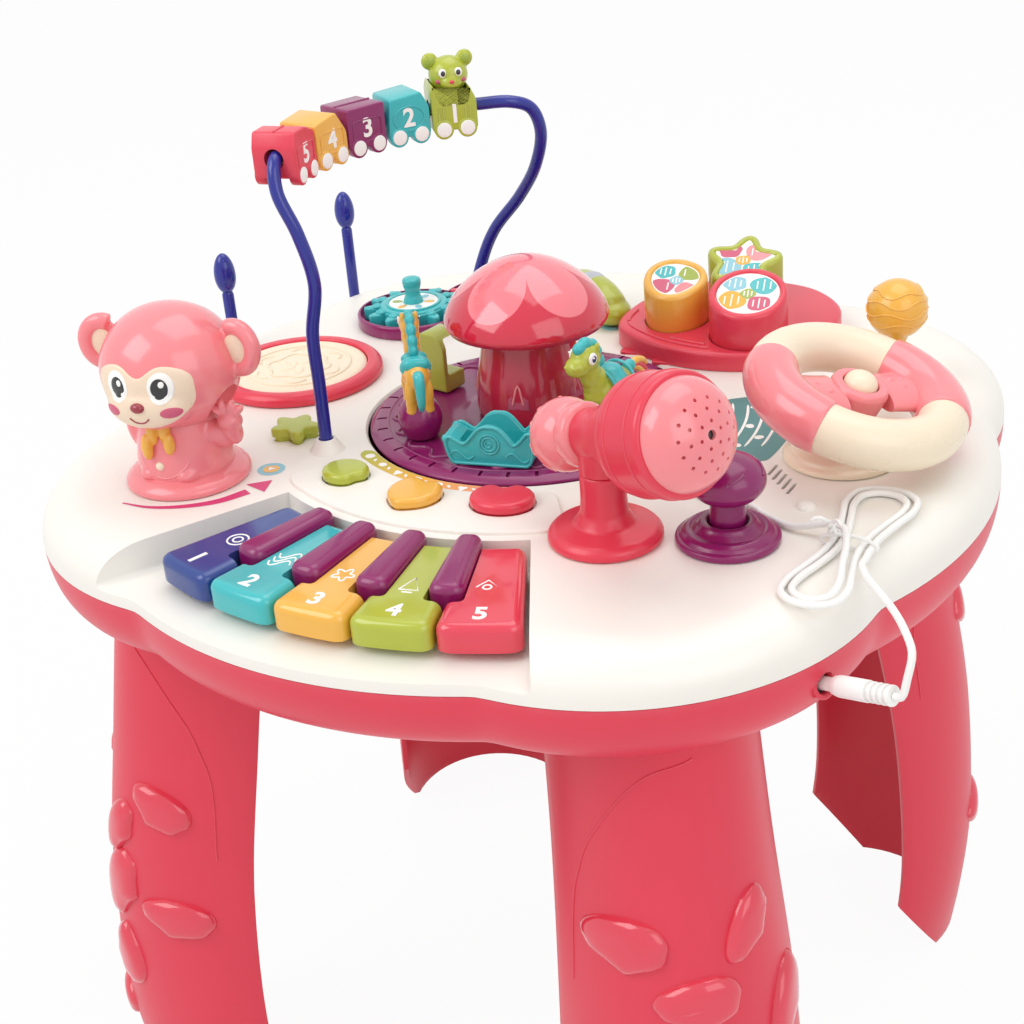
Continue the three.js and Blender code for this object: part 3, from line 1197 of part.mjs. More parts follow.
add("top_shell", topShell(), white);
add("base_shell", baseShell(), red);
const legNames = ["leg_rear_right", "leg_rear_left", "leg_front_left", "leg_front_right"];
legNames.forEach((name, i) => add(name, legBody(), red, plastic, { turnDeg: 45 + 90 * i }));
add("battery_door", batteryDoor(), red);
add("speaker", speakerBody(), dark, dull, standing(speaker));
add("circuit_board", circuitBoard(), green, dull);
add("charge_socket", chargeSocket(), dark, dull, socketPlace());

add("drum_ring", drumRing(), red, glossy);
add("drum_pad", drumPad(), cream);

add("bead_arch", beadArch(), blue, glossy);
const wagonColours = [red, yellow, purple, teal, lime];
wagonColours.forEach((colour, i) => {
  const name = `wagon_${wagonColours.length - i}`;
  add(name, wagonBody(name), colour, plastic, wagonPlace(i));
});

add("turntable", turntable(), purple, glossy);
add("mushroom_stem", toadstoolStem(), red, glossy);
add("mushroom_cap", toadstoolCap(), red, clear);
const riderSeats = [
  ["carousel_horse", carouselHorse(), yellow, -126, 128],
  ["carousel_sleigh", carouselSleigh(), teal, -78, -168],
  ["carousel_pony", carouselPony(), lime, -23, -102],
  ["carousel_seat", carouselSeat(), lime, 172, 82],
];
for (const [name, body, colour, deg, turnDeg] of riderSeats) {
  add(name, body, colour, plastic, { at: riderPlace(deg), turnDeg });
}

const idlerEye = drum(gearTrain.post + running, gearTrain.thick + overrun * 2, gearTrain.z - overrun, 16);
const idlerBody = gearSolid(gearTrain.idler, halfTooth(gearTrain.idler)).subtract(solidOf(idlerEye));
add("idler_gear", idlerBody, white, dull, { at: [...polar(gearTrain.idlerAway, monkey.deg), 0] });
const monkeyPlace = { at: [...polar(monkey.away, monkey.deg), 0], turnDeg: monkey.faceDeg };
add("monkey_body", monkeyLow(), pink, glossy, monkeyPlace);
add("monkey_head", monkeyTop(), pink, glossy, monkeyPlace);

add("gear_tray", gearTray(), purple, glossy);
add("toy_gear_teal", toyGear(1, 0), teal, plastic, { at: [...toyGearPlace(1), 0] });
add("toy_gear_red", toyGear(-1, halfTooth(gearTrain.idler)), red, plastic, { at: [...toyGearPlace(-1), 0] });
add("phone_handset", handset(), lime, plastic, { at: [phone.x, phone.y, topZ - seam], turnDeg: phone.deg });

add("shape_board", shapeBoard(), red);
const blockColours = [yellow, lime, red];
blocks.forEach((piece, i) => add(piece.name, shapeBlock(piece), blockColours[i], plastic,
  slopePlace(piece.x, piece.y)));

add("steering_column", steeringColumn(), cream);
add("steering_wheel", wheelBody(), cream, plastic, wheelPlace);
add("horn_button", hornButton(), cream, plastic, wheelPlace);
add("shift_lever", shiftLever(), yellow, plastic, { at: [shift.x, shift.y, topZ] });
add("microphone_post", micPost(), red, glossy, standing(mic));
add("microphone_head", micBody(), red, glossy, { at: [mic.x, mic.y, 0], turnDeg: micHead.turnDeg });
add("joystick_base", joystickBase(), purple, glossy, standing(stick));
add("joystick", joystick(), purple, glossy, standing(stick));

const buttonColours = [lime, lime, yellow, red];
buttons.forEach((button, i) => add(button.name, pushButton(button), buttonColours[i]));
pianoColours.forEach((colour, i) => add(`key_${i + 1}`, longKey(i), colour));
add("short_keys", shortKeys(), purple, glossy);

const stickFoot = partingHeight - sticks.footDrop;
add("drumstick_left", drumstick(), blue, glossy, { at: [...leftStick, stickFoot] });
add("drumstick_right", drumstick(), blue, glossy, { at: [...rightStick, stickFoot] });

add("cable_plug", cablePlug(), white, dull, socketPlace());
add("cable_lead", cableLead(), white, dull);
add("cable_hank", cableHank(), white, dull);
add("cable_far_plug", cableFarPlug(), white, dull, farPlugPlace());

export default table;
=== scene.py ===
"""Looks of a musical activity table for toddlers: a lobed play top on four legs, with its toys.

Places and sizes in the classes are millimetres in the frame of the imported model, +Z up and the floor at zero.
The mesh functions turn them into metres.
"""

import logging
import random
from collections.abc import Callable, Mapping, Sequence
from dataclasses import dataclass, field
from enum import Enum
from math import asin, atan, atan2, cos, degrees, dist, exp, hypot, pi, radians, sin, sqrt, tan
from math import log as ln

import bmesh
import bpy
from mathutils import Matrix, Vector


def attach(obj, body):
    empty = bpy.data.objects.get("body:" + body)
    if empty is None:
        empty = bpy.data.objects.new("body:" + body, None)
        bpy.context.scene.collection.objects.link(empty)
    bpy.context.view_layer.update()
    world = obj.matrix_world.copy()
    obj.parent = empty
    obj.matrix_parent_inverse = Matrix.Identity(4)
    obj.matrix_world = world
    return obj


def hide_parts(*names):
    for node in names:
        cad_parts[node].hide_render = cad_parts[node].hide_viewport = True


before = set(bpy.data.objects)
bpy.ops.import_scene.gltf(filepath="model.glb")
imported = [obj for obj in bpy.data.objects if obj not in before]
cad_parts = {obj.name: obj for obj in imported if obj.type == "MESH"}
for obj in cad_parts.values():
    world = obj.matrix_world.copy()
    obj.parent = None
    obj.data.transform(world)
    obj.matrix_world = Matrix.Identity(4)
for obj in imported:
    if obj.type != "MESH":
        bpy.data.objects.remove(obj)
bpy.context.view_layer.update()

log = logging.getLogger("activity_table")

MM = 0.001
TOP = 350.0
PARTING = 330.0
BASE = 300.0
SEAM = 0.3
MONKEY_AT = (-115.97, -115.97)
STICK_LEFT = (-193, 19)
STICK_RIGHT = (-194, 132.6)
ORIGIN = (0.0, 0.0, 0.0)
UPRIGHT = Matrix.Rotation(pi / 2, 4, "X")
SIDES = ((-1, "right"), (1, "left"))

Row = tuple[float, float]
Place = tuple[float, float, float]
Paint = tuple[float, float, float, float]
Ring = list[Place]
Thing = bpy.types.Object
Stuff = bpy.types.Material
Tree = bpy.types.NodeTree
Node = bpy.types.Node
Socket = bpy.types.NodeSocket


def polar(radius: float, deg: float) -> Row:
    """Returns the flat place at a radius and an angle."""
    return radius * cos(radians(deg)), radius * sin(radians(deg))


def spaced(count: int, start: float = 0.0, end: float = 1.0) -> list[float]:
    """Returns count + 1 evenly spaced values from start to end."""
    return [start + (end - start) * i / count for i in range(count + 1)]


def around(count: int, full: float = 2 * pi) -> list[float]:
    """Returns evenly spaced angles round a full turn, in radians unless the full turn is given in degrees."""
    return spaced(count, 0, full)[:-1]


def set_down(at: Place = (0, 0, 0), turn: float = 0, tilt: float = 0, roll: float = 0) -> Matrix:
    """Makes the placing of a piece that is built at the origin.

    Args:
        at: where its origin goes, in millimetres.
        turn: degrees about +Z, made last.
        tilt: degrees about +Y, made before the turn.
        roll: degrees about +X, made first.

    Returns:
        The matrix that carries millimetre points there.
    """
    return (Matrix.Translation(Vector(at)) @ Matrix.Rotation(radians(turn), 4, "Z")
            @ Matrix.Rotation(radians(tilt), 4, "Y") @ Matrix.Rotation(radians(roll), 4, "X"))


def raised(profile: Sequence[Row], rise: float) -> list[Row]:
    """Returns a profile of (radius, height) pairs lifted by a height."""
    return [(radius, rise + height) for radius, height in profile]


def rectangle(wide: float, deep: float) -> list[Row]:
    """Returns the outline of a rectangle about the origin."""
    x, y = wide / 2, deep / 2
    return [(-x, -y), (x, -y), (x, y), (-x, y)]


def turned(row: Sequence[Row], at: Row, deg: float) -> list[Row]:
    """Returns flat points turned about the origin by so many degrees and then moved."""
    c, s = cos(radians(deg)), sin(radians(deg))
    return [(at[0] + x * c - y * s, at[1] + x * s + y * c) for x, y in row]


def shown(name: str, data: bpy.types.ID) -> Thing:
    """Puts an object with the given data into the scene, and returns it."""
    obj = bpy.data.objects.new(name, data)
    bpy.context.scene.collection.objects.link(obj)
    return obj


def make(name: str, points: Sequence[Place], faces: Sequence[Sequence[int]], place: Matrix | None = None,
         crease: float = 38) -> Thing:
    """Makes a mesh object from millimetre points.

    Args:
        name: the object's name.
        points: corners in millimetres.
        faces: corner numbers of each face.
        place: where the piece goes.
        crease: edges that turn by more than this many degrees stay sharp.

    Returns:
        The new object, smooth shaded, with its faces looking outwards.
    """
    mesh = bpy.data.meshes.new(name)
    moved = [(place @ Vector(p) if place else Vector(p)) * MM for p in points]
    mesh.from_pydata([tuple(p) for p in moved], [], [list(f) for f in faces])
    obj = shown(name, mesh)
    work = bmesh.new()
    work.from_mesh(mesh)
    bmesh.ops.remove_doubles(work, verts=work.verts, dist=1e-7)
    bmesh.ops.dissolve_degenerate(work, edges=work.edges, dist=1e-8)
    bmesh.ops.recalc_face_normals(work, faces=work.faces)
    work.to_mesh(mesh)
    work.free()
    smooth(obj, crease)
    return obj


def smooth(obj: Thing, crease: float = 38) -> Thing:
    """Shades a mesh smooth but for its sharp edges, and returns it."""
    mesh = obj.data
    work = bmesh.new()
    work.from_mesh(mesh)
    for face in work.faces:
        face.smooth = True
    for edge in work.edges:
        edge.smooth = not (len(edge.link_faces) == 2 and edge.calc_face_angle(0) > radians(crease))
    work.to_mesh(mesh)
    work.free()
    return obj


def settle(obj: Thing, crease: float = 38) -> Thing:
    """Makes an object's modifiers part of its mesh, shades it, and returns it."""
    bpy.context.view_layer.update()
    made = bpy.data.meshes.new_from_object(obj.evaluated_get(bpy.context.evaluated_depsgraph_get()))
    obj.modifiers.clear()
    old, obj.data = obj.data, made
    bpy.data.meshes.remove(old)
    return smooth(obj, crease)


def loft(name: str, rings: Sequence[Ring], place: Matrix | None = None, crease: float = 38,
         closed: bool = False) -> Thing:
    """Makes a skin through rings that all have the same number of points.

    Args:
        name: the object's name.
        rings: rows of points, each a closed outline.
        place: where the piece goes.
        crease: edges sharper than this many degrees stay sharp.
        closed: joins the last ring to the first, as in a torus; otherwise flat lids close the two ends.

    Returns:
        The new object.
    """
    count = len(rings[0])
    points = [p for ring in rings for p in ring]
    faces: list[tuple[int, ...]] = []
    steps = len(rings) if closed else len(rings) - 1
    for r in range(steps):
        low, high = r * count, (r + 1) % len(rings) * count
        for i in range(count):
            k = (i + 1) % count
            faces.append((low + i, low + k, high + k, high + i))
    if not closed:
        last = (len(rings) - 1) * count
        faces.append(tuple(reversed(range(count))))
        faces.append(tuple(range(last, last + count)))
    return make(name, points, faces, place, crease)


def lathe(name: str, profile: Sequence[Row], place: Matrix | None = None, steps: int = 64,
          crease: float = 38) -> Thing:
    """Turns a profile of (radius, height) pairs about the upright axis.

    Args:
        name: the object's name.
        profile: pairs from one end on the axis to the other, or a closed row for a ring.
        place: where the piece goes.
        steps: facets in a full turn.
        crease: edges sharper than this many degrees stay sharp.

    Returns:
        The new object.
    """
    points: list[Place] = []
    rows: list[list[int]] = []
    for radius, height in profile:
        if radius <= 1e-6:
            rows.append([len(points)])
            points.append((0, 0, height))
            continue
        rows.append(list(range(len(points), len(points) + steps)))
        points += [(*polar(radius, 360 * i / steps), height) for i in range(steps)]
    faces: list[tuple[int, ...]] = []
    for low, high in zip(rows, rows[1:]):
        for i in range(steps):
            k = (i + 1) % steps
            corner = [low[i % len(low)], low[k % len(low)], high[k % len(high)], high[i % len(high)]]
            face = tuple(dict.fromkeys(corner))
            if len(face) > 2:
                faces.append(face)
    return make(name, points, faces, place, crease)


def rounded(profile: Sequence[Row], radius: float, steps: int = 4, closed: bool = False) -> list[Row]:
    """Rounds the corners of a flat row of points.

    Args:
        profile: the row.
        radius: how far the rounding reaches along each side, at most.
        steps: pieces in each round.
        closed: rounds the first and last corners too.

    Returns:
        The new row.
    """
    made: list[Row] = []
    count = len(profile)
    for i, corner in enumerate(profile):
        if not closed and i in (0, count - 1):
            made.append(tuple(corner))
            continue
        here = Vector(corner)
        before, after = Vector(profile[i - 1]) - here, Vector(profile[(i + 1) % count]) - here
        reach = min(radius, before.length * 0.48, after.length * 0.48)
        if reach < 1e-6:
            made.append(tuple(corner))
            continue
        start, end = here + before.normalized() * reach, here + after.normalized() * reach
        for t in spaced(steps):
            made.append(tuple(start * (1 - t) ** 2 + here * 2 * t * (1 - t) + end * t ** 2))
    return made


def fan(deg: float, half: float, inner: float, outer: float, corner: float) -> list[Row]:
    """Returns the outline of a piece of a ring with rounded corners.

    Args:
        deg: direction of its middle.
        half: half its angle.
        inner: near radius.
        outer: far radius.
        corner: how far each corner's rounding reaches.
    """
    middle = (inner + outer) / 2
    wide = radians(half) * middle
    square = rounded([(-wide, inner), (wide, inner), (wide, outer), (-wide, outer)], corner, 6, True)
    row: list[Row] = []
    for a, b in zip(square, [*square[1:], square[0]]):
        pieces = max(1, round(dist(a, b) / 5))
        row += [(a[0] + (b[0] - a[0]) * k / pieces, a[1] + (b[1] - a[1]) * k / pieces) for k in range(pieces)]
    return [polar(r, deg + degrees(s / middle)) for s, r in row]


def shrunk(outline: Sequence[Row], inset: float) -> list[Row]:
    """Returns a closed outline (counter-clockwise) drawn in along its normals."""
    made: list[Row] = []
    count = len(outline)
    for i in range(count):
        before, here, after = Vector(outline[i - 1]), Vector(outline[i]), Vector(outline[(i + 1) % count])
        one, two = (here - before).normalized(), (after - here).normalized()
        normal = Vector((-(one.y + two.y), one.x + two.x))
        if normal.length < 1e-9:
            normal = Vector((-one.y, one.x))
        made.append(tuple(here + normal.normalized() * inset))
    return made


def wound(outline: Sequence[Row]) -> list[Row]:
    """Returns the outline running counter-clockwise."""
    area = sum(a[0] * b[1] - b[0] * a[1] for a, b in zip(outline, [*outline[1:], outline[0]]))
    return list(outline) if area > 0 else list(reversed(outline))


def pad(name: str, outline: Sequence[Row], low: float, high: float, place: Matrix | None = None,
        edge: float = 1.0, foot: float = 0.0, steps: int = 4) -> Thing:
    """Makes a plate with a rounded upper edge from a flat outline.

    Args:
        name: the object's name.
        outline: closed row of flat points.
        low: height of its underside.
        high: height of its upper face.
        place: where the piece goes.
        edge: radius of the upper edge.
        foot: radius of the lower edge.
        steps: rings in each round.

    Returns:
        The new object.
    """
    row = wound(outline)
    rows: list[Row] = []
    if foot:
        rows += [(foot * (1 - sin(a)), low + foot * (1 - cos(a))) for a in spaced(steps, 0, pi / 2)]
    else:
        rows.append((0, low))
    rows += [(edge * (1 - cos(a)), high - edge + edge * sin(a)) for a in spaced(steps, 0, pi / 2)]
    rings = [[(x, y, z) for x, y in shrunk(row, inset)] for inset, z in rows]
    return loft(name, rings, place)


def ball(name: str, sizes: Place, at: Place = (0, 0, 0), place: Matrix | None = None, wide: int = 40,
         high: int = 24) -> Thing:
    """Makes an ellipsoid with the given half lengths."""
    profile = [(abs(cos(a)) if abs(a) < pi / 2 - 1e-6 else 0, sin(a)) for a in spaced(high, -pi / 2, pi / 2)]
    own = Matrix.Translation(Vector(at)) @ Matrix.Diagonal((*sizes, 1))
    return lathe(name, profile, place @ own if place else own, wide, 60)


def lumps(rows: Sequence[tuple[Place, Place]], place: Matrix, wide: int, high: int) -> list[Thing]:
    """Makes an ellipsoid for each pair of half lengths and place, ready to be melted together."""
    return [ball("lump", sizes, at, place, wide, high) for sizes, at in rows]


def rod(name: str, radius: float, low: float, high: float, place: Matrix | None = None, steps: int = 32) -> Thing:
    """Makes a plain round rod between two heights."""
    return lathe(name, [(0, low), (radius, low), (radius, high), (0, high)], place, steps)


def box(name: str, sizes: Place, at: Place = (0, 0, 0), place: Matrix | None = None, edge: float = 1.0,
        steps: int = 3) -> Thing:
    """Makes a block with rounded edges, centred at a place."""
    x, y, z = (s / 2 for s in sizes)
    points = [(sx * x + at[0], sy * y + at[1], sz * z + at[2]) for sx in (-1, 1) for sy in (-1, 1) for sz in (-1, 1)]
    faces = [(0, 1, 3, 2), (4, 6, 7, 5), (0, 4, 5, 1), (2, 3, 7, 6), (0, 2, 6, 4), (1, 5, 7, 3)]
    obj = make(name, points, faces, place)
    return bevelled(obj, edge, steps)


def bevelled(obj: Thing, width: float, steps: int = 3, angle: float = 30) -> Thing:
    """Rounds the sharp edges of a mesh by a width in millimetres, and returns it."""
    cutter = obj.modifiers.new("round", "BEVEL")
    cutter.width, cutter.segments = width * MM, steps
    cutter.limit_method, cutter.angle_limit = "ANGLE", radians(angle)
    return settle(obj, 45)


def smooth_line(points: Sequence[Place], steps: int = 8, closed: bool = False) -> list[Place]:
    """Returns a centripetal spline through the points, with so many steps between each two."""
    row = [Vector(p) for p in points]
    count = len(row)
    made: list[Place] = []
    for i in range(count if closed else count - 1):
        p1, p2 = row[i], row[(i + 1) % count]
        p0 = row[i - 1] if closed or i else p1 * 2 - p2
        p3 = row[(i + 2) % count] if closed or i + 2 < count else p2 * 2 - p1
        knots = [0.0]
        for a, b in ((p0, p1), (p1, p2), (p2, p3)):
            knots.append(knots[-1] + max((b - a).length, 1e-9) ** 0.5)
        t0, t1, t2, t3 = knots
        for s in range(steps):
            t = t1 + (t2 - t1) * s / steps
            a1 = (p0 * (t1 - t) + p1 * (t - t0)) / (t1 - t0)
            a2 = (p1 * (t2 - t) + p2 * (t - t1)) / (t2 - t1)
            a3 = (p2 * (t3 - t) + p3 * (t - t2)) / (t3 - t2)
            b1 = (a1 * (t2 - t) + a2 * (t - t0)) / (t2 - t0)
            b2 = (a2 * (t3 - t) + a3 * (t - t1)) / (t3 - t1)
            made.append(tuple((b1 * (t2 - t) + b2 * (t - t1)) / (t2 - t1)))
    if not closed:
        made.append(tuple(row[-1]))
    return made


def tube(name: str, line: Sequence[Place], radius: float | Callable[[float], float], sides: int = 16,
         place: Matrix | None = None, closed: bool = False, flat: float = 1.0) -> Thing:
    """Makes a round tube along a line of points.

    Args:
        name: the object's name.
        line: close points of the middle line.
        radius: its radius, or a function of the share along the line.
        sides: facets round it.
        place: where the piece goes.
        closed: joins the end to the start.
        flat: how high the section is, in shares of its width.

    Returns:
        The new object.
    """
    row = [Vector(p) for p in line]
    count = len(row)
    first = ((row[1] - row[-1]) if closed else (row[1] - row[0])).normalized()
    side = first.cross(Vector((0, 0, 1)))
    side = side.normalized() if side.length > 1e-3 else Vector((1, 0, 0))
    rings = []
    for i, here in enumerate(row):
        ahead = row[(i + 1) % count] if closed or i + 1 < count else here
        behind = row[i - 1] if closed or i else here
        along = (ahead - behind).normalized()
        side = (side - along * side.dot(along)).normalized()
        up = along.cross(side)
        r = radius(i / max(count - 1, 1)) if callable(radius) else radius
        rings.append([tuple(here + side * (r * cos(a)) + up * (r * flat * sin(a))) for a in around(sides)])
    return loft(name, rings, place, 60, closed)


def curved(name: str, line: Sequence[Place], radius: float, sides: int = 4) -> Thing:
    """Makes a round cord as a curve of one open spline through the points, and returns it."""
    curve = bpy.data.curves.new(name, "CURVE")
    curve.dimensions, curve.bevel_depth, curve.bevel_resolution = "3D", radius * MM, sides
    curve.use_fill_caps = True
    spline = curve.splines.new("POLY")
    spline.points.add(len(line) - 1)
    for point, place in zip(spline.points, line):
        point.co = (*(Vector(place) * MM), 1)
    return shown(name, curve)


def joined(name: str, parts: Sequence[Thing]) -> Thing:
    """Makes one object of several, keeping each one's material, and returns it."""
    work = bmesh.new()
    stuffs: list[Stuff] = []
    for part in parts:
        own = [m for m in part.data.materials if m]
        before = len(work.faces)
        work.from_mesh(part.data)
        work.faces.ensure_lookup_table()
        for face in work.faces[before:]:
            stuff = own[face.material_index] if own else None
            if stuff is None:
                continue
            if stuff not in stuffs:
                stuffs.append(stuff)
            face.material_index = stuffs.index(stuff)
    mesh = bpy.data.meshes.new(name)
    work.to_mesh(mesh)
    work.free()
    for stuff in stuffs:
        mesh.materials.append(stuff)
    for part in parts:
        bpy.data.objects.remove(part)
    return shown(name, mesh)


class Cut(Enum):
    """How two solids are put together."""

    AWAY = "DIFFERENCE"
    SHARED = "INTERSECT"
    ADDED = "UNION"


def carved(obj: Thing, tools: Sequence[Thing], way: Cut = Cut.AWAY, crease: float = 38) -> Thing:
    """Cuts, adds or keeps what each tool shares with a solid, and returns the solid."""
    for tool in tools:
        step = obj.modifiers.new("cut", "BOOLEAN")
        step.operation, step.object, step.solver = way.value, tool, "MANIFOLD"
        settle(obj, crease)
        bpy.data.objects.remove(tool)
    return obj


def moulded(name: str, parts: Sequence[Thing], grain: float, rounds: int = 6) -> Thing:
    """Melts several lumps into one moulded figure.

    Args:
        name: the object's name.
        parts: closed lumps that overlap.
        grain: size of the steps that the figure is sampled in, in millimetres.
        rounds: how often its surface is relaxed.

    Returns:
        The new object.
    """
    obj = joined(name, parts)
    step = obj.modifiers.new("melt", "REMESH")
    step.mode, step.voxel_size, step.use_smooth_shade = "VOXEL", grain * MM, True
    calm = obj.modifiers.new("calm", "SMOOTH")
    calm.factor, calm.iterations = 0.5, rounds
    return settle(obj, 75)


def draped_print(name: str, points: Sequence[Place], faces: Sequence[Sequence[int]], onto: Thing,
                 lift: float = 0.12) -> Thing:
    """Lays a thin print on a surface from above.

    Args:
        name: the object's name.
        points: corners of the print somewhere above the surface, in millimetres.
        faces: its faces.
        onto: what it lies on.
        lift: how far it stands proud.

    Returns:
        The print, a thin closed sheet that follows the surface.
    """
    obj = make(name, points, faces, None, 60)
    way = Vector((0, 0, -1))
    for corner in obj.data.vertices:
        hit, where, _, _ = onto.ray_cast(corner.co - way * 0.05, way)
        if hit:
            corner.co = where - way * lift * MM
    return obj


def linear(code: int) -> tuple[float, ...]:
    """Returns the scene's linear colour for a six-digit screen colour."""
    shares = [(code >> shift & 255) / 255 for shift in (16, 8, 0)]
    return tuple(s / 12.92 if s <= 0.04045 else ((s + 0.055) / 1.055) ** 2.4 for s in shares)


DUST = 0xE9E4DA
PALER = 0.35


class Hue(Enum):
    """The colours of the toy, as a screen shows them."""

    WHITE = 0xF4F0E8
    RED = 0xE23A50
    PINK = 0xF58A90
    CREAM = 0xF6E6CC
    FACE = 0xF4DCC2
    PURPLE = 0x8A1560
    TEAL = 0x35B8BC
    BLUE = 0x1B2590
    NAVY = 0x1D3D8A
    # Red of the stem: the same red plastic painted darker, as painted shade under the cap.
    STEM = 0xC92E48
    MAGENTA = 0xD83A78
    SLATE = 0x4E8C8C
    YELLOW = 0xF0B445
    LIME = 0xB1BA38
    GREEN = 0x9DB03A
    SKY = 0x8FC9D8
    ROSE = 0xD2607C
    MAROON = 0x9C2A3C
    BLACK = 0x17171B
    STEEL = 0xB8BCC2
    BOARD = 0x2F7A4D
    PAPER = 0xFBFAF6
    CABLE = 0xF6F5F2


def node(tree: Tree, kind: str, ins: dict[str | int, object] | None = None, **traits: object) -> Node:
    """Adds a shader node.

    Args:
        tree: the material or group that gets it.
        kind: its type, without the word ShaderNode.
        ins: what each input gets: a socket is linked, and anything else is its standing value.
        traits: its own settings.

    Returns:
        The node.
    """
    made = tree.nodes.new("ShaderNode" + kind)
    for trait, value in traits.items():
        setattr(made, trait, value)
    for socket, value in (ins or {}).items():
        if isinstance(value, Socket):
            tree.links.new(value, made.inputs[socket])
        else:
            made.inputs[socket].default_value = value
    return made


def maths(tree: Tree, way: str, *values: Socket | float) -> Socket:
    """Adds a maths node on the given sockets or numbers, and returns its output."""
    return node(tree, "Math", dict(enumerate(values)), operation=way).outputs[0]


def noise(tree: Tree, place: Socket, scale: Socket | float, detail: float) -> Socket:
    """Adds a noise texture and returns its value socket."""
    return node(tree, "TexNoise", {"Vector": place, "Scale": scale, "Detail": detail}).outputs["Fac"]


def blend(tree: Tree, share: Socket, one: Socket | Paint, two: Socket | Paint) -> Socket:
    """Adds a mix of two colours and returns it."""
    return node(tree, "Mix", {"Factor": share, "A": one, "B": two}, data_type="RGBA").outputs["Result"]


def paint(code: int) -> Paint:
    """Returns a six-digit screen colour as a socket takes it."""
    return (*linear(code), 1)


class Effect:
    """Shader node groups that several finishes share, each built once."""

    made: dict[str, Tree] = {}
    numbers: dict[str, dict[str, float]] = {
        "Moulded skin": {"Cloud": 0.05, "Gloss": 0.2, "Unevenness": 0.08, "Cloud size": 28.0, "Skin size": 900.0},
        "Rubbed edges": {"Amount": 0.2, "Roughness": 0.2},
        "Settled dust": {"Amount": 0.03, "Roughness": 0.2},
    }

    @classmethod
    def group(cls, name: str) -> Tree:
        """Returns a group by its name, which is built the first time.

        Args:
            name: Moulded skin (cloudy colour, fine skin and uneven gloss), Rubbed edges (lighter and duller, broken
                up by noise) or Settled dust (a pale trace on what faces up).

        Returns:
            The group.
        """
        if name in cls.made:
            return cls.made[name]
        tree = cls.made[name] = bpy.data.node_groups.new(name, "ShaderNodeTree")
        into, out = tree.nodes.new("NodeGroupInput"), tree.nodes.new("NodeGroupOutput")
        sockets = [("Place", "Vector", None), ("Colour", "Color", (0.8, 0.8, 0.8, 1))]
        if name == "Rubbed edges":
            sockets.append(("Worn colour", "Color", (1, 1, 1, 1)))
        for label, kind, value in [*sockets, *((k, "Float", v) for k, v in cls.numbers[name].items())]:
            socket = tree.interface.new_socket(name=label, in_out="INPUT", socket_type=f"NodeSocket{kind}")
            if value is not None:
                socket.default_value = value
        build = {"Moulded skin": cls.moulding, "Rubbed edges": cls.rubbed, "Settled dust": cls.dusted}[name]
        for label, socket in build(tree, into.outputs).items():
            kind = "Color" if label == "Colour" else "Float"
            tree.interface.new_socket(name=label, in_out="OUTPUT", socket_type=f"NodeSocket{kind}")
            tree.links.new(socket, out.inputs[label])
        return tree

    @staticmethod
    def moulding(tree: Tree, into: Mapping[str, Socket]) -> dict[str, Socket]:
        """Adds the cloudy colour, the fine skin and the uneven gloss, and returns the outputs by name."""
        cloud = noise(tree, into["Place"], into["Cloud size"], 3)
        skin = noise(tree, into["Place"], into["Skin size"], 2)
        shade = maths(tree, "SUBTRACT", maths(tree, "MULTIPLY_ADD", cloud, into["Cloud"], 1.0),
                      maths(tree, "MULTIPLY", into["Cloud"], 0.5))
        colour = node(tree, "VectorMath", {0: into["Colour"], "Scale": shade}, operation="SCALE").outputs[0]
        gloss = maths(tree, "MULTIPLY_ADD", cloud, into["Unevenness"], into["Gloss"])
        return {"Colour": colour, "Roughness": gloss, "Height": skin}

    @staticmethod
    def rubbed(tree: Tree, into: Mapping[str, Socket]) -> dict[str, Socket]:
        """Adds the pale, dull edges, and returns the outputs by name."""
        shape = node(tree, "NewGeometry").outputs["Pointiness"]
        edge = node(tree, "MapRange", {"From Min": 0.52, "From Max": 0.62, "Value": shape}).outputs["Result"]
        mask = maths(tree, "MULTIPLY", edge, noise(tree, into["Place"], 220.0, 4))
        amount = maths(tree, "MULTIPLY", mask, into["Amount"])
        return {"Colour": blend(tree, amount, into["Colour"], into["Worn colour"]),
                "Roughness": maths(tree, "MULTIPLY_ADD", amount, 0.3, into["Roughness"])}

    @staticmethod
    def dusted(tree: Tree, into: Mapping[str, Socket]) -> dict[str, Socket]:
        """Adds the dust on what faces up, and returns the outputs by name."""
        upright = node(tree, "SeparateXYZ", {0: node(tree, "NewGeometry").outputs["Normal"]}).outputs["Z"]
        flat = node(tree, "MapRange", {"From Min": 0.6, "Value": upright}).outputs["Result"]
        mask = maths(tree, "MULTIPLY", flat, noise(tree, into["Place"], 60.0, 5))
        amount = maths(tree, "MULTIPLY", mask, into["Amount"])
        return {"Colour": blend(tree, amount, into["Colour"], paint(DUST)),
                "Roughness": maths(tree, "ADD", amount, into["Roughness"])}


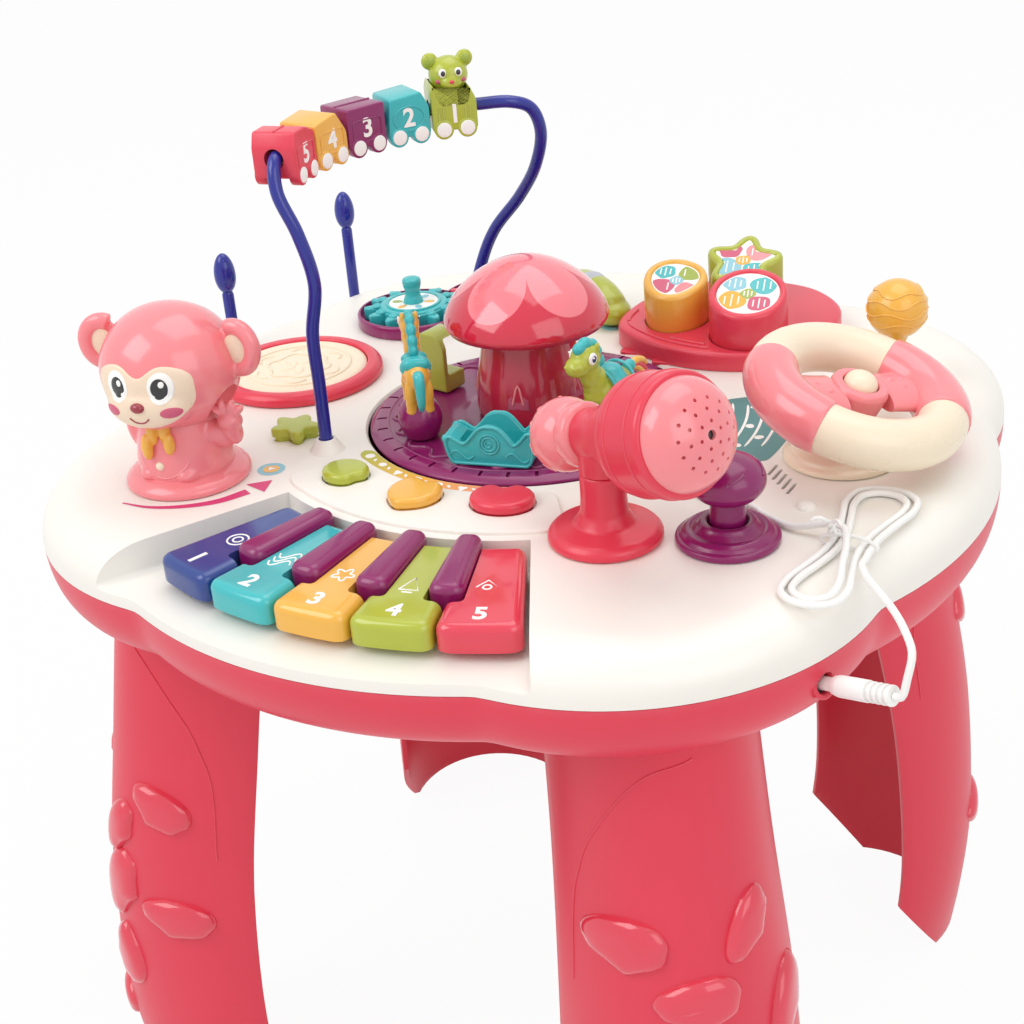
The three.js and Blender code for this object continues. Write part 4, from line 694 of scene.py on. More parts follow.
@dataclass(frozen=True)
class Plastic:
    """A moulded plastic finish."""

    hue: Hue
    gloss: float = 0.24
    coat: float = 0.0
    cloud: float = 0.06
    wear: float = 0.25
    skin: float = 0.04
    dust: float = 0.02
    shine_through: float = 0.0
    glassy: float = 0.0

    @property
    def title(self) -> str:
        """The material's name."""
        kind = "clear" if self.glassy else "glossy" if self.coat else "satin"
        return f"{self.hue.name.lower()}_{kind}_plastic_{round(self.gloss * 100):02d}"

    def stuff(self) -> Stuff:
        """Returns the material, made once for each finish."""
        if self.title in bpy.data.materials:
            return bpy.data.materials[self.title]
        material = bpy.data.materials.new(self.title)
        material.use_nodes = True
        tree = material.node_tree
        place = node(tree, "TexCoord").outputs["Object"]
        worn = (*(c + (1 - c) * PALER for c in linear(self.hue.value)), 1)
        skin = node(tree, "Group", {"Place": place, "Colour": paint(self.hue.value), "Cloud": self.cloud,
                                    "Gloss": self.gloss}, node_tree=Effect.group("Moulded skin")).outputs
        rub = node(tree, "Group", {"Place": place, "Colour": skin["Colour"], "Roughness": skin["Roughness"],
                                   "Worn colour": worn, "Amount": self.wear},
                   node_tree=Effect.group("Rubbed edges")).outputs
        dust = node(tree, "Group", {"Place": place, "Colour": rub["Colour"], "Roughness": rub["Roughness"],
                                    "Amount": self.dust}, node_tree=Effect.group("Settled dust")).outputs
        bump = node(tree, "Bump", {"Strength": self.skin, "Distance": 0.0003, "Height": skin["Height"]})
        shader = tree.nodes["Principled BSDF"]
        for source, target in ((dust["Colour"], "Base Color"), (dust["Roughness"], "Roughness"),
                               (bump.outputs["Normal"], "Normal")):
            tree.links.new(source, shader.inputs[target])
        for target, value in {"IOR": 1.49, "Coat Weight": self.coat, "Coat Roughness": 0.06,
                              "Subsurface Weight": self.shine_through, "Subsurface Scale": 0.004,
                              "Transmission Weight": self.glassy}.items():
            shader.inputs[target].default_value = value
        return material


def dressed(obj: Thing, finish: Plastic) -> Thing:
    """Gives an object one finish all over, and returns it."""
    obj.data.materials.clear()
    obj.data.materials.append(finish.stuff())
    return obj


WHITE = Plastic(Hue.WHITE, gloss=0.3, cloud=0.03, skin=0.06)
RED = Plastic(Hue.RED, gloss=0.26, coat=0.1, shine_through=0.05)
# The stem's red plastic painted darker than RED: painted shade under the cap.
STEM = Plastic(Hue.STEM, gloss=0.12, coat=0.5)
MAGENTA = Plastic(Hue.MAGENTA, gloss=0.4, wear=0)
SLATE = Plastic(Hue.SLATE, gloss=0.35, wear=0)
RED_GLOSS = Plastic(Hue.RED, gloss=0.1, coat=0.5)
RED_SATIN = Plastic(Hue.RED, gloss=0.34, skin=0.1)
RED_CLEAR = Plastic(Hue.ROSE, gloss=0.08, coat=0.6, glassy=0.35)
PINK = Plastic(Hue.PINK, gloss=0.16, coat=0.4, shine_through=0.08)
CREAM = Plastic(Hue.CREAM, gloss=0.24)
FACE = Plastic(Hue.FACE, gloss=0.26, wear=0.05)
PURPLE = Plastic(Hue.PURPLE, gloss=0.2, coat=0.2)
TEAL = Plastic(Hue.TEAL, gloss=0.22, coat=0.2)
BLUE = Plastic(Hue.BLUE, gloss=0.16, coat=0.25)
NAVY = Plastic(Hue.NAVY, gloss=0.16, coat=0.25)
TEAL_GLOSS = Plastic(Hue.TEAL, gloss=0.1, coat=0.4)
YELLOW_GLOSS = Plastic(Hue.YELLOW, gloss=0.1, coat=0.4)
LIME_GLOSS = Plastic(Hue.LIME, gloss=0.1, coat=0.4)
YELLOW = Plastic(Hue.YELLOW, gloss=0.2, coat=0.3)
LIME = Plastic(Hue.LIME, gloss=0.2, coat=0.3)
GREEN = Plastic(Hue.GREEN, gloss=0.22, coat=0.2)
SKY = Plastic(Hue.SKY, gloss=0.3)
ROSE = Plastic(Hue.ROSE, gloss=0.35, wear=0)
MAROON = Plastic(Hue.MAROON, gloss=0.2, coat=0.4, wear=0)
BLACK = Plastic(Hue.BLACK, gloss=0.1, coat=0.6, wear=0)
DARK = Plastic(Hue.BLACK, gloss=0.5)
PAPER = Plastic(Hue.PAPER, gloss=0.4, cloud=0.02, wear=0, skin=0.02, dust=0)
STEEL = Plastic(Hue.STEEL, gloss=0.25)
BOARD = Plastic(Hue.BOARD, gloss=0.4)
CABLE = Plastic(Hue.CABLE, gloss=0.35, cloud=0.03, skin=0.12)


def placed(obj: Thing, body: str, finish: Plastic | None = None, *nodes: str, slot: str = "") -> Thing:
    """Finishes a piece: its dress, the body it moves with and what it stands for.

    Args:
        obj: the piece, in place.
        body: the body it rides on.
        finish: its finish, where it has one all over.
        nodes: the nodes of the frame that it stands for.
        slot: the record's slot that such a piece takes its finish from, where it isn't the one named for its hue. Not
            used.

    Returns:
        The piece.
    """
    if finish:
        dressed(obj, finish)
    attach(obj, body)
    if nodes:
        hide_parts(*nodes)
    log.info("%s rides on %s", obj.name, body)
    return obj


@dataclass
class Studio:
    """Camera, plain soft light, pale floor and white background."""

    lens: float = 1700 / 1024 * 36
    sensor: float = 36.0
    eye: Place = (376.4, -643.6, 675.8)
    azimuth: float = 31.4
    pitch: float = 26.9
    roll: float = 4.7
    world_level: float = 0.62
    floor_half: float = 6000.0
    floor_grey: float = 0.86
    floor_white: float = 0.95

    def camera(self) -> None:
        """Puts the camera where the photograph was taken from."""
        data = bpy.data.cameras.new("camera")
        data.lens, data.sensor_width = self.lens, self.sensor
        data.clip_start, data.clip_end = 0.01, 50
        obj = bpy.context.scene.camera = shown("camera", data)
        turn = (Matrix.Rotation(radians(self.azimuth), 4, "Z")
                @ Matrix.Rotation(radians(90 - self.pitch), 4, "X")
                @ Matrix.Rotation(radians(-self.roll), 4, "Z"))
        obj.matrix_world = Matrix.Translation(Vector(self.eye) * MM) @ turn

    def lamp(self, name: str, at: Place, aim: Place, size: float, watts: float) -> None:
        """Adds a soft square lamp.

        Args:
            name: the lamp's name.
            at: its place in metres.
            aim: where it points, in metres.
            size: its side in metres.
            watts: its power.
        """
        data = bpy.data.lights.new(name, "AREA")
        data.size, data.energy = size, watts
        obj = shown(name, data)
        obj.location = at
        obj.rotation_euler = (Vector(aim) - Vector(at)).to_track_quat("-Z", "Y").to_euler()

    @staticmethod
    def seen(tree: Tree) -> Socket:
        """Returns one for rays that show the background itself: camera, glass and gloss."""
        path = node(tree, "LightPath").outputs
        straight = maths(tree, "MAXIMUM", path["Is Camera Ray"], path["Is Transmission Ray"])
        return maths(tree, "MAXIMUM", straight, path["Is Glossy Ray"])

    def world(self) -> None:
        """Makes a plain grey light from all round that looks white itself."""
        world = bpy.context.scene.world = bpy.data.worlds.new("studio")
        world.use_nodes = True
        tree = world.node_tree
        tree.nodes.clear()
        white = (1, 1, 1, 1)
        light = node(tree, "Background", {"Strength": self.world_level, "Color": white}).outputs[0]
        plain = node(tree, "Background", {"Strength": 1.0, "Color": white}).outputs[0]
        mix = node(tree, "MixShader", {0: self.seen(tree), 1: light, 2: plain}).outputs[0]
        node(tree, "OutputWorld", {0: mix})

    def floor(self) -> None:
        """Lays the pale floor, which shows white where nothing shades it."""
        half = self.floor_half
        obj = make("floor", [(x * half, y * half, -1) for x, y in ((-1, -1), (1, -1), (1, 1), (-1, 1))], [(0, 1, 2, 3)])
        material = bpy.data.materials.new("pale_floor")
        material.use_nodes = True
        tree = material.node_tree
        tree.nodes.clear()
        pale = node(tree, "BsdfDiffuse", {"Color": (*(self.floor_grey,) * 3, 1)}).outputs[0]
        white = node(tree, "Emission").outputs[0]
        share = maths(tree, "MULTIPLY", self.seen(tree), self.floor_white)
        node(tree, "OutputMaterial", {0: node(tree, "MixShader", {0: share, 1: pale, 2: white}).outputs[0]})
        obj.data.materials.append(material)

    def build(self) -> None:
        """Sets up the whole studio."""
        bpy.context.scene.view_settings.view_transform = "Standard"
        self.camera()
        self.world()
        self.floor()
        self.lamp("key_light", (-1.2, -1.6, 2.2), (0, 0, 0.35), 1.6, 26)
        self.lamp("fill_light", (1.9, -1.0, 1.5), (0, 0, 0.3), 1.6, 12)
        self.lamp("top_light", (0.1, 0.5, 2.6), (0, 0, 0.35), 1.8, 18)
        log.info("studio is set")


@dataclass
class Outline:
    """The lobed outline that the top and the base share."""

    kink: float = 215.0
    leg_bulge: float = 35.0
    play_bulge: float = 18.5
    count: int = 8

    def lobes(self) -> list[Place]:
        """Returns radius, distance out and direction of each lobe's circle."""
        made = []
        half = radians(180 / self.count)
        for i in range(self.count):
            bulge = self.leg_bulge if i % 2 else self.play_bulge
            chord, away = self.kink * sin(half), self.kink * cos(half)
            radius = (chord ** 2 + bulge ** 2) / (2 * bulge)
            made.append((radius, away + bulge - radius, 360 / self.count * i))
        return made

    def reach(self, deg: float, inset: float, soft: float = 1.2) -> float:
        """Returns how far the outline lies out in a direction, with its notches eased by a soft blend."""
        best: list[float] = []
        for radius, away, middle in self.lobes():
            turn = radians(deg - middle)
            inner = (radius - inset) ** 2 - (away * sin(turn)) ** 2
            if inner > 0 and cos(turn) > 0:
                best.append(away * cos(turn) + sqrt(inner))
        top = max(best)
        return top + soft * ln(sum(exp((b - top) / soft) for b in best)) if soft else top

    def ring(self, inset: float, height: float, steps: int = 320) -> Ring:
        """Returns the outline at a height, drawn in by an inset."""
        return [(*polar(self.reach(360 * i / steps, inset, 0.8), 360 * i / steps), height) for i in range(steps)]


@dataclass
class TopShell:
    """The white play top with its piano bay, seats, reliefs and printed strips."""

    outline: Outline = field(default_factory=Outline)
    wall: float = 2.6
    edge_in: float = 24.0
    rise: float = 20.0
    bay_inner: float = 130.0
    bay_half: float = 28.2
    bay_floor: float = 335.0
    disc: float = 79.4
    boss: Place = (8.5, 4.5, 6.0)

    def edge(self, grow: float, low: float) -> list[Row]:
        """Returns inset and height of the rounded edge, drawn in by a wall."""
        rows = [(grow, low)]
        for a in spaced(14, 0, pi / 2):
            rows.append((grow + self.edge_in * (1 - cos(a)) ** 1.15, PARTING - grow + self.rise * sin(a) ** 0.95))
        return rows

    def bay(self, grow: float, low: float, edge: float = 0.0) -> Thing:
        """Returns the solid that cuts the piano bay."""
        more = degrees(grow / self.bay_inner)
        outer = [polar(280, -90 + t) for t in spaced(20, -self.bay_half - more, self.bay_half + more)]
        inner = [polar(self.bay_inner - grow, -90 + t) for t in spaced(28, self.bay_half + more, -self.bay_half - more)]
        corners = rounded([*outer, *inner], 0.5, 1, True)
        return pad("bay", corners, low, 370, None, 0.4, edge, 3)

    def shell(self) -> Thing:
        """Makes the moulded shell with all its openings."""
        outer = loft("top_shell_look", [self.outline.ring(i, z) for i, z in self.edge(0, PARTING)])
        hollow = loft("hollow", [self.outline.ring(i, z, 160) for i, z in self.edge(self.wall, PARTING - 4)])
        carved(hollow, [self.bay(self.wall, self.bay_floor - self.wall)])
        carved(outer, [hollow, self.bay(0, self.bay_floor, 3.0)])
        tools = [self.hole(0, 0, self.disc, 96), self.hole(Drum.x, 0, 32.5, 64), self.hole(*MONKEY_AT, 9.4, 40)]
        openings = [(button.outline(-1.2), None) for button in BUTTONS]
        openings.append((rounded(rectangle(9.8, 34), 4.4, 5, True), set_down((*Driving.lever_at[:2], 0))))
        slit = rounded(rectangle(1.6, 11), 0.75, 4, True)
        openings += [(slit, set_down((129 + 3.5 * i, -19 - 3.5 * i, 0))) for i in range(5)]
        tools += [pad("opening", row, 325, 360, place, 0.1, 0, 1) for row, place in openings]
        return carved(outer, tools)

    @staticmethod
    def hole(x: float, y: float, radius: float, steps: int) -> Thing:
        """Returns an upright round cutting tool."""
        return lathe("hole", [(0, 325), (radius, 325), (radius, TOP - 1.2), (radius + 1.2, TOP + 0.3),
                              (radius + 1.2, 362), (0, 362)], set_down((x, y, 0)), steps)

    def bosses(self) -> list[Thing]:
        """Makes the cones that hold the arch, the drumstick sleeve and the small dome."""
        wide, narrow, high = self.boss
        made = []
        for side in (-1, 1):
            x, y = polar(BeadArch.foot, BeadArch.tail * side)
            profile = rounded([(3.4, -12), (wide, -12), (wide, 0), (wide * 0.9, 0.8), (narrow, high), (3.4, high),
                               (3.4, -12)], 1.0, 4)
            made.append(lathe("arch_boss", profile, set_down((x, y, TOP)), 40))
        sleeve = rounded([(3.5, -14), (5.8, -14), (5.8, 0.4), (5.0, 1.4), (3.5, 1.4), (3.5, -14)], 0.6, 3)
        made.append(lathe("stick_sleeve", sleeve, set_down((*STICK_LEFT, TOP - 1)), 32))
        made.append(ball("small_dome", (4.5, 4.5, 3), (155, -47, TOP - 0.3), None, 32, 16))
        return made

    def plate(self) -> Thing:
        """Makes the raised plate with stepped ends that carries the push buttons."""
        plate = pad("button_plate", fan(-90, 35, 88.8, 125.5, 9), TOP - 1.5, TOP + 1.7, None, 0.9, 0, 4)
        tools = [pad("hole", b.outline(0.5), 340, 360, None, 0.1, 0, 1) for b in BUTTONS[1:]]
        return carved(plate, tools)

    def build(self) -> Thing:
        """Makes the top with its bosses and plate, and returns the shell."""
        shell = placed(self.shell(), "table", WHITE, "top_shell")
        for piece in [*self.bosses(), self.plate()]:
            placed(piece, "table", WHITE)
        return shell


@dataclass
class BaseShell:
    """The red base under the top."""

    outline: Outline = field(default_factory=Outline)
    drop: float = 30.0
    edge_in: float = 18.0
    wall: float = 2.6

    def rows(self, grow: float, up: float) -> list[Row]:
        """Returns inset and height of the rounded base."""
        made = []
        for a in spaced(12, 0, pi / 2):
            made.append((grow + self.edge_in * (1 - sin(a)) ** 1.1, BASE + up + (self.drop - SEAM) * (1 - cos(a))))
        made.append((grow, PARTING - SEAM + (5 if grow else 0)))
        return made

    def build(self) -> None:
        """Makes the base, its clip, the socket's mouth and the battery door's screws."""
        outer = loft("base_shell_look", [self.outline.ring(i, z) for i, z in self.rows(0, 0)])
        hollow = loft("hollow", [self.outline.ring(i, z, 160) for i, z in self.rows(self.wall, self.wall)])
        mouth = Cable().plug_place
        door = box("door_hole", (75, 62, 60), (0, 95, BASE), None, 0.2, 1)
        carved(outer, [hollow, door, rod("bore", 4.6, -22, 30, mouth, 40)])
        placed(outer, "table", RED_SATIN, "base_shell")
        rim = rounded([(4.2, -9), (6.5, -9), (6.5, 0.2), (5.0, 0.6), (4.2, -0.4), (4.2, -9)], 0.5, 3)
        placed(lathe("socket_rim", rim, mouth, 40), "table", RED_SATIN)
        clip = rounded([(3.5, -2), (7.5, -2), (7.5, 12), (6.2, 13.4), (3.5, 13.4), (3.5, -2)], 1.0, 3)
        placed(lathe("stick_clip", clip, set_down((*STICK_RIGHT, 314)), 36), "table", RED_SATIN)
        bridge = box("clip_bridge", (26, 7, 9), (-7, 0, 0), set_down((-187, 127, 320), -34), 1.2)
        placed(bridge, "table", RED_SATIN)
        for x, y in ((-31, 70), (31, 120)):
            screw = lathe("door_screw", rounded([(0, -0.4), (3.2, -0.4), (3.2, 0.5), (1.2, 0.5), (0, 0.2)], 0.3, 2),
                          set_down((x, y, BASE), 0, 180), 24)
            placed(screw, "table", STEEL)
        for post in ((0, 0), (-67.88, -67.88), MONKEY_AT):
            pin = lathe("gear_post", [(0, 0), (10, 0), (10, 15.4), (5, 15.4), (5, 24), (0, 24)],
                        set_down((*post, BASE + 1.3)), 24)
            placed(pin, "table", RED_SATIN)


@dataclass
class Leg:
    """A deep moulded leg, open to the middle, with leaf reliefs on its outer face."""

    name: str
    deg: float
    reliefs: Sequence[tuple[float, float, float, float]]
    face: float = 239.0
    half: float = 57.5
    depth: float = 64.0
    wall: float = 3.0
    shares: Sequence[Place] = ((0, 0.967, 0.991), (0.08, 0.983, 1), (0.22, 1, 0.98),
                                                    (0.5, 0.98, 0.91), (0.75, 0.925, 0.82), (1, 0.866, 0.765))
    swell: Sequence[Row] = ((1.02, -1.5), (1.0, 0.5), (0.95, 1.9), (0.85, 3.1), (0.7, 3.9), (0.5, 4.3), (0.25, 4.4),
                            (0.04, 4.4))

    def at(self, rise: float) -> Row:
        """Returns outer face and half width at a share of the leg's height."""
        rows = smooth_line([(r, f, h) for r, f, h in self.shares], 6)
        for low, high in zip(rows, rows[1:]):
            if low[0] <= rise <= high[0]:
                t = (rise - low[0]) / max(high[0] - low[0], 1e-9)
                return ((low[1] + (high[1] - low[1]) * t) * self.face, (low[2] + (high[2] - low[2]) * t) * self.half)
        return rows[-1][1] * self.face, rows[-1][2] * self.half

    def ring(self, rise: float) -> Ring:
        """Returns the open section at a share of the height."""
        face, half = self.at(rise)
        z = rise * (BASE - SEAM)
        turns = spaced(32, -pi / 2, pi / 2)
        middle = face - self.depth
        inner, within = self.depth - self.wall, half - self.wall
        return [*((middle + self.depth * cos(a), half * sin(a), z) for a in turns),
                *((middle + inner * cos(a), within * sin(a), z) for a in reversed(turns))]

    def surface(self, rise: float, turn: float, proud: float) -> Place:
        """Returns a place on the outer face, by height and degrees round from the middle."""
        face, half = self.at(rise)
        a = radians(turn)
        return face - self.depth + (self.depth + proud) * cos(a), (half + proud) * sin(a), rise * (BASE - SEAM)

    def relief(self, index: int, rise: float, turn: float, wide: float, lean: float) -> Thing:
        """Makes one raised relief that follows the leg's face.

        Args:
            index: its number on this leg.
            rise: height of its middle in shares of the leg.
            turn: degrees round the face of its middle.
            wide: its half width in millimetres.
            lean: its lean in degrees.

        Returns:
            The relief.
        """
        rings: list[Ring] = []
        c, s = cos(radians(lean)), sin(radians(lean))
        for share, proud in self.swell:
            ring: Ring = []
            for t in around(48):
                u, v = self.leaf(t)
                x, y = (u * c - v * s) * wide * share, (u * s + v * c) * wide * share
                ring.append(self.surface(rise + y / BASE, turn + degrees(x / (self.half * 0.93)), proud))
            rings.append(ring)
        return loft(f"{self.name}_relief_{index}", rings, set_down(turn=self.deg), 60)

    @staticmethod
    def leaf(t: float) -> Row:
        """Returns a point of a relief's lobed outline in shares of its half width."""
        low = max(-sin(t), 0)
        r = 1 - 0.17 * low * abs(cos(3 * t))
        return r * cos(t), (0.54 + 0.1 * low) * r * sin(t) * (1 + 0.2 * cos(t))

    def build(self) -> None:
        """Makes the leg with its top lid, its cut heel and its reliefs."""
        rises = sorted({*spaced(36), 0.012, 0.985})
        own = set_down(turn=self.deg)
        leg = loft(f"{self.name}_look", [self.ring(r) for r in rises], own)
        lid_row = [(x, y) for x, y, _ in self.ring(1)[:33]]
        carved(leg, [pad("lid", lid_row, BASE - SEAM - 3, BASE - SEAM, own, 0.3, 0, 2)], Cut.ADDED)
        inside = self.face - self.depth - 17
        wedge = [(inside - 60, -5), (self.face - 34, -5), (inside, 62), (inside - 60, 62)]
        rings = [[(x, y, z) for x, z in wedge] for y in (-75, 75)]
        carved(leg, [loft("heel", rings, own)])
        placed(bevelled(leg, 0.7, 2, 40), "table", RED_SATIN, self.name)
        for i, row in enumerate(self.reliefs):
            placed(self.relief(i + 1, *row), "table", RED_GLOSS)
        side = 1 if self.name.endswith("left") else -1
        rows = [(0.96, 2, 0), (0.93, 28, 0), (0.85, 50, 0), (0.77, 64, 0), (0.67, 72, 0), (0.57, 74, 0)]
        line = [self.surface(rise, side * turn, 0.05) for rise, turn, _ in smooth_line(rows, 8)]
        placed(tube(f"{self.name}_arc", line, 0.45, 8, own), "table", RED_SATIN)


def toothed(teeth: int, module: float, phase: float = 0.0, slim: float = 0.86) -> list[Row]:
    """Returns the outline of a gear.

    Args:
        teeth: how many teeth it has.
        module: pitch diameter over teeth, in millimetres.
        phase: degrees that the first tooth is turned.
        slim: how thick a tooth is, in shares of half the pitch.

    Returns:
        Its closed outline with rounded tips.
    """
    pitch = module * teeth / 2
    base, tip, root = pitch * cos(radians(20)), pitch + 0.85 * module, pitch - 1.15 * module

    def involute(radius: float) -> float:
        """Returns the involute angle at a radius."""
        t = sqrt(max((radius / base) ** 2 - 1, 0))
        return t - atan(t)

    half = pi / (2 * teeth) * slim + involute(pitch)
    low = max(root, base)
    row: list[Row] = []
    for i in range(teeth):
        middle = 2 * pi * i / teeth + radians(phase)
        flank = [(low + (tip - low) * t, half - involute(low + (tip - low) * t)) for t in spaced(4)]
        side = [(root, half - involute(base)), *flank] if base - root > SEAM else flank
        row += [(r * cos(middle - a), r * sin(middle - a)) for r, a in side]
        row += [(r * cos(middle + a), r * sin(middle + a)) for r, a in reversed(side)]
    return rounded(row, 0.5, 2, True)


MODULE = 4
GEAR_LOW = 318
SHAFT = ((0, 328), (5.4, 328), (5.4, GEAR_LOW))


def drive_gear(name: str, teeth: int, phase: float, place: Matrix | None = None) -> Thing:
    """Makes one gear of the train under the top, bored for its post, and returns it."""
    gear = pad(name, toothed(teeth, MODULE, phase), GEAR_LOW, GEAR_LOW + 7, place, 0.5, 0.5, 2)
    return carved(gear, [rod("eye", 5.4, 300, 330, place)])


@dataclass
class Turntable:
    """The purple disc that the riders go round on, with its drive gear below."""

    radius: float = 78.0
    top: float = 352.5
    body: str = "carousel"

    def build(self) -> None:
        """Makes the disc, its gear, its zigzag relief and its slits."""
        z, r = self.top, self.radius
        profile = rounded([*SHAFT, (15, GEAR_LOW), (15, z - 14), (24, z - 5), (r - 2.5, z - 5), (r, z - 3.7),
                           (r, z - 2.4), (r - 3.5, z), (r - 9, z), (r - 11, z - 0.5), (34, z - 0.5), (31, z), (0, z)],
                          1.6, 4)
        disc = lathe("turntable_look", profile, None, 128, 50)
        slit = rounded(rectangle(5.2, 1.6), 0.75, 4, True)
        tools = [pad("slit", slit, z - 1.4, z + 4, set_down((*polar(72.3, deg), 0), deg), 0.1, 0, 1)
                 for deg in range(0, 360, 10)]
        placed(carved(disc, tools, crease=45), self.body, PURPLE, "turntable")
        placed(drive_gear("drive_gear", 36, 0), self.body, PURPLE)
        line = [(*polar(61 if i % 2 else 66.5, 7.5 * i), z - 0.5) for i in range(48)]
        placed(tube("zigzag_relief", smooth_line(line, 4, True), 1.0, 8, closed=True, flat=0.9), self.body, PURPLE)
        ring = [(*polar(69.3, 3 * i), z - 0.4) for i in range(120)]
        placed(tube("rim_line", ring, 0.7, 8, closed=True), self.body, PURPLE)


@dataclass
class Toadstool:
    """The toadstool in the middle of the carousel."""

    z: float = 352.8
    stem_high: float = 40.0
    cap_radius: float = 38.7
    cap_high: float = 35.0

    def cap_stuff(self) -> Stuff:
        """Returns the cap's finish: red, with pale translucent petals that run down from the top."""
        material = RED_CLEAR.stuff().copy()
        material.name = "petalled_cap_plastic"
        tree = material.node_tree
        split = node(tree, "SeparateXYZ", {0: node(tree, "TexCoord").outputs["Object"]}).outputs
        angle = maths(tree, "ADD", maths(tree, "ARCTAN2", split["Y"], split["X"]), radians(92))
        lobe = maths(tree, "ABSOLUTE", maths(tree, "COSINE", maths(tree, "MULTIPLY", angle, 2.5)))
        limit = maths(tree, "MULTIPLY_ADD", maths(tree, "POWER", lobe, 0.62), -0.56, 0.84)
        rim = (self.z + self.stem_high + SEAM + 6) * MM
        share = maths(tree, "DIVIDE", maths(tree, "SUBTRACT", split["Z"], rim), (self.cap_high - 6) * MM)
        over = maths(tree, "SUBTRACT", share, limit)
        edge = node(tree, "MapRange", {"From Min": -0.008, "From Max": 0.008, "Value": over}).outputs["Result"]
        skin = next(n for n in tree.nodes if n.type == "GROUP" and n.node_tree.name == "Moulded skin")
        tree.links.new(blend(tree, edge, paint(0xD5203F), paint(0xF4808B)), skin.inputs["Colour"])
        shader = tree.nodes["Principled BSDF"]
        shader.inputs["Transmission Weight"].default_value = 0.0
        shader.inputs["Subsurface Weight"].default_value = 0.25
        return material

    def build(self) -> None:
        """Makes the stem with its arched doors and the petalled cap."""
        z, top = self.z, self.z + self.stem_high
        stem = rounded([(0, z), (25, z), (26, z + 3), (25.9, z + 8), (25.2, z + 16), (24, z + 24), (22.2, z + 33),
                        (20.8, top), (8, top), (8, top + 5), (0, top + 5)], 2.2, 4)
        # The stem and its door frames get the darker red: painted shade under the cap.
        placed(lathe("toadstool_stem_look", stem, None, 96, 50), "carousel", STEM, "mushroom_stem",
               slot="red_plastic")
        for i in range(5):
            deg = 72 * i - 75
            arch = [(-5, 0), (5, 0), *[(5 * cos(a), 10 + 8 * sin(a)) for a in spaced(10, 0, pi)]]
            for name, grow, proud, finish in (("door_frame", 1.7, 1.0, STEM), ("door_pane", 0, 1.35, RED_PANE)):
                rings = []
                for inset, out in ((0, -1.4), (0, proud * 0.6), (0.6, proud), (2.4, proud + 0.1)):
                    row = shrunk(wound(arch), inset - grow)
                    rings.append([(*polar(24.9 - 0.17 * y + out, deg + degrees(x / 24)), z + 9 + y) for x, y in row])
                placed(loft(f"{name}_{i + 1}", rings, None, 50), "carousel", finish)
            chevron = [(*polar(25.3 - 0.17 * y + 1.0, deg + degrees(x / 24)), z + 9 + y)
                       for x, y in ((-2.4, 3), (0, 12), (2.4, 3))]
            placed(tube(f"door_sign_{i + 1}", smooth_line(chevron, 3), 0.55, 8), "carousel", PINK)
        low = top + SEAM
        rise = self.cap_high - 6
        dome = [(self.cap_radius * cos(a), low + 6 + rise * (1 - max(cos(a), 0) ** 1.75) ** 0.64)
                for a in spaced(26, 0, pi / 2)]
        dome[-1] = (0, dome[-1][1])
        under = [(0, low + 5.3), (8.4, low + 5.3), (8.4, low), (20, low), (24, low - 0.2), (32.7, low + 2.4),
                 (37.3, low + 3.4)]
        cap = lathe("toadstool_cap_look", [*rounded(under, 1.5, 3), *dome], None, 128, 60)
        cap.data.materials.append(self.cap_stuff())
        placed(cap, "carousel", None, "mushroom_cap", slot="clear_red")


RED_PANE = Plastic(Hue.ROSE, gloss=0.1, coat=0.6, shine_through=0.2)


@dataclass
class Rider:
    """A rider of the carousel, built along +X at its own origin and then set down."""

    name: str
    deg: float
    turn: float
    body: str = "carousel"
    away: float = 57.0
    z: float = 352.8

    @property
    def place(self) -> Matrix:
        """Where the rider stands."""
        return set_down((*polar(self.away, self.deg), self.z), self.turn)

    def part(self, name: str, rows: Sequence[tuple[Place, Place]], finish: Plastic, grain: float = 0.55,
             *nodes: str) -> None:
        """Melts lumps, given as rows of (half lengths, place), into one piece of this rider."""
        made = moulded(f"{self.name}_{name}", lumps(rows, self.place, 24, 14), grain, 5)
        placed(made, self.body, finish, *nodes)

    def stroke(self, name: str, points: Sequence[Place], radius: float, finish: Plastic) -> None:
        """Makes a tapering strand of this rider, such as a tail."""
        line = smooth_line(points, 8)
        made = tube(f"{self.name}_{name}", line, lambda t: radius * (1 - 0.55 * t ** 2), 14, self.place)
        placed(made, self.body, finish)

    def eye(self, at: Place, size: float, side: float, name: str) -> None:
        """Sets one eye with its dark pupil and a glint."""
        shift = 0.35 * side
        rows = [("white", size, 0.0, PAPER), ("iris", size * 0.72, 0.25, NAVY), ("pupil", size * 0.46, 0.42, BLACK)]
        for part, radius, out, finish in rows:
            lump = ball(f"{self.name}_{part}_{name}", (radius, size * 0.45, radius * 1.1),
                        (at[0], at[1] + side * (out + shift), at[2]), self.place, 24, 12)
            placed(lump, self.body, finish)
        glint = ball(f"{self.name}_glint_{name}", (size * 0.2, size * 0.3, size * 0.2),
                     (at[0] + size * 0.25, at[1] + side * (0.42 + size * 0.3), at[2] + size * 0.3), self.place, 12, 8)
        placed(glint, self.body, PAPER)


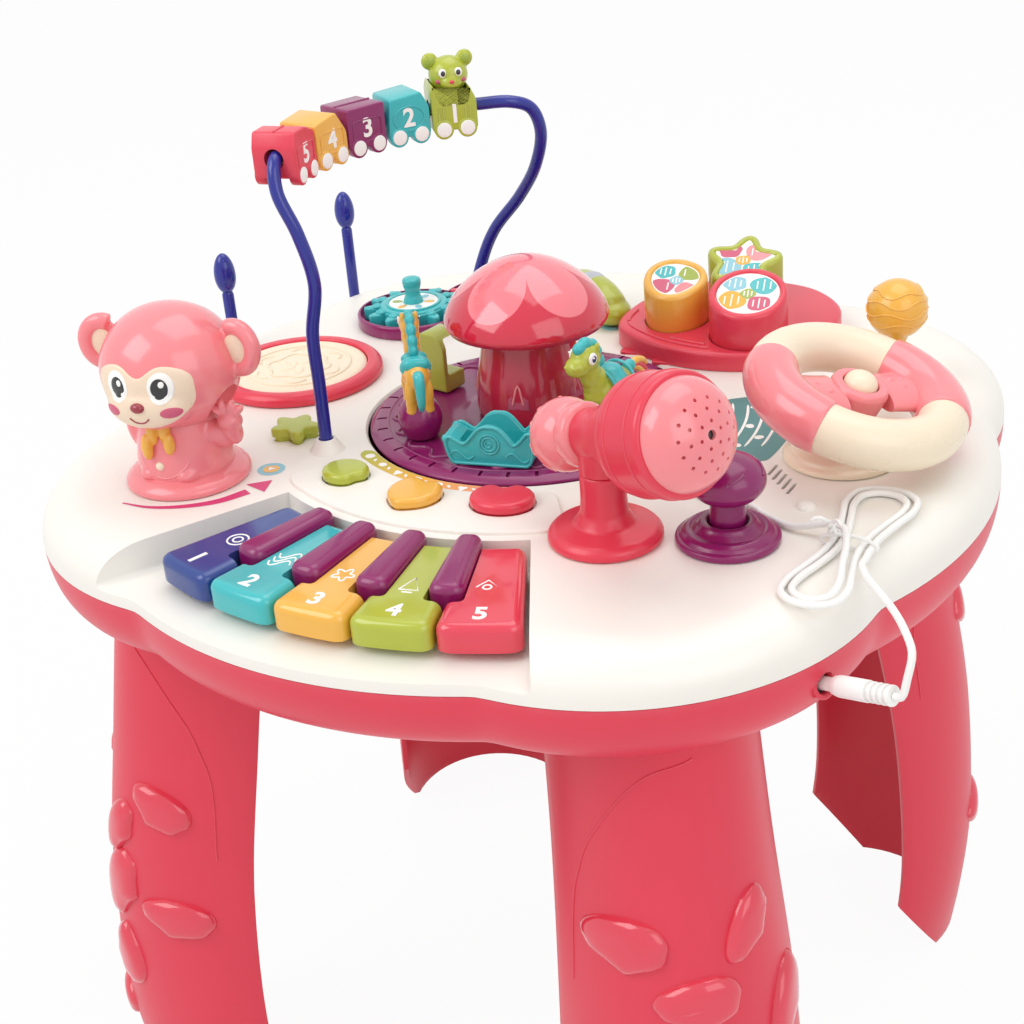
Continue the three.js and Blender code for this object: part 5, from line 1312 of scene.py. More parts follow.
@dataclass
class Horse(Rider):
    """A yellow horse on a purple ball, with teal mane, saddle and tail."""

    def build(self) -> None:
        """Makes all of the horse."""
        foot = lathe(f"{self.name}_ball", rounded([(0, 0), (7.6, 0), (8.6, 2.2), (10.3, 6.6), (10.5, 10.6), (9.0, 15.4),
                     (5.4, 19), (0, 20.2)], 3, 5), self.place, 56, 60)
        placed(foot, self.body, PURPLE)
        rows = [((13, 6.6, 8), (0, 0, 31)), ((5, 4, 9), (8, 0, 40)), ((5, 4.4, 7), (10, 0, 45)),
                 ((8.3, 4.8, 5.5), (13, 0, 50.4)), ((4.0, 3.9, 4), (19.4, 0, 48.6))]
        for sx in (-1, 1):
            for sy in (-1, 1):
                rows.append(((3.0, 2.8, 7), (sx * 7.4, sy * 3.9, 24)))
                rows.append(((2.9, 2.6, 5.6), (sx * 7.4 + 1.0, sy * 3.9, 18.8)))
                rows.append(((3.3, 2.8, 2.0), (sx * 7.4 + 1.6, sy * 3.9, 15.2)))
        for sy in (-1, 1):
            rows.append(((1.6, 1.1, 2.6), (9.6, sy * 3.2, 55)))
        self.part("figure", rows, YELLOW, 0.55, "carousel_horse")
        mane = [((3.4, 2.4, 3), (11.8, 0, 54.6)), ((3.2, 2.5, 3.2), (7.2, 0, 54)), ((3, 2.6, 3.4), (4.4, 0, 50)),
                ((3, 2.6, 3.6), (2.8, 0, 45.4)), ((2.9, 2.5, 3.2), (1.8, 0, 41.4))]
        self.part("mane", mane, TEAL, 0.5)
        self.part("saddle", [((5.6, 7.4, 5.4), (-1, 0, 34.4)), ((2.2, 6.2, 3.4), (3.8, 0, 37)),
                             ((2.2, 6.2, 3.4), (-6, 0, 37.2))], TEAL, 0.5)
        self.stroke("tail", [(-12, 0, 34), (-15.6, 0, 34.4), (-17, 0, 29), (-16.4, 0, 22), (-14.6, 0, 18.6)], 2.7, TEAL)
        for side, name in SIDES:
            self.eye((14.6, side * 4.2, 52), 1.7, side, name)


@dataclass
class Pony(Rider):
    """A lime pony with teal crest, saddle blanket and a striped tail."""

    def build(self) -> None:
        """Makes all of the pony."""
        rows = [((14.6, 8.2, 8.8), (0, 0, 27)), ((6.5, 5.4, 8), (8.6, 0, 32)), ((5.4, 4.6, 8), (12, 0, 38)),
                 ((7.6, 6.2, 6.6), (14.4, 0, 45.6)), ((6.2, 5.4, 4.8), (20, 0, 43.4))]
        for sx in (-1, 1):
            for sy in (-1, 1):
                rows.append(((3.7, 3.6, 9), (sx * 8, sy * 4.6, 16)))
                rows.append(((3.7, 3.6, 5), (sx * 8 + 0.2, sy * 4.6, 6)))
                rows.append(((4.0, 3.8, 2.4), (sx * 8 + 0.3, sy * 4.6, 2.3)))
        for sy in (-1, 1):
            rows.append(((1.6, 1.2, 2.2), (11.6, sy * 4.6, 50.6)))
            rows.append(((0.8, 0.8, 0.8), (25.4, sy * 2.4, 44.4)))
        self.part("figure", rows, LIME, 0.55, "carousel_pony")
        crest = [((3.6, 2.8, 3), (18.2, 0, 51)), ((3.8, 3, 3.2), (14.4, 0, 52)), ((3.6, 3, 3.2), (10.2, 0, 50)),
                 ((3.3, 2.9, 3.2), (7.4, 0, 46.2)), ((3.2, 2.8, 3.2), (5.8, 0, 41.6))]
        self.part("crest", crest, TEAL, 0.5)
        self.part("blanket", [((7.2, 9.0, 7), (-1.4, 0, 29.6)), ((6, 6, 3), (-1.4, 0, 34.6))], TEAL, 0.55)
        for x, name in ((-8.2, "rear"), (5.2, "front")):
            hoop = [(x, 9.0 * cos(a), 28 + 8.6 * sin(a)) for a in spaced(24, -0.5, pi + 0.5)]
            placed(tube(f"{self.name}_strap_{name}", hoop, 0.8, 8, self.place), self.body, TEAL)
        root = (-14, 0, 31)
        self.part("tail_root", [((3.8, 2.8, 3), (-15.4, 0, 31.6))], TEAL, 0.5)
        for i, (finish, drop) in enumerate(((YELLOW, 0), (RED, -3.2), (YELLOW, -6))):
            points = [(root[0] - 2, 0, root[2]), (-20.5, 0, root[2] + 1.4 + drop * 0.5), (-25.5, 0, root[2] + drop),
                      (-28, 0, root[2] + drop - 2.6)]
            self.stroke(f"tail_{i + 1}", points, 1.9, finish)
        for side, name in SIDES:
            self.eye((16.4, side * 5.5, 47), 2.5, side, name)


@dataclass
class Sleigh(Rider):
    """A teal sleigh with a round medallion, rolled ends and ball knobs."""

    length: float = 42.0
    height: float = 19.0
    width: float = 17.0
    side: Sequence[Row] = ((-0.42, 0), (0.4, 0), (0.48, 0.28), (0.5, 0.6), (0.46, 0.68), (0.38, 0.6), (0.3, 0.52),
                           (0.22, 0.66), (0.12, 0.9), (0, 1), (-0.12, 0.92), (-0.22, 0.68), (-0.28, 0.55),
                           (-0.36, 0.68), (-0.44, 0.86), (-0.5, 0.84), (-0.5, 0.7))

    def build(self) -> None:
        """Makes all of the sleigh."""
        row = [(x * self.length, z * self.height) for x, z in self.side]
        flat = [(p[0], p[1]) for p in smooth_line([(x, z, 0) for x, z in row], 5, True)]
        side = [(x, max(z, 0)) for x, z in flat]
        hull = pad("hull", side, -self.width / 2, self.width / 2, self.place @ UPRIGHT, 1.1, 1.1, 3)
        room = box("room", (self.length * 0.7, self.width - 4.8, self.height * 2), (0, 0, 3 + self.height),
                   self.place, 1.5)
        hull = carved(hull, [room])
        hull.name = "sleigh_look"
        placed(hull, self.body, TEAL, "carousel_sleigh")
        for face in (-1, 1):
            y = face * (self.width / 2 + 0.1)
            label = "front" if face < 0 else "rear"
            edge = [(x * 0.97, y, min(max(z, 0.6), self.height - 0.4)) for x, z in flat]
            placed(tube(f"sleigh_rim_{label}", edge, 0.8, 8, self.place, True), self.body, TEAL)
            for radius, name in ((4.6, "outer"), (3.2, "inner")):
                ring = [(radius * cos(a), y, 10.4 + radius * sin(a)) for a in around(32)]
                placed(tube(f"sleigh_medal_{name}_{label}", ring, 0.55, 8, self.place, True), self.body, TEAL)
            swirl = [(2.1 * t * cos(7 * t), y, 10.4 + 2.1 * t * sin(7 * t)) for t in spaced(30, 0.1, 1)]
            placed(tube(f"sleigh_swirl_{label}", swirl, 0.5, 8, self.place), self.body, TEAL)
            for i, x in enumerate((-13, 13)):
                wave = [(x + s * 5.4, y, 4.6 + 1.9 * sin(s * 3)) for s in spaced(16, -1, 1)]
                placed(tube(f"sleigh_wave_{i + 1}_{label}", wave, 0.45, 8, self.place), self.body, TEAL)
        for i, (x, z) in enumerate(((-20.4, 15.2), (20.4, 11.4))):
            knob = tube(f"sleigh_roll_{i + 1}", [(x, -6.8, z), (x, 6.8, z)], 1.7, 20, self.place)
            placed(bevelled(knob, 0.6, 3), self.body, TEAL)
            for face in (-1, 1):
                placed(ball(f"sleigh_knob_{i + 1}_{'a' if face < 0 else 'b'}", (2.1, 1.9, 2.1), (x, face * 7.2, z),
                            self.place, 24, 14), self.body, TEAL)


@dataclass
class Seat(Rider):
    """The lime seat with its hood behind the toadstool."""

    wide: float = 20.0
    deep: float = 15.0
    high: float = 30.0

    def build(self) -> None:
        """Makes the seat."""
        d, h, w = self.deep / 2, self.high, 3.0
        row = [(-d, 0), (d, 0), (d, 9), (w - d, 9), (w - d, h - w), (d, h - w), (d, h), (-d, h)]
        side = rounded(row, 2.2, 5, True)
        seat = pad("seat_look", side, -self.wide / 2, self.wide / 2, self.place @ UPRIGHT, 0.9, 0.9, 3)
        arch = [(-10.2, -1), (10.2, -1), *[(10.0 * cos(a), 20 + 10 * sin(a)) for a in spaced(20, 0, pi)]]
        sideways = self.place @ set_down(turn=90) @ UPRIGHT
        carved(seat, [pad("hood", arch, -12, 12, sideways, 0.05, 0, 1)], Cut.SHARED, 45)
        placed(seat, self.body, LIME, "carousel_seat")
        for i, y in enumerate((-6, 0, 6)):
            line = [(w - d + 0.1, y, 11), (w - d + 0.1, y, h - w - 2)]
            placed(tube(f"seat_rib_{i + 1}", line, 0.9, 10, self.place), self.body, LIME)


@dataclass
class Monkey:
    """The turning monkey in front of the drum, built facing +X at its own origin."""

    at: Row = MONKEY_AT
    face: float = -78.0
    body: str = "monkey"
    head_z: float = 404.0
    sizes: Place = (30.5, 31.6, 28.5)
    teeth: int = 22
    flat: float = 0.65
    spot_swell: Sequence[Row] = ((1, -0.3), (1, 0), (0.9, 0.12), (0.6, 0.16), (0.3, 0.16), (0.03, 0.16))

    @property
    def place(self) -> Matrix:
        """Where the monkey stands."""
        return set_down((*self.at, 0), self.face)

    @property
    def skull(self) -> list[tuple[Place, float, float]]:
        """Half lengths, place forwards and place upwards of the lumps that make the head."""
        rx, ry, rz = self.sizes
        return [((rx, ry, rz), 0, 0), ((rx * 0.9, ry * 0.9, rz * 0.6), 0, 9), ((12, 20, 12), 21, -9)]

    def stand(self) -> None:
        """Makes the round foot, the shaft and the gear under the top."""
        z = TOP + SEAM
        profile = rounded([*SHAFT, (9, GEAR_LOW), (9, z), (28.5, z), (28.5, z + 2.6), (25.6, z + 5.4), (20, z + 7.2),
                           (0, z + 7.6)], 1.8, 5)
        placed(lathe("monkey_stand", profile, self.place, 96, 60), self.body, PINK)
        phase = -135 + 180 + 180 / self.teeth - self.face
        placed(drive_gear("monkey_gear", self.teeth, phase, self.place), self.body, PINK)

    def figure(self) -> None:
        """Makes the body, the raised hand and the scarf."""
        p = self.place
        profile = [(0, 354), (21.6, 354), (22, 358), (21.6, 364), (20.4, 372), (18.6, 380), (16, 388), (12.6, 395),
                   (11, 400), (0, 400)]
        parts = [lathe("lump", rounded(profile, 4, 4), p, 48, 60)]
        for half, at, lean in (((5.6, 5.4, 12), (3, -19.6, 374), 12), ((6.2, 9, 5.6), (3.5, 20, 374), -30),
                               ((5, 5, 8), (4, 27, 377), 20), ((5.2, 6, 5.0), (5, 27.6, 381), 0),
                               ((9, 6.6, 4.6), (13, 8.5, 358.6), 0), ((9, 6.6, 4.6), (13, -8.5, 358.6), 0)):
            parts += lumps([(half, ORIGIN)], p @ set_down(at) @ set_down(roll=lean), 28, 16)
        for lean in (-44, -14, 16, 46):
            at = (6.4, 27.6 + 7.6 * sin(radians(lean)), 382.4 + 6.2 * cos(radians(lean)))
            parts += lumps([((2.5, 2.0, 3.8), ORIGIN)], p @ set_down(at) @ set_down(roll=-lean), 16, 12)
        placed(moulded("monkey_figure", parts, 0.75, 5), self.body, PINK, "monkey_body")
        belly = [(-13, 386), *((13 * cos(a), 372 + 13.6 * sin(a)) for a in spaced(48, pi, 2 * pi)), (13, 386)]
        line = smooth_line([self.onto_body(y, z) for y, z in belly], 3)
        placed(tube("belly_line", line, 0.5, 8, p), self.body, PINK)
        knot = lumps([((4.2, 3.4, 4.2), (15.6, 0, 388)), ((3, 2.8, 7.6), (19.4, -3.4, 381)),
                      ((2.8, 2.6, 6.4), (21.6, -6.0, 373.4)), ((3, 2.8, 7.6), (19.6, 2.6, 381.4)),
                      ((2.8, 2.6, 5.4), (21.4, 5.0, 375.4))], p, 24, 14)
        placed(moulded("scarf", knot, 0.5, 3), self.body, YELLOW)
        placed(ball("belly_dot", (1.4, 2.1, 2.1), self.onto_body(-1.5, 364), p, 24, 12), self.body, CREAM)

    @staticmethod
    def onto_body(y: float, z: float) -> Place:
        """Returns a place just proud of the front of the body."""
        radius = 21.6 - max(z - 362, 0) * 0.19 - max(z - 380, 0) * 0.2
        return sqrt(max(radius ** 2 - y ** 2, 1)) + 0.1, y, z

    def head(self) -> None:
        """Makes the head, the ears and the face."""
        p, z = self.place, self.head_z
        parts = []
        for (half, x, rise), facets in zip(self.skull, ((56, 36), (48, 28), (36, 20))):
            parts += lumps([(half, (x, 0, z + rise))], p, *facets)
        for side in (-1, 1):
            ear = [(-2 + 1.5 * cos(a), side * (32.6 + 8.4 * cos(a)), z + 9 + 9.8 * sin(a))
                   for a in spaced(32, -2.0, 2.0)]
            parts.append(tube("lump", ear, 3.8, 14, p))
            parts += lumps([((2.8, 9.4, 9.8), (-3.2, side * 32.2, z + 9))], p, 32, 20)
        head = moulded("monkey_head_look", parts, 0.85, 6)
        neck = lathe("neck", [(0, 340), (24, 340), (24, 352), (21.2, 374), (18.9, 382), (15.6, 390), (11.8, 398.6),
                              (0, 398.6)], p, 48)
        hand = ball("hand", (10, 10.5, 13), (4, 27.8, 385), p, 32, 20)
        arm = ball("arm", (6.6, 6.4, 13), (3, -19.8, 374.4), p, 24, 16)
        placed(carved(head, [neck, hand, arm], crease=60), self.body, PINK, "monkey_head")
        self.mask()
        for side, name in SIDES:
            placed(ball(f"ear_cup_{name}", (1.6, 6.0, 7.0), (-0.4, side * 33.2, z + 9), p, 36, 16), self.body, FACE)

    def surface(self, y: float, z: float, proud: float) -> Place:
        """Returns a place on the front of the head and the muzzle, standing proud of them."""
        best = 0.0
        for (hx, hy, hz), cx, cz in self.skull:
            inner = 1 - (y / hy) ** 2 - ((z - cz) / hz) ** 2
            if inner > 0:
                best = max(best, cx + hx * sqrt(inner))
        return best + proud, y, self.head_z + z

    @staticmethod
    def mask_edge(a: float) -> Row:
        """Returns a point of the face plate's heart-shaped edge: sideways and up from the head's middle."""
        y, z = 22.5 * sin(a), -2.5 - 15.0 * cos(a)
        if cos(a) < 0:
            z = -2.5 + 14 * abs(cos(a)) ** 0.55 * (1 - 0.42 * exp(-(y / 6) ** 2))
            y *= 1.0 - 0.06 * cos(a)
        return y, z

    def mask(self) -> None:
        """Makes the face plate with eyes, cheeks, nose and mouth."""
        p, row = self.place, [self.mask_edge(a) for a in around(96)]
        rings = []
        for share, proud in ((1.0, -0.5), (1.0, 0.25), (0.985, 0.55), *((s, self.flat) for s in
                                                                       (0.95, 0.85, 0.7, 0.5, 0.3, 0.12, 0.02))):
            rings.append([self.surface(y * share, -3 + (z + 3) * share, proud) for y, z in row])
        placed(loft("face_plate", rings, p, 60), self.body, FACE)
        for side, name in SIDES:
            for part, y, z, wide, high, proud, finish in (
                    ("eye_white", side * 10.4, 1.5, 5.6, 6.8, 0.75, PAPER),
                    ("eye_dark", side * 10.0, 1.3, 3.6, 4.5, 0.95, BLACK),
                    ("eye_glint", side * 10.0 + 1.1, 3.2, 1.2, 1.4, 1.2, PAPER),
                    ("cheek", side * 14.0, -9.4, 4.2, 2.4, 0.75, ROSE)):
                rings = [[self.surface(y + wide * share * cos(a), z + high * share * sin(a), proud + lift)
                          for a in around(40)] for share, lift in self.spot_swell]
                placed(loft(f"{part}_{name}", rings, p, 60), self.body, finish)
        placed(ball("nose", (2.3, 3.3, 2.3), self.surface(0, -6.6, 0.5), p, 32, 16), self.body, MAROON)
        mouth = [self.surface(y, z, 0.75) for y, z in ((-4.6, -11.6), (-2.4, -13.4), (0, -13.9), (2.4, -13.4),
                                                       (4.6, -11.6))]
        placed(tube("mouth", smooth_line(mouth, 5), 0.35, 8, p), self.body, MAROON)

    def build(self) -> None:
        """Makes the whole monkey."""
        self.stand()
        self.figure()
        self.head()


def numeral(text: str, size: float, place: Matrix, name: str, thick: float = 0.35) -> Thing:
    """Makes a raised plain number.

    Args:
        text: the digits.
        size: height in millimetres.
        place: where its middle goes, with its face towards +Z.
        name: the object's name.
        thick: how high it stands.

    Returns:
        The number as a mesh.
    """
    data = bpy.data.curves.new(name, "FONT")
    data.body, data.size, data.extrude, data.offset = text, size * 1.38 * MM, thick / 2 * MM, 0.035 * size * MM
    data.align_x, data.align_y = "CENTER", "CENTER"
    obj = shown(name, data)
    bpy.context.view_layer.update()
    mesh = bpy.data.meshes.new_from_object(obj.evaluated_get(bpy.context.evaluated_depsgraph_get()))
    bpy.data.objects.remove(obj)
    moved = place.copy()
    moved.translation = moved.translation * MM
    mesh.transform(moved)
    return smooth(shown(name, mesh), 30)


@dataclass
class BeadArch:
    """The bent blue wire over the carousel."""

    foot: float = 100.0
    tail: float = 135.0
    wire: float = 3.0
    rise: float = 135.0
    up: Sequence[Place] = ((-0.71, -0.7, 0.24), (-0.71, -0.7, 0.42), (-0.67, -0.69, 0.6), (-0.71, -0.71, 0.77),
                           (-0.785, -0.72, 0.91))
    down: Sequence[Place] = ((-0.23, 0.58, 0.965), (-0.21, 0.625, 0.88), (-0.28, 0.68, 0.74), (-0.42, 0.74, 0.6),
                             (-0.585, 0.75, 0.46), (-0.67, 0.75, 0.34), (-0.71, 0.71, 0.2))

    def spread(self, rows: Sequence[Place]) -> list[Place]:
        """Returns places given in shares of the wire's foot and rise."""
        return [(x * self.foot, y * self.foot, TOP + z * self.rise) for x, y, z in rows]

    def line(self) -> list[Place]:
        """Returns the wire's middle line."""
        feet = [polar(self.foot, side * self.tail) for side in (-1, 1)]
        level = [(*rail(deg), TOP + self.rise) for deg in spaced(9, 197, 114)]
        low, high = TOP - 9.1, TOP + 6
        return smooth_line([(*feet[0], low), (*feet[0], high), *self.spread(self.up), *level, *self.spread(self.down),
                            (*feet[1], high), (*feet[1], low)], 10)

    def build(self) -> None:
        """Makes the wire."""
        placed(tube("bead_arch_look", self.line(), self.wire, 24), "table", BLUE, "bead_arch")


def rail(deg: float) -> Row:
    """Returns the flat place on the level part of the wire in a direction from its own middle."""
    x, y = polar(96, deg)
    return 10 + x, -38 + y


@dataclass
class Wagon:
    """One wagon of the train on the arch, built along its own X with the wire at its origin."""

    number: int
    finish: Plastic
    side: Sequence[Row]
    length: float = 21.5
    width: float = 21.0
    height: float = 24.0
    bore: float = 4.7
    above: float = 0.52
    tyre: Sequence[Row] = ((0, -4), (4.6, -4), (4.6, 0.9), (3.9, 1.2), (0, 1.2))
    disc: Sequence[Row] = ((0, 0.8), (3.5, 0.8), (3.5, 1.5), (0, 1.7))

    @property
    def place(self) -> Matrix:
        """Where the wagon sits on the wire."""
        deg = 190.5 - (5 - self.number) * 14.9
        return set_down((*rail(deg), TOP + BeadArch.rise), deg - 90)

    def add(self, obj: Thing, finish: Plastic, *nodes: str) -> None:
        """Dresses a piece that rides on this wagon's body."""
        placed(obj, f"train_{self.number}", finish, *nodes)

    def line(self, name: str, row: Sequence[Place], radius: float, closed: bool = False) -> None:
        """Adds one raised line to the wagon."""
        self.add(tube(f"wagon_{self.number}_{name}", row, radius, 8, self.place, closed), self.finish)

    def bored(self, obj: Thing, crease: float = 38) -> Thing:
        """Bores a solid for the wire, and returns it."""
        return carved(obj, [rod("bore", self.bore, -30, 30, self.place @ set_down(tilt=90))], crease=crease)

    def build(self) -> None:
        """Makes the wagon, its wheels, its number and what it carries."""
        n, p, down = self.number, self.place, -self.height * self.above
        row = rounded([(x * self.length, z * self.height + down) for x, z in self.side], 1.4, 4, True)
        shell = self.bored(pad("hull", row, -self.width / 2, self.width / 2, p @ UPRIGHT, 0.9, 0.9, 3))
        shell.name = f"wagon_{n}_look"
        self.add(shell, self.finish, f"wagon_{n}")
        for face, label in ((-1, "near"), (1, "far")):
            for i, x in enumerate((-0.26, 0.26)):
                hub = p @ set_down((x * self.length, face * (self.width / 2 - 0.7), down + 4.6), roll=-90 * face)
                self.add(lathe(f"wagon_{n}_tyre_{i + 1}_{label}", rounded(self.tyre, 0.6, 3), hub, 40), self.finish)
                self.add(lathe(f"wagon_{n}_disc_{i + 1}_{label}", rounded(self.disc, 0.4, 3), hub, 36), PAPER)
            plate = p @ set_down((0, face * (self.width / 2 + 0.1), 0.2 if n != 1 else -1.2), roll=-90 * face)
            if face > 0:
                plate = plate @ set_down(turn=180)
            self.add(numeral(str(n), 8.6, plate, f"wagon_{n}_number_{label}"), PAPER)
            self.relief(face, label)
        if n == 1:
            self.bear()

    def relief(self, face: int, label: str) -> None:
        """Adds the raised lines of the wagon's side and roof."""
        y = face * (self.width / 2 + 0.05)
        if self.number == 2:
            self.line(f"oval_{label}", [(7.6 * cos(a), y, 0.2 + 5.6 * sin(a)) for a in around(40)], 0.45, True)
        elif self.number == 1:
            for i, x in enumerate((-7.4, -5.2, 5.2, 7.4)):
                self.line(f"groove_{i + 1}_{label}", [(x, y, -7), (x, y, 2.6)], 0.5)
        else:
            frame_row = rounded([(-8, -5.6), (8, -5.6), (8, 4.4), (-8, 4.4)], 2, 4, True)
            self.line(f"frame_{label}", [(x, y, z) for x, z in frame_row], 0.42, True)
        if face < 0 and self.number in (3, 5):
            roof, start, end = (0.95, -10, 10) if self.number == 3 else (1.0, -8, 2.4)
            z = self.height * (roof - self.above) + 0.05
            self.line("seam", [(start, 0, z), (end, 0, z)], 0.5)

    def bear(self) -> None:
        """Sets the little bear's head in the first wagon."""
        p, z = self.place, self.height * (1 - self.above) + 3.8
        parts = lumps([((9.3, 8.8, 8.8), (0, 0, z))], p, 36, 22)
        parts += lumps([((5, 3.4, 3.8), (0, -7, z - 2.8)), ((4, 2.3, 4), (-8.2, 0, z + 6.8)),
                        ((4, 2.3, 4), (8.2, 0, z + 6.8))], p, 24, 14)
        self.add(self.bored(moulded("bear_head", parts, 0.45, 3), 60), LIME)
        for side, name in ((-1, "a"), (1, "b")):
            for part, half, x, y, rise, wide, high, finish in (
                    ("ear", (2.3, 0.8, 2.3), 8.3, -2.0, 6.8, 24, 12, GREEN),
                    ("eye", (1.9, 1.0, 2.1), 3.7, -7.7, 2.2, 24, 12, PAPER),
                    ("pupil", (1.1, 0.8, 1.3), 3.6, -8.4, 2.2, 20, 12, BLACK),
                    ("cheek", (1.5, 0.5, 1.0), 5.8, -6.7, -1.6, 20, 10, ROSE)):
                self.add(ball(f"bear_{part}_{name}", half, (side * x, y, z + rise), p, wide, high), finish)
        self.add(ball("bear_nose", (1.2, 0.9, 0.9), (0, -10.2, z - 1.6), p, 20, 12), RED)


WAGONS = {
    5: (RED, ((-0.5, 0.16), (0.5, 0.16), (0.5, 0.85), (0.12, 1), (-0.38, 1), (-0.5, 0.72))),
    4: (YELLOW, ((-0.5, 0.16), (0.5, 0.16), (0.5, 0.6), (0.2, 1), (-0.5, 0.9))),
    3: (PURPLE, ((-0.5, 0.16), (0.5, 0.16), (0.5, 0.95), (-0.5, 0.95))),
    2: (TEAL, ((-0.5, 0.16), (0.5, 0.16), (0.5, 0.7), (0.32, 1), (-0.42, 0.94))),
    1: (LIME, ((-0.5, 0.16), (0.5, 0.16), (0.5, 0.72), (0.36, 1), (0.28, 0.68), (-0.26, 0.68), (-0.44, 1.08),
               (-0.5, 0.92))),
}


@dataclass
class Drum:
    """The toy drum: a red ring round a springy pad with a raised picture of waves."""

    x: float = -137.0
    outer: float = 43.0
    inner: float = 35.5

    @property
    def place(self) -> Matrix:
        """Where the drum stands."""
        return set_down((self.x, 0, 0))

    def line(self, name: str, row: Sequence[Place], radius: float, closed: bool = False) -> None:
        """Adds one raised line to the pad."""
        placed(tube(f"drum_{name}", row, radius, 8, self.place, closed), "drum", CREAM)

    def build(self) -> None:
        """Makes the ring and the pad."""
        p, inner, outer = self.place, self.inner, self.outer
        ring = raised([(inner, 0), (outer, 0), (outer, 3.4), (outer - 2.6, 6), (inner + 0.8, 6), (inner, 5.2),
                       (inner, 0)], TOP + SEAM)
        placed(lathe("drum_ring_look", rounded(ring, 1.3, 4), p, 112, 50), "table", RED, "drum_ring")
        low, radius = TOP + 2.3, inner - 0.4
        skin = raised([(0, -10), (32.1, -10), (32.1, 0), (radius, 0), (radius, 2.4), (radius - 2, 3.6), (30.4, 3.9),
                       (29.6, 3.2), (0, 3.2)], low)
        placed(lathe("drum_pad_look", rounded(skin, 0.8, 4), p, 112, 50), "drum", CREAM, "drum_pad")
        top = low + 3.2
        for i, (radius, wave, count) in enumerate(((26.5, 0.0, 1), (15.5, 1.2, 6))):
            self.line(f"relief_{i + 1}", [(*polar(radius + wave * sin(count * radians(d)), d), top + 0.1)
                                          for d in around(180, 360)], 0.7, True)
        for i in range(6):
            self.line(f"petal_{i + 1}", [(*polar(20.8 + 2.6 * cos(t * pi / 2), 60 * i + 15 * t), top + 0.1)
                                         for t in spaced(16, -1, 1)], 0.65)
        for i in range(5):
            deg = 72 * i + 18
            own = p @ set_down((*polar(6.2, deg), top), deg)
            placed(ball(f"drum_bead_{i + 1}", (4.2, 2.6, 0.9), ORIGIN, own, 28, 12), "drum", CREAM)


@dataclass
class GearCorner:
    """The purple tray with its two toy gears."""

    away: float = 151.0
    middle: float = 135.0
    tray: float = 31.3
    teeth: int = 12

    def at(self, side: int) -> Matrix:
        """Returns the place of one gear."""
        half = degrees(asin(24 / self.away))
        return set_down((*polar(self.away, self.middle + side * half), 0))

    def build(self) -> None:
        """Makes the tray and both gears."""
        z = TOP + SEAM
        low, rooms, pegs = [], [], []
        for side in (-1, 1):
            p = self.at(side)
            row = rounded([(0, z), (self.tray, z), (self.tray, z + 6.2), (self.tray - 0.7, z + 7), (0, z + 7)], 0.5, 3)
            low.append(lathe("tray", row, p, 72))
            rooms.append(rod("room", 29.5, z + 2, z + 12, p, 72))
            pegs.append(rod("peg", 4, z + 1, z + 8, p))
        tray = carved(carved(carved(low[0], [low[1]], Cut.ADDED), rooms), pegs, Cut.ADDED)
        tray.name = "gear_tray_look"
        placed(tray, "table", PURPLE, "gear_tray")
        tall = [(0, 6), (5.4, 6), (5.4, 9.6), (4.0, 12.6), (4.0, 15), (5.2, 18.6), (5.0, 21.8), (0, 22.8)]
        short = [(0, 6), (5.4, 6), (5.4, 9), (3.6, 9.8), (0, 10)]
        self.gear("teal", self.at(1), 0, TEAL, rounded(raised(tall, TOP + 2.6), 2, 4))
        self.gear("red", self.at(-1), 15, RED, rounded(raised(short, TOP + 2.6), 1, 3))

    def gear(self, colour: str, p: Matrix, phase: float, finish: Plastic, knob: Sequence[Row]) -> None:
        """Makes one toy gear with its crown, bumps, picture disc and knob.

        Args:
            colour: its name.
            p: its place.
            phase: degrees that its teeth are turned.
            finish: its finish.
            knob: the profile of its knob.
        """
        body, z = f"{colour}_gear", TOP + 2.6
        rim = pad("rim", toothed(self.teeth, MODULE, phase), z, z + 7, p, 0.9, 0.7, 3)
        crown = lathe("crown", rounded(raised([(0, 3), (18.5, 3), (18.5, 8.0), (0, 8.0)], z), 0.9, 3), p, 72)
        rim = carved(carved(rim, [crown], Cut.ADDED), [rod("bore", 4.4, z - 3, z + 6.4, p)])
        rim.name = f"{body}_look"
        placed(rim, body, finish, f"toy_gear_{colour}")
        for i in range(self.teeth):
            at = (*polar(20.2, 30 * i + phase), z + 7.0)
            placed(ball(f"{body}_bump_{i + 1}", (2.9, 2.9, 1.5), at, p, 24, 12), body, finish)
        ring = rounded(raised([(13.6, 7), (15.2, 7), (15.2, 8.9), (13.6, 8.9), (13.6, 7)], z), 0.5, 3)
        placed(lathe(f"{body}_rim_ring", ring, p, 72), body, finish)
        disc = raised([(5.6, 7.6), (13.5, 7.6), (13.5, 8.3), (5.6, 8.3), (5.6, 7.6)], z)
        placed(lathe(f"{body}_picture", disc, p, 72), body, PAPER)
        petal = [(2.9 * cos(a) * (1 - 0.2 * cos(a)), 1.9 * sin(a)) for a in around(24)]
        for i, stuff in enumerate((YELLOW, SKY, ROSE, GREEN, YELLOW, SKY)):
            own = p @ set_down((*polar(9.6, 60 * i + 20), z + 8.2), 60 * i + 20)
            placed(pad(f"{body}_mark_{i + 1}", petal, 0, 0.25, own, 0.1, 0, 2), body, stuff)
        placed(lathe(f"{body}_knob", knob, p, 48, 60), body, finish)


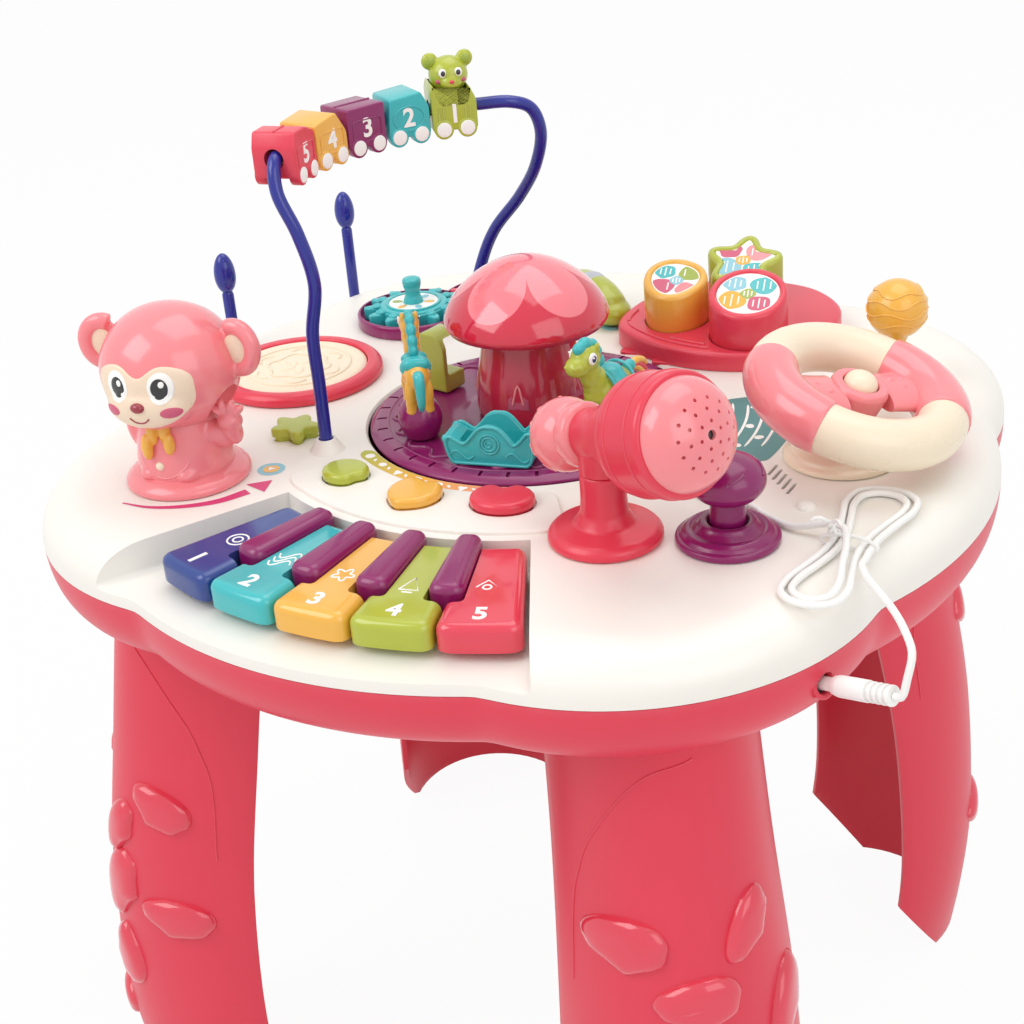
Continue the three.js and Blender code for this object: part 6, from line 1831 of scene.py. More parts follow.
@dataclass
class Handset:
    """The lime telephone handset in its pale blue cradle."""

    at: Row = (-32.0, 128.0)
    deg: float = -35.0
    length: float = 64.0
    grey: Plastic = Plastic(Hue.STEEL, gloss=0.3, cloud=0.1)

    def build(self) -> None:
        """Makes the handset, its oval grip pad and the cradle."""
        p = set_down((*self.at, TOP - SEAM), self.deg)
        parts = []
        for side in (-1, 1):
            x = side * (self.length / 2 - 13)
            parts += lumps([((12.8, 10.9, 7.4), (x, 0, 8))], p, 40, 24)
            parts += lumps([((9.4, 9.0, 8), (x * 0.92, 0, 12))], p, 32, 20)
        line = [(-23, 0, 13), (-14, 0, 17), (0, 0, 18.6), (14, 0, 17), (23, 0, 13)]
        parts.append(tube("lump", smooth_line(line, 6), 7.6, 24, p, flat=0.62))
        placed(moulded("handset_look", parts, 0.8, 7), "handset", LIME, "phone_handset")
        oval = [(10.5 * cos(a), 5.4 * sin(a)) for a in around(48)]
        rings = [[(x * s, y * s, 23.0 - 0.018 * (x * s) ** 2 - 0.035 * (y * s) ** 2 + h) for x, y in oval]
                 for s, h in ((1, -1.8), (1, 0.1), (0.94, 0.5), (0.5, 0.55), (0.05, 0.55))]
        placed(loft("handset_pad", rings, p, 60), "handset", self.grey)
        cradle, place = rounded(rectangle(58, 14), 6.5, 6, True), set_down((*self.at, 0), self.deg)
        placed(pad("handset_cradle", cradle, TOP - 0.4, TOP + 0.25, place, 0.2, 0, 2), "table", SKY)


@dataclass
class Block:
    """A shape block with a picture under its rim."""

    name: str
    at: Row
    size: float
    deg: float
    finish: Plastic
    thick: float = 23.4
    lean: float = 15.0
    fill: float = 0.86
    edge: Sequence[Row] = ((0, -2.4), (0.5, -1.0), (1.7, -0.3), (3.0, -0.3), (3.6, -1.0), (3.8, -1.7))
    spots: Sequence[Place] = ((-0.38, 0.42, 0.42), (0.46, 0.36, 0.36), (-0.44, -0.42, 0.36), (0.34, -0.44, 0.44),
                              (0.02, 0.0, 0.24))
    inks: Sequence[Plastic] = (Plastic(Hue.ROSE, gloss=0.4, cloud=0.3, wear=0), SKY,
                               Plastic(Hue.YELLOW, gloss=0.4, wear=0), GREEN, PINK, TEAL)

    def radius(self, t: float) -> float:
        """Returns the outline's radius in shares of the size."""
        if self.name == "block_egg":
            return 0.9 + 0.12 * cos(t) ** 3
        return 0.84 + 0.16 * cos(5 * t) if self.name == "block_star" else 0.98

    def outline(self, grow: float) -> list[Row]:
        """Returns the outline on the flat, grown by a margin."""
        return [polar(self.size * self.radius(t) + grow, degrees(t) + self.deg + 75) for t in around(96)]

    def build(self, place: Matrix) -> None:
        """Makes the block with its rim and its card.

        Args:
            place: the place on the board.
        """
        low, top, slant = SEAM - 5, self.thick, radians(self.lean)
        row = self.outline(0)
        rings = [[(x, y, z) for x, y in shrunk(row, inset)] for inset, z in ((0.4, low), (0, low + 0.4))]
        rings += [[(x, y, top + z - x * tan(slant)) for x, y in shrunk(row, inset)] for inset, z in self.edge]
        body = f"{self.name}_body"
        placed(loft(f"{self.name}_look", rings, place, 50), body, self.finish, self.name)
        place = place @ Matrix.Translation((0, 0, top)) @ set_down(tilt=self.lean)
        card = [(x / cos(slant), y) for x, y in shrunk(row, 4.0)]
        placed(pad(f"{self.name}_card", card, -1.75, -1.35, place, 0.1, 0, 1), body, PAPER)
        self.picture(body, place)

    def picture(self, body: str, place: Matrix) -> None:
        """Lays the leaves and their white bars on the card.

        Args:
            body: the block's body.
            place: the place of the block's slanting top.
        """
        draw, reach = random.Random(self.name), self.size * self.fill
        for i, (x, y, r) in enumerate(self.spots):
            turn = draw.uniform(0, 360)
            leaf = [polar(reach * r * (0.94 + 0.06 * cos((3 + i % 3) * a)), degrees(a)) for a in around(40)]
            inside = self.clipped(leaf, (reach * x, reach * y), turn)
            ink = pad(f"{self.name}_ink_{i + 1}", inside, -1.36, -1.22 + 0.01 * i, place, 0.05, 0, 1)
            placed(ink, body, self.inks[(i + len(self.name)) % len(self.inks)])
            for k in range(3):
                y0 = reach * (y + r * (k - 1) * 0.45)
                half = reach * r * (0.62 if k == 1 else 0.42)
                bar = [(reach * x + u * half, y0 + v * 0.35) for u, v in ((-1, -1), (1, -1), (1, 1), (-1, 1))]
                if all(hypot(*q) < self.inner(q) for q in bar):
                    bar_name = f"{self.name}_bar_{i + 1}_{k + 1}"
                    placed(pad(bar_name, bar, -1.3, -1.05, place, 0.05, 0, 1), body, PAPER)

    def inner(self, point: Row) -> float:
        """Returns how far the card reaches in the direction of a flat point."""
        t = atan2(point[1], point[0]) - radians(self.deg + 75)
        return self.size * self.radius(t) - 4.6

    def clipped(self, row: Sequence[Row], at: Row, turn: float) -> list[Row]:
        """Returns an outline moved to a place and kept on the card."""
        made = []
        for q in turned(row, at, turn):
            far, limit = hypot(*q), self.inner(q)
            made.append((q[0] * limit / far, q[1] * limit / far) if far > limit else q)
        return made


BLOCKS = (Block("block_egg", (28, 106), 18, 150, YELLOW), Block("block_star", (50, 141), 20.5, 100, LIME),
          Block("block_round", (69, 101), 20, 0, RED))


@dataclass
class ShapeBoard:
    """The sloping red board with three shape blocks."""

    slope: float = 3.0
    face: float = -75.0
    front: Row = (52.0, 74.0)
    front_rise: float = 9.5
    middle: Row = (52.0, 124.0)
    half: float = 56.0
    shares: Sequence[Row] = ((-0.92, -0.56), (-0.5, -0.82), (0.02, -0.9), (0.52, -0.76), (0.84, -0.4), (0.94, 0.06),
                             (0.86, 0.44), (0.5, 0.76), (0.02, 0.82), (-0.48, 0.68), (-0.84, 0.34), (-0.98, -0.16))

    def height(self, x: float, y: float) -> float:
        """Returns the board's upper face above the floor."""
        lean = polar(1, self.face)
        along = (x - self.front[0]) * lean[0] + (y - self.front[1]) * lean[1]
        return TOP + self.front_rise - along * tan(radians(self.slope))

    def place(self, x: float, y: float) -> Matrix:
        """Returns the place on the slope for a piece built on the flat."""
        return set_down((x, y, self.height(x, y)), self.face, self.slope)

    def build(self) -> None:
        """Makes the board with its sockets and its stepped front, and the blocks."""
        row = [(self.middle[0] + x * self.half, self.middle[1] + y * self.half, 0) for x, y in self.shares]
        flat = wound([(x, y) for x, y, _ in smooth_line(row, 8, True)])
        rings: list[Ring] = [[(x, y, TOP + SEAM) for x, y in shrunk(flat, 0)]]
        for inset, drop in ((0, 2.2), (0.5, 0.9), (1.4, 0.2), (2.6, 0)):
            rings.append([(x, y, max(self.height(x, y) - drop, TOP + SEAM + 0.4 - 0.1 * drop))
                          for x, y in shrunk(flat, inset)])
        tools = [pad("well", piece.outline(0.4), -5, 60, self.place(*piece.at), 0.1, 0, 1) for piece in BLOCKS]
        placed(carved(loft("shape_board_look", rings), tools), "table", RED, "shape_board")
        for i, inset in enumerate((5.5, 9.5)):
            line = [(x, y, self.height(x, y) + 0.15) for x, y in shrunk(flat, inset) if y < 112 and x < 96]
            clear = [q for q in line if all(dist(q[:2], b.at) > b.size + 3.5 for b in BLOCKS)]
            for k, run in enumerate(runs(clear, 6)):
                placed(tube(f"board_bead_{i + 1}_{k + 1}", run, 0.75, 8), "table", RED)
        for i, (x, y) in enumerate(((12, 84), (33, 77), (76, 82), (95, 96))):
            tab = rounded(rectangle(12, 6), 2.4, 4, True)
            placed(pad(f"board_tab_{i + 1}", tab, 0, 1.6, set_down((x, y, TOP - 0.2), 15), 0.5, 0, 3), "table", RED)
        for piece in BLOCKS:
            piece.build(self.place(*piece.at))


def runs(points: Sequence[Place], gap: float) -> list[list[Place]]:
    """Splits a row of points where two neighbours lie further apart than a gap, dropping short rests."""
    made: list[list[Place]] = [[]]
    for p in points:
        if made[-1] and dist(made[-1][-1], p) > gap:
            made.append([])
        made[-1].append(p)
    return [run for run in made if len(run) > 5]


@dataclass
class Drumstick:
    """A blue drumstick that stands in a sleeve."""

    name: str
    body: str
    at: Row
    low: float = 316.0
    length: float = 88.0
    radius: float = 3.1
    head: float = 5.7
    head_long: float = 22.0

    def build(self) -> None:
        """Makes the stick with its egg-shaped head."""
        top = self.low + self.length
        half = self.head_long / 2
        egg = [(self.head * max(cos(a), 0) * (1 - 0.07 * sin(a)), top - half + half * sin(a))
               for a in spaced(20, -pi / 2 + 0.42, pi / 2)]
        egg[-1] = (0, top)
        row = [(0, self.low), (self.radius - 0.6, self.low), (self.radius, self.low + 0.8),
               (self.radius, egg[0][1] - 1.5), *egg]
        stick = lathe(f"{self.name}_look", row, set_down((*self.at, 0)), 40, 60)
        placed(stick, self.body, BLUE, self.name)


@dataclass
class Driving:
    """The steering wheel with its column and horn, and the ball lever."""

    column_at: Row = (152.0, 5.0)
    wheel_at: Place = (158.0, 5.0, 380.0)
    tilt: float = 18.0
    ring: float = 38.0
    rim: float = 11.0
    grip: float = 51.0
    lever_at: Place = (150.0, 84.0, 350.0)

    @property
    def place(self) -> Matrix:
        """Where the wheel sits."""
        return set_down(self.wheel_at, 0, self.tilt)

    def column(self) -> None:
        """Makes the stepped foot and the leaning neck with its axle."""
        z = TOP + SEAM
        foot = raised([(0, 0), (26, 0), (26, 2), (23.4, 3.4), (22.6, 5), (13.4, 7.6), (10, 9), (0, 9)], z)
        base = lathe("wheel_column_look", rounded(foot, 1.2, 4), set_down((*self.column_at, 0)), 80, 50)
        profile = rounded([(0, -30), (9.75, -30), (9.75, -10.3), (4.5, -10.3), (4.5, -3), (0, -3)], 0.4, 2)
        neck = lathe("neck", profile, self.place, 48)
        carved(neck, [box("under", (90, 90, 20), (*self.column_at, z - 10), None, 0.1, 1)])
        placed(carved(base, [neck], Cut.ADDED), "table", CREAM, "steering_column")

    def wheel(self) -> None:
        """Makes the thick rim, the two grips, the spokes and the hub."""
        p = self.place
        body = "wheel"
        circle = [(*polar(self.ring, d), 0) for d in around(160, 360)]
        placed(tube("rim", circle, self.rim, 32, p, True), body, CREAM, "steering_wheel")
        hub = rounded([(4.9, -10), (10.4, -10), (13, 3.5), (11.9, 6), (8.4, 6.3), (7.9, 5.6), (7.9, -1), (4.9, -1),
                       (4.9, -10)], 0.8, 3)
        placed(lathe("hub_look", hub, p, 64), body, PINK)
        for side, name in ((0, "a"), (180, "b")):
            deg = self.grip + side
            arc = [(*polar(self.ring, d), 0) for d in spaced(40, deg - 38, deg + 38)]
            sleeve = tube(f"wheel_grip_{name}", arc, lambda t: self.rim + 1.3 - 0.7 * abs(2 * t - 1) ** 8, 32, p)
            placed(bevelled(sleeve, 0.8, 3, 50), body, PINK)
            line = [(*polar(r, deg), 0.4) for r in spaced(10, 11, 30)]
            placed(tube(f"wheel_spoke_{name}", line, lambda t: 13.2 + 2.2 * t ** 2, 24, p, flat=0.34), body, PINK)
            own = p @ set_down(turn=deg)
            for k, (x, y, r) in enumerate(((17.5, 3.0, 2.4), (21, -2.6, 2.0), (23.6, 3.2, 1.7))):
                placed(ball(f"wheel_mark_{name}_{k + 1}", (r, r * 0.8, 1.0), (x, y, 4.4), own, 20, 10), body, PINK)
        knob = rounded([(0, 1.3), (7.5, 1.3), (7.5, 5.4), (6.9, 7.6), (5.4, 9.4), (3.4, 10.5), (0, 11)], 1.2, 4)
        placed(lathe("horn_button_look", knob, p, 48, 60), "horn", CREAM, "horn_button")

    def lever(self) -> None:
        """Makes the lever with its ridged ball and the relief round its slot."""
        x, y, z = self.lever_at
        p = set_down(self.lever_at)
        row = [(0, -10), (4.5, -10), (4.5, 24)]
        row += [(max(14 * cos(a), 0), 40 + 14 * sin(a)) for a in spaced(28, -1.15, pi / 2)]
        row[-1] = (0, 54)
        placed(lathe("lever_look", row, p, 64, 60), "lever", YELLOW, "shift_lever")
        for i, base in enumerate((-0.34, 0.02, 0.38, 0.72)):
            line = []
            for d in around(120, 360):
                a = base + 0.09 * sin(radians(4 * d + 90 * i))
                line.append((*polar(14.05 * cos(a), d), 40 + 14.05 * sin(a)))
            placed(tube(f"lever_ridge_{i + 1}", line, 0.4, 8, p, True), "lever", YELLOW)
        ring = [(x + 8.8 * cos(a), y + (17 + 3.8 * abs(sin(a))) * sin(a), z + 0.05) for a in around(60)]
        placed(tube("lever_surround", ring, 1.1, 8, closed=True, flat=0.7), "table", WHITE)

    def build(self) -> None:
        """Makes all the driving pieces."""
        self.column()
        self.wheel()
        self.lever()


@dataclass
class Microphone:
    """The leaning red microphone on its round foot."""

    at: Row = (89.0, -101.0)
    z: float = 396.0
    turn: float = -22.0
    tilt: float = 73.0

    def build(self) -> None:
        """Makes the post, the bell, the pierced pink dome and the rear knob."""
        x, y = self.at
        foot = raised([(0, 0), (23.8, 0), (23.8, 3), (21.6, 5.4), (19, 6), (12.7, 7.5), (10, 12), (9.5, 18),
                       (9.5, 29.7), (5.4, 29.7), (5.4, 21.7), (0, 21.7)], TOP + SEAM)
        stand = lathe("mic_stand_look", rounded(foot, 1.2, 4), set_down((x, y, 0)), 80, 50)
        placed(stand, "table", RED, "microphone_post")
        p = set_down((x, y, self.z), self.turn, self.tilt)
        stub = rounded([(0, 372.4), (5, 372.4), (5, 380.3), (9.5, 380.3), (9.5, 396), (0, 396)], 0.4, 2)
        placed(lathe("microphone_neck", stub, set_down((x, y, 0)), 48), "microphone", RED)
        bell = rounded([(0, -10), (10.6, -10), (11.4, 2), (13.2, 8), (17, 16), (20.4, 22), (23.6, 26.4), (24.4, 30),
                        (24.5, 50), (23.4, 51.6), (0, 51.6)], 2.2, 4)
        placed(lathe("microphone_look", bell, p, 96, 60), "microphone", RED, "microphone_head")
        for i, (r, high) in enumerate(((24.35, 32.4), (24.45, 44.6))):
            ring = [(*polar(r, d), high) for d in around(120, 360)]
            placed(tube(f"microphone_ridge_{i + 1}", ring, 0.45, 8, p, True), "microphone", RED)
        self.dome(p)
        placed(ball("microphone_knob", (15.5, 15.5, 15.0), (0, 0, -22), p, 56, 30), "microphone", PINK)
        collar = rounded([(9, -14), (13.4, -14), (13.4, -8), (11, -6.4), (9, -6.4), (9, -14)], 1.2, 3)
        placed(lathe("microphone_collar", collar, p, 64), "microphone", PINK)
        for k, (a, b) in enumerate(((200, -0.5), (240, -0.35), (280, -0.55), (320, -0.3), (160, -0.3), (120, -0.55))):
            line = []
            for t in spaced(14, -1, 1):
                c = b + 0.16 * t
                line.append((*polar(15.5 * cos(c), a + 9 * sin(2.4 * t)), -22 + 15.1 * sin(c)))
            placed(tube(f"microphone_swirl_{k + 1}", line, 0.4, 8, p), "microphone", PINK)

    @staticmethod
    def onto_dome(a: float) -> Row:
        """Returns radius and height of the dome's face at a rise in radians."""
        return 22.0 * cos(a), 51.8 + 14.2 * sin(a)

    def dome(self, p: Matrix) -> None:
        """Makes the pierced dome: a ring, a domed face and rings of small holes, with black painted shade at the
        bottoms of the holes.
        """
        face = [self.onto_dome(a) for a in spaced(20, 0.12, pi / 2)]
        dome = lathe("microphone_dome", [(0, 50), (22.2, 50), (22.2, 52.4), *face[:-1], (0, 66)], p, 96, 60)
        tools = []
        for count, lean in ((6, 0.24), (10, 0.46), (14, 0.68)):
            radius, high = self.onto_dome(pi / 2 - lean)
            for i in range(count):
                deg = 360 * i / count + 17 * count
                own = p @ set_down((*polar(radius, deg), high), deg, degrees(lean) * 1.2)
                tools.append(rod("pit", 0.75, -1.6, 3, own, 14))
        tools.append(lathe("pit", [(0, 63.5), (1.7, 63.5), (2.1, 68), (0, 68)], p, 32))
        placed(carved(dome, tools, crease=45), "microphone", PINK)
        # Black disc at the bottom of the centre hole: painted shade.
        placed(rod("microphone_eye", 1.75, 63.9, 64.5, p), "microphone", BLACK)
        # Black body just under the dome's face that shows at the bottoms of the small holes: painted shade inside the
        # holes.
        bulge = [(20.6 * cos(a), 50.6 + 13.6 * sin(a)) for a in spaced(12, 0.1, 1.45)]
        placed(lathe("microphone_core", [(0, 50.6), *bulge, (0, 64.1)], p, 48, 60), "microphone", BLACK)


@dataclass
class Joystick:
    """The purple joystick with its dished foot."""

    at: Row = (136.0, -85.0)

    def build(self) -> None:
        """Makes the foot and the stick."""
        p = set_down((*self.at, 0))
        foot = raised([(0, 0), (21.4, 0), (21.4, 2.6), (20.4, 3.2), (19.6, 3.2), (18.8, 4.6), (16.8, 6), (15.6, 6),
                       (14.6, 5.4), (12.4, 7.4), (11.1, 9.2), (8.6, 9.2), (7.9, 7), (6, 3.4), (0, 2)], TOP + SEAM)
        placed(lathe("joystick_base_look", rounded(foot, 0.8, 4), p, 80, 50), "table", PURPLE, "joystick_base")
        row = [(7.4 * cos(a), 360 + 7.4 * sin(a)) for a in spaced(12, -pi / 2, -0.1)]
        row[0] = (0, row[0][1])
        row += [(7.4, 363), (6.6, 368)]
        row += [(max(15.6 * cos(a), 0), 377.3 + 10.6 * sin(a)) for a in spaced(24, -1.02, pi / 2)]
        row[-1] = (0, 387.9)
        placed(lathe("joystick_look", row, p, 64, 60), "stick", PURPLE, "joystick")
        for k in range(5):
            line = []
            for t in spaced(10, -1, 1):
                a = 0.5 + 0.16 * t
                line.append((*polar(15.7 * cos(a), 72 * k + 20 + 16 * t), 377.3 + 10.7 * sin(a)))
            placed(tube(f"joystick_relief_{k + 1}", line, 0.55, 8, p), "stick", PURPLE)


@dataclass(frozen=True)
class Button:
    """A push button with a fruit or leaf outline."""

    name: str
    x: float
    y: float
    size: float
    deg: float
    finish: Plastic

    def share(self, t: float) -> float:
        """Returns the outline's radius in shares of the size."""
        if self.name == "clover":
            return 0.82 + 0.18 * cos(5 * t)
        if self.name == "pear":
            return 0.9 - 0.16 * exp(-((t - pi) ** 2) / 0.12) + 0.06 * cos(t)
        top = exp(-((t - pi / 2) ** 2) / (0.16 if self.name == "heart" else 0.12))
        if self.name == "heart":
            return 0.86 - 0.28 * top - 0.1 * cos(t) ** 2 + 0.1 * exp(-((t - 1.5 * pi) ** 2) / 0.1)
        return 0.84 - 0.3 * top + 0.12 * cos(t) ** 2

    def outline(self, margin: float) -> list[Row]:
        """Returns the outline in place, grown by a margin."""
        made = []
        for t in around(96):
            r = self.size * self.share(t) + margin
            a = t + radians(self.deg)
            made.append((self.x + r * cos(a), self.y + 0.92 * r * sin(a)))
        return made

    def build(self) -> None:
        """Makes the domed cap and its skirt."""
        skirt = pad("skirt", self.outline(-1.6), 342, 353, None, 0.2, 0, 1)
        edge = 1.3 if self.name == "clover" else 2.4
        cap = pad(f"button_{self.name}_look", self.outline(0), TOP + 2.3, TOP + 6.5, None, edge, 0.3, 6)
        placed(carved(cap, [skirt], Cut.ADDED), f"push_{self.name}", self.finish, f"button_{self.name}")


BUTTONS = (Button("clover", -94, -63, 12.5, 20, LIME), Button("pear", -43, -95, 12, 150, LIME),
           Button("heart", -3, -101, 15.5, -5, YELLOW), Button("cherry", 36, -93, 15, 20, RED))


@dataclass
class Piano:
    """Five numbered keys in a fan, with short purple keys between them."""

    start: float = -113.4
    step: float = 10.22
    inner: float = 135.5
    outer: float = 200.0
    low: float = 339.0
    top: float = 351.0
    bed: float = 335.3
    rear: float = 131.5
    finishes: Sequence[tuple[Plastic, str]] = ((NAVY, "blue"), (TEAL_GLOSS, "teal"), (YELLOW_GLOSS, "yellow"),
                                               (LIME_GLOSS, "lime"), (RED_GLOSS, "red"))

    def key(self, index: int) -> None:
        """Makes one key with its notches, number and line picture."""
        deg, body = self.start + self.step * (index + 0.5), f"piano_key_{index + 1}"
        row = fan(deg, 4.935, self.inner, self.outer, 5.5)
        key = pad(f"key_{index + 1}_look", row, self.low, self.top, None, 4.2, 0.4, 8)
        tools = []
        for side in (0, 1):
            border = self.start + self.step * (index + side)
            if 0 < index + side < 5:
                notch = fan(border, 2.3 + degrees(0.9 / 160), 120, 181.6, 3)
                tools.append(pad("notch", notch, 320, 370, None, 0.05, 0, 1))
        heel = pad("heel", fan(deg, 2.2, self.inner, self.inner + 3.5, 0.5), self.bed, 343.3, None, 0.05, 0, 1)
        carved(carved(key, tools, crease=45), [heel], Cut.ADDED, 45)
        finish, slot = self.finishes[index]
        placed(key, body, finish, f"key_{index + 1}", slot=f"{slot}_plastic")
        place = set_down((*polar(190.5, deg), self.top + 0.02), deg + 90)
        placed(numeral(str(index + 1), 8.8, place, f"key_{index + 1}_number", 0.5), body, PAPER)
        self.picture(index, deg, body)

    def picture(self, index: int, deg: float, body: str) -> None:
        """Draws a simple white line picture on a key."""
        x, y = polar(170, deg)
        p = set_down((x, y, self.top + 0.05), deg + 90)
        shapes = {
            0: [[polar(4.6, a) for a in spaced(30, 0, 360)], [polar(2.2, a) for a in spaced(20, 0, 360)]],
            1: [[(t * 5.2, 3.2 * sin(3 * t) + k) for t in spaced(20, -1, 1)] for k in (-3.4, 0, 3.4)],
            2: [[polar(5 * (0.75 + 0.25 * cos(radians(5 * a))), a) for a in spaced(60, 0, 360)]],
            3: [[(-4, -4.6), (0, 5), (4, -4.6), (-4, -4.6)], [(-2.2, -6.4), (2.2, -6.4)]],
            4: [[(-4.4, 0), (0, 5.4), (4.4, 0), (0, -5.4), (-4.4, 0)], [polar(1.7, a) for a in spaced(20, 0, 360)]],
        }
        for k, row in enumerate(shapes[index]):
            line = [(a, b, 0) for a, b in row]
            placed(tube(f"key_{index + 1}_line_{k + 1}", line, 0.42, 8, p, flat=0.6), body, PAPER)

    def shorts(self) -> None:
        """Makes the short keys with their common strip."""
        row = fan(self.start + self.step * 2.5, 23.6, self.rear, 135.1, 0.6)
        strip = pad("short_keys_look", row, self.bed, 340.3, None, 0.2, 0, 1)
        bars = []
        for i in range(4):
            row = fan(self.start + self.step * (i + 1), 2.4, self.rear, 178, 5.5)
            bars.append(pad("bar", row, self.bed, 355.5, None, 4.2, 0.3, 8))
        placed(carved(strip, bars, Cut.ADDED, 45), "table", PURPLE, "short_keys")

    def build(self) -> None:
        """Makes all keys."""
        for index in range(5):
            self.key(index)
        self.shorts()


@dataclass
class Cable:
    """The white charging cable: it leaves its plug, climbs the base and lies on the top as a tied hank.

    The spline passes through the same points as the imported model's lead and hank.
    """

    radius: float = 1.5
    plug_at: Place = (190.9, -123.2, 318.0)
    plug_turn: float = -20.0
    plug_tilt: float = 75.0
    plug_long: float = 33.2
    middle: Row = (183.0, -75.0)
    waist: float = 10.0
    half: float = 54.0
    slot: float = 4.0
    bulge: float = 26.0
    loss: float = 3.5
    lie: float = 351.9
    turns: Row = (0.22, 2.22)
    cross: float = 4.2
    kink: float = 215.0
    far_at: Row = (129.0, -56.76)
    far_turn: float = 158.0
    far_mid: float = 352.8
    lead: Sequence[Place] = ((1.051, -0.625, 0.3), (1.053, -0.612, 0.75), (1.031, -0.585, 1), (0.998, -0.544, 1.1),
                             (0.956, -0.498, 1.14), (0.921, -0.455, 1.12))
    strand: Sequence[Place] = ((0.832, -0.325, 1.31), (0.802, -0.318, 1.31), (0.765, -0.321, 1.2), (0.73, -0.322, 1.11),
                               (0.695, -0.308, 1.095), (0.655, -0.287, 1.095))

    def spread(self, rows: Sequence[Place]) -> list[Place]:
        """Returns places given in shares of the top's size and rise."""
        return [(x * self.kink, y * self.kink, PARTING + 20 * up) for x, y, up in rows]

    def coil(self) -> list[Place]:
        """Returns the points of the tied loops, the last of them rising over the others."""
        count = round((self.turns[1] - self.turns[0]) * 20)
        climb = round(count * 0.1)
        made = []
        for i in range(count + 1):
            turn = self.turns[0] + i / 20
            a, inwards = 2 * pi * turn, self.slot * turn
            across = sin(a) * (self.waist - inwards + (self.bulge - self.loss * turn) * cos(a) ** 2)
            t = max((i - count + climb) / climb, 0)
            made.append((self.middle[0] + across, self.middle[1] - (self.half - inwards) * cos(a),
                         self.lie + self.cross * t * t * (3 - 2 * t)))
        return made

    def route(self) -> list[Place]:
        """Returns the whole route from the plug to the far plug."""
        out = self.plug_place.to_3x3() @ Vector((0, 0, 1))
        start = [tuple(Vector(self.plug_at) + out * (self.plug_long + run)) for run in (SEAM, SEAM + 3.2)]
        coil = self.coil()
        ahead = (Vector(coil[1]) - Vector(coil[0])).normalized()
        before = [tuple(Vector(coil[0]) - ahead * 3.5)]
        ax, ay = polar(1, self.far_turn)
        back = [(self.far_at[0] - ax * run, self.far_at[1] - ay * run, self.far_mid) for run in (9.5, 6.3)]
        return [*start, *self.spread(self.lead), *before, *coil, *self.spread(self.strand), *back]

    @property
    def plug_place(self) -> Matrix:
        """Where the plug sits in the socket."""
        return set_down(self.plug_at, self.plug_turn, self.plug_tilt)

    def plug(self) -> Thing:
        """Makes the plug with its barrel, tapered grip and ribbed strain relief."""
        row = [(0, -5), (2.75, -5), (2.75, 5), (3.6, 5), (4.3, 8), (4.3, 22)]
        z = 22.0
        for _ in range(4):
            row += [(2.9, z), (2.9, z + 1.2), (4.085, z + 1.2), (4.085, z + 2.8)]
            z += 2.8
        row.append((0, z))
        plug = lathe("cable_plug_look", rounded(row, 0.5, 3), self.plug_place, 40, 45)
        return placed(plug, "table", CABLE, "cable_plug", slot="cable_white")

    def far_plug(self) -> Thing:
        """Makes the flat plug on the cable's far end."""
        p = set_down((*self.far_at, TOP + SEAM), self.far_turn)
        body = box("cable_far_plug_look", (20, 12, 5), (10, 0, 2.5), p, 1.4, 4)
        tip = box("tip", (12.6, 9, 3), (25.7, 0, 2.5), p, 0.35, 2)
        neck = tube("neck", [(0.6, 0, 2.5), (-3, 0, 2.5), (-6, 0, 2.5)], 2.2, 24, p)
        placed(carved(body, [tip, neck], Cut.ADDED, 45), "table", CABLE, "cable_far_plug", slot="cable_white")
        return placed(box("far_plug_shell", (11.4, 9.2, 3.2), (26.4, 0, 2.5), p, 0.3, 2), "table", STEEL)

    def tie(self) -> Thing:
        """Makes the twisted wire tie round the waist of the hank."""
        x, y = self.middle
        ring = [(x + 11.6 * cos(a), y, max(self.lie + 0.6 + 3.4 * sin(a), TOP + 0.45)) for a in around(40)]
        parts = [tube("tie_band", ring, 0.9, 10, closed=True, flat=0.5)]
        for side in (-1, 1):
            end = [(x - 7 + 1.1 * side * cos(6 * t), y + 1.0 * sin(6 * t) * side - 3 * t, self.lie + 4.2 + 6 * t)
                   for t in spaced(24)]
            end += [(x - 7 + side * (1.1 + 5 * t), y - 3 - 4 * t, self.lie + 10.2 + 2.4 * sin(2.4 * t))
                    for t in spaced(8, 0.1, 1)]
            parts.append(tube("tie_end", smooth_line(end, 2), 0.8, 10))
        return placed(joined("cable_tie_look", parts), "table", CABLE)

    def build(self) -> None:
        line = smooth_line(self.route(), 4)
        cord = placed(curved("cable", line, self.radius), "table", CABLE, "cable_lead", "cable_hank",
                      slot="cable_white")
        pieces = [self.plug(), self.far_plug(), self.tie()]


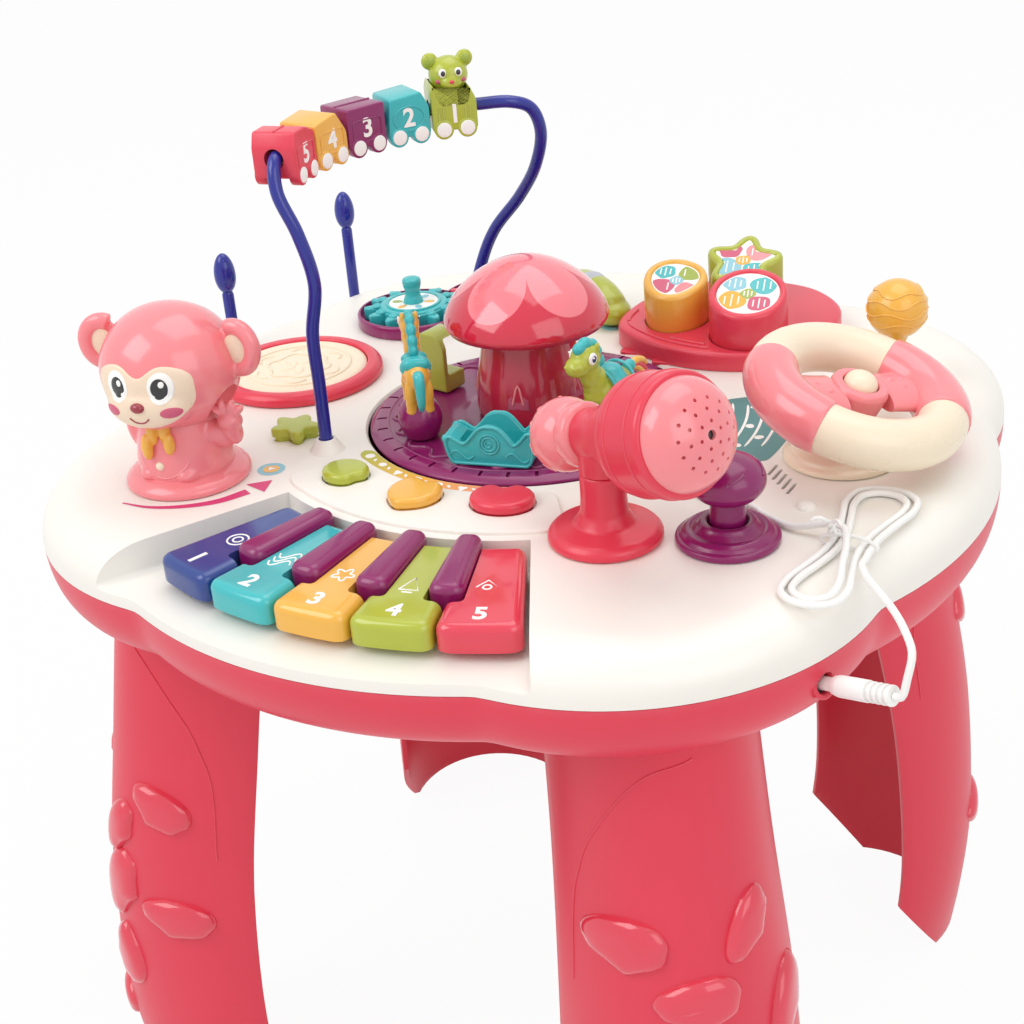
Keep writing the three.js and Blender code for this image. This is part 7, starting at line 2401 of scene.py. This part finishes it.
@dataclass
class Prints:
    """Flat prints on the white top: a fruit strip, an arrow, a small picture and the sticker by the wheel."""

    onto: Thing
    above: float = 380.0

    def lay(self, name: str, points: Sequence[Row], faces: Sequence[Sequence[int]], lift: float,
            finish: Plastic | None) -> Thing:
        """Lays flat points and their faces on the top as one print, and returns it."""
        sheet = draped_print(name, [(x, y, self.above) for x, y in points], faces, self.onto, lift)
        return placed(sheet, "table", finish)

    def ramp(self, title: str, stops: Sequence[tuple[float, Hue]], start: float, end: float) -> Stuff:
        """Returns a print finish whose colour runs round the middle of the top.

        Args:
            title: the material's name.
            stops: share along the run and colour.
            start: degrees where the run starts.
            end: degrees where it ends.

        Returns:
            The material.
        """
        material = Plastic(Hue.PAPER, gloss=0.4, wear=0, dust=0, skin=0.02).stuff().copy()
        material.name = title
        tree = material.node_tree
        split = node(tree, "SeparateXYZ", {0: node(tree, "TexCoord").outputs["Object"]}).outputs
        angle = maths(tree, "ARCTAN2", split["Y"], split["X"])
        share = node(tree, "MapRange", {"From Min": radians(start), "From Max": radians(end), "Value": angle})
        colours = node(tree, "ValToRGB", {"Fac": share.outputs["Result"]})
        row = colours.color_ramp.elements
        for i, (at, hue) in enumerate(stops):
            stop = row[i] if i < 2 else row.new(at)
            stop.position, stop.color = at, paint(hue.value)
        skin = next(n for n in tree.nodes if n.type == "GROUP" and n.node_tree.name == "Moulded skin")
        tree.links.new(colours.outputs["Color"], skin.inputs["Colour"])
        return material

    def band(self, name: str, inner: float, outer: float, start: float, end: float, finish: Plastic | None = None,
             lift: float = 0.12, steps: int = 60) -> Thing:
        """Lays a band along an arc round the middle of the top, and returns it.

        Args:
            name: the object's name.
            inner: near radius.
            outer: far radius.
            start: degrees where it starts.
            end: degrees where it ends.
            finish: its finish, where it has one all over.
            lift: how far it stands proud.
            steps: pieces along the arc.

        Returns:
            The band.
        """
        points, faces = [], []
        turns = spaced(steps, start, end)
        for i, deg in enumerate(turns):
            ease = min(i, steps - i, 4) / 4
            half = (outer - inner) / 2 * sqrt(1 - (1 - ease) ** 2)
            mid = (inner + outer) / 2
            for r in (mid - half - 0.01, mid, mid + half + 0.01):
                points.append(polar(r, deg))
            if i:
                a, b = (i - 1) * 3, i * 3
                faces += [(a, a + 1, b + 1, b), (a + 1, a + 2, b + 2, b + 1)]
        return self.lay(name, points, faces, lift, finish)

    def patch(self, name: str, outline: Sequence[Row], at: Row, deg: float, finish: Plastic,
              lift: float = 0.16) -> None:
        """Lays a small flat shape on the top.

        Args:
            name: the object's name.
            outline: its outline about the origin.
            at: where it goes.
            deg: degrees that it is turned.
            finish: its finish.
            lift: how far it stands proud.
        """
        row = wound(turned(outline, at, deg))
        cx = sum(p[0] for p in row) / len(row)
        cy = sum(p[1] for p in row) / len(row)
        points, faces = [(cx, cy)], []
        count = len(row)
        for share in (0.5, 1.0):
            points += [(cx + (x - cx) * share, cy + (y - cy) * share) for x, y in row]
        for i in range(count):
            k = (i + 1) % count
            faces += [(0, 1 + i, 1 + k), (1 + i, 1 + count + i, 1 + count + k, 1 + k)]
        self.lay(name, points, faces, lift, finish)

    @staticmethod
    def fruit(kind: int, size: float) -> list[Row]:
        """Returns the outline of a simple fruit: one with a small tip, a pear or one with three lobes."""
        made = []
        for t in around(36):
            if kind == 0:
                r = 1 - 0.16 * exp(-((t - pi / 2) ** 2) / 0.1)
            elif kind == 1:
                r = 0.72 + 0.3 * sin(t / 2 + pi / 4) ** 6 + 0.12 * cos(2 * t)
            else:
                r = 0.8 + 0.2 * cos(3 * t - pi / 2)
            made.append((size * r * cos(t), size * r * sin(t)))
        return made

    def strip(self) -> None:
        """Lays the coloured strip with white fruit in front of the carousel."""
        stuff = self.ramp("fruit_strip_print", [(0, Hue.LIME), (1, Hue.PINK), (0.45, Hue.YELLOW)], -129, -62)
        self.band("fruit_strip", 80.6, 88.2, -129, -62).data.materials.append(stuff)
        leaf = [(0.9 * x, 0.5 * y) for x, y in self.fruit(1, 1.8)]
        for i in range(8):
            deg = -124 + 8.2 * i
            self.patch(f"strip_fruit_{i + 1}", self.fruit(i % 3, 2.4), polar(84.4, deg), deg + 90, PAPER, 0.2)
            self.patch(f"strip_leaf_{i + 1}", leaf, polar(84.4, deg + 3.6), deg + 50, PAPER, 0.2)

    def arrow(self) -> None:
        """Lays the curved arrow and the small round picture by the monkey."""
        line = smooth_line([(-126, -151, 0), (-112, -150, 0), (-98, -144, 0), (-86, -134, 0), (-79, -121, 0)], 8)
        points, faces = [], []
        for i, p in enumerate(line):
            ahead = Vector(line[min(i + 1, len(line) - 1)]) - Vector(line[max(i - 1, 0)])
            side = Vector((-ahead.y, ahead.x, 0)).normalized()
            half = 0.5 + 2.4 * i / len(line)
            for s in (-1, 1):
                points.append((p[0] + side.x * half * s, p[1] + side.y * half * s))
            if i:
                faces.append(((i - 1) * 2, (i - 1) * 2 + 1, i * 2 + 1, i * 2))
        self.lay("arrow_tail", points, faces, 0.14, MAGENTA)
        self.patch("arrow_head", [(-6.5, 0), (6.5, 0), (0, 10)], (-78, -117), -14, MAGENTA, 0.16)
        self.patch("round_picture", [polar(6.4, d) for d in around(40, 360)], (-83, -98), 0, SKY, 0.14)
        self.patch("round_leaf", self.fruit(0, 3.8), (-83, -98), 30, YELLOW, 0.22)
        self.patch("round_core", self.fruit(2, 1.8), (-83, -98), 0, PAPER, 0.3)

    def sticker(self) -> None:
        """Lays the teal sticker with white lines between the carousel and the wheel."""
        self.band("sticker_field", 88, 124, -8, 30, SLATE, 0.12, 40)
        for i, radius in enumerate((94, 101, 108, 115)):
            self.band(f"sticker_line_{i + 1}", radius, radius + 1.3, -4 + 1.5 * i, 26 - 1.5 * i, PAPER, 0.2, 30)
        for i in range(5):
            at = polar(104.8 + 7 * (i % 2), 6 * i - 1)
            self.patch(f"sticker_drop_{i + 1}", self.fruit(1, 2.6), at, 60 * i, PAPER, 0.2)

    def build(self) -> None:
        """Lays all prints."""
        self.strip()
        self.arrow()
        self.sticker()


LEG_RELIEFS = {
    "leg_front_right": [(0.68, -44, 21, 8), (0.7, 18, 17, 50), (0.605, -10, 20, 6),
                        (0.54, 40, 19, 55), (0.34, -36, 20, -14), (0.26, 12, 21, 12),
                        (0.1, -12, 17, 6)],
    "leg_front_left": [(0.66, 46, 17, -34), (0.6, 18, 16, 70), (0.49, 18, 21, 76),
                       (0.46, 54, 18, -14), (0.35, 20, 18, -80), (0.68, -34, 18, 20),
                       (0.2, -12, 20, 8), (0.14, 44, 15, 30)],
    "leg_rear_right": [(0.68, -10, 20, 16), (0.46, 22, 18, 40), (0.24, -16, 20, 0),
                       (0.6, 44, 16, -22)],
    "leg_rear_left": [(0.68, 8, 20, -16), (0.46, -22, 18, -40), (0.24, 14, 20, 0),
                      (0.6, -44, 16, 22)],
}


def kept_pieces() -> None:
    """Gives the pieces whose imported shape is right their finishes."""
    for name, finish, slot in (("battery_door", RED_SATIN, "red_plastic"), ("speaker", DARK, "dark_plastic"),
                               ("circuit_board", BOARD, "board_green"), ("charge_socket", DARK, "dark_plastic"),
                               ("idler_gear", WHITE, "white_plastic")):
        obj = dressed(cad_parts[name], finish)
        log.info("%s keeps its shape", name)


def main() -> None:
    """Builds the studio, then the cable, then the rest of the table."""
    logging.basicConfig(level=logging.INFO, format="%(name)s: %(message)s")
    Studio().build()
    Cable().build()
    shell = TopShell().build()
    BaseShell().build()
    for deg, name in ((45, "leg_rear_right"), (135, "leg_rear_left"), (225, "leg_front_left"),
                      (315, "leg_front_right")):
        Leg(name, deg, LEG_RELIEFS[name]).build()
    kept_pieces()
    Turntable().build()
    Toadstool().build()
    Horse("horse", -126, 128).build()
    Sleigh("sleigh", -78, -168).build()
    Pony("pony", -23, -102).build()
    Seat("seat", 172, 82).build()
    Monkey().build()
    BeadArch().build()
    for number, (finish, side) in WAGONS.items():
        Wagon(number, finish, side).build()
    Drum().build()
    GearCorner().build()
    Handset().build()
    ShapeBoard().build()
    Drumstick("drumstick_left", "stick_left", STICK_LEFT).build()
    Drumstick("drumstick_right", "stick_right", STICK_RIGHT).build()
    Driving().build()
    Microphone().build()
    Joystick().build()
    for button in BUTTONS:
        button.build()
    Piano().build()
    Prints(shell).build()


if __name__ == "__main__":
    main()
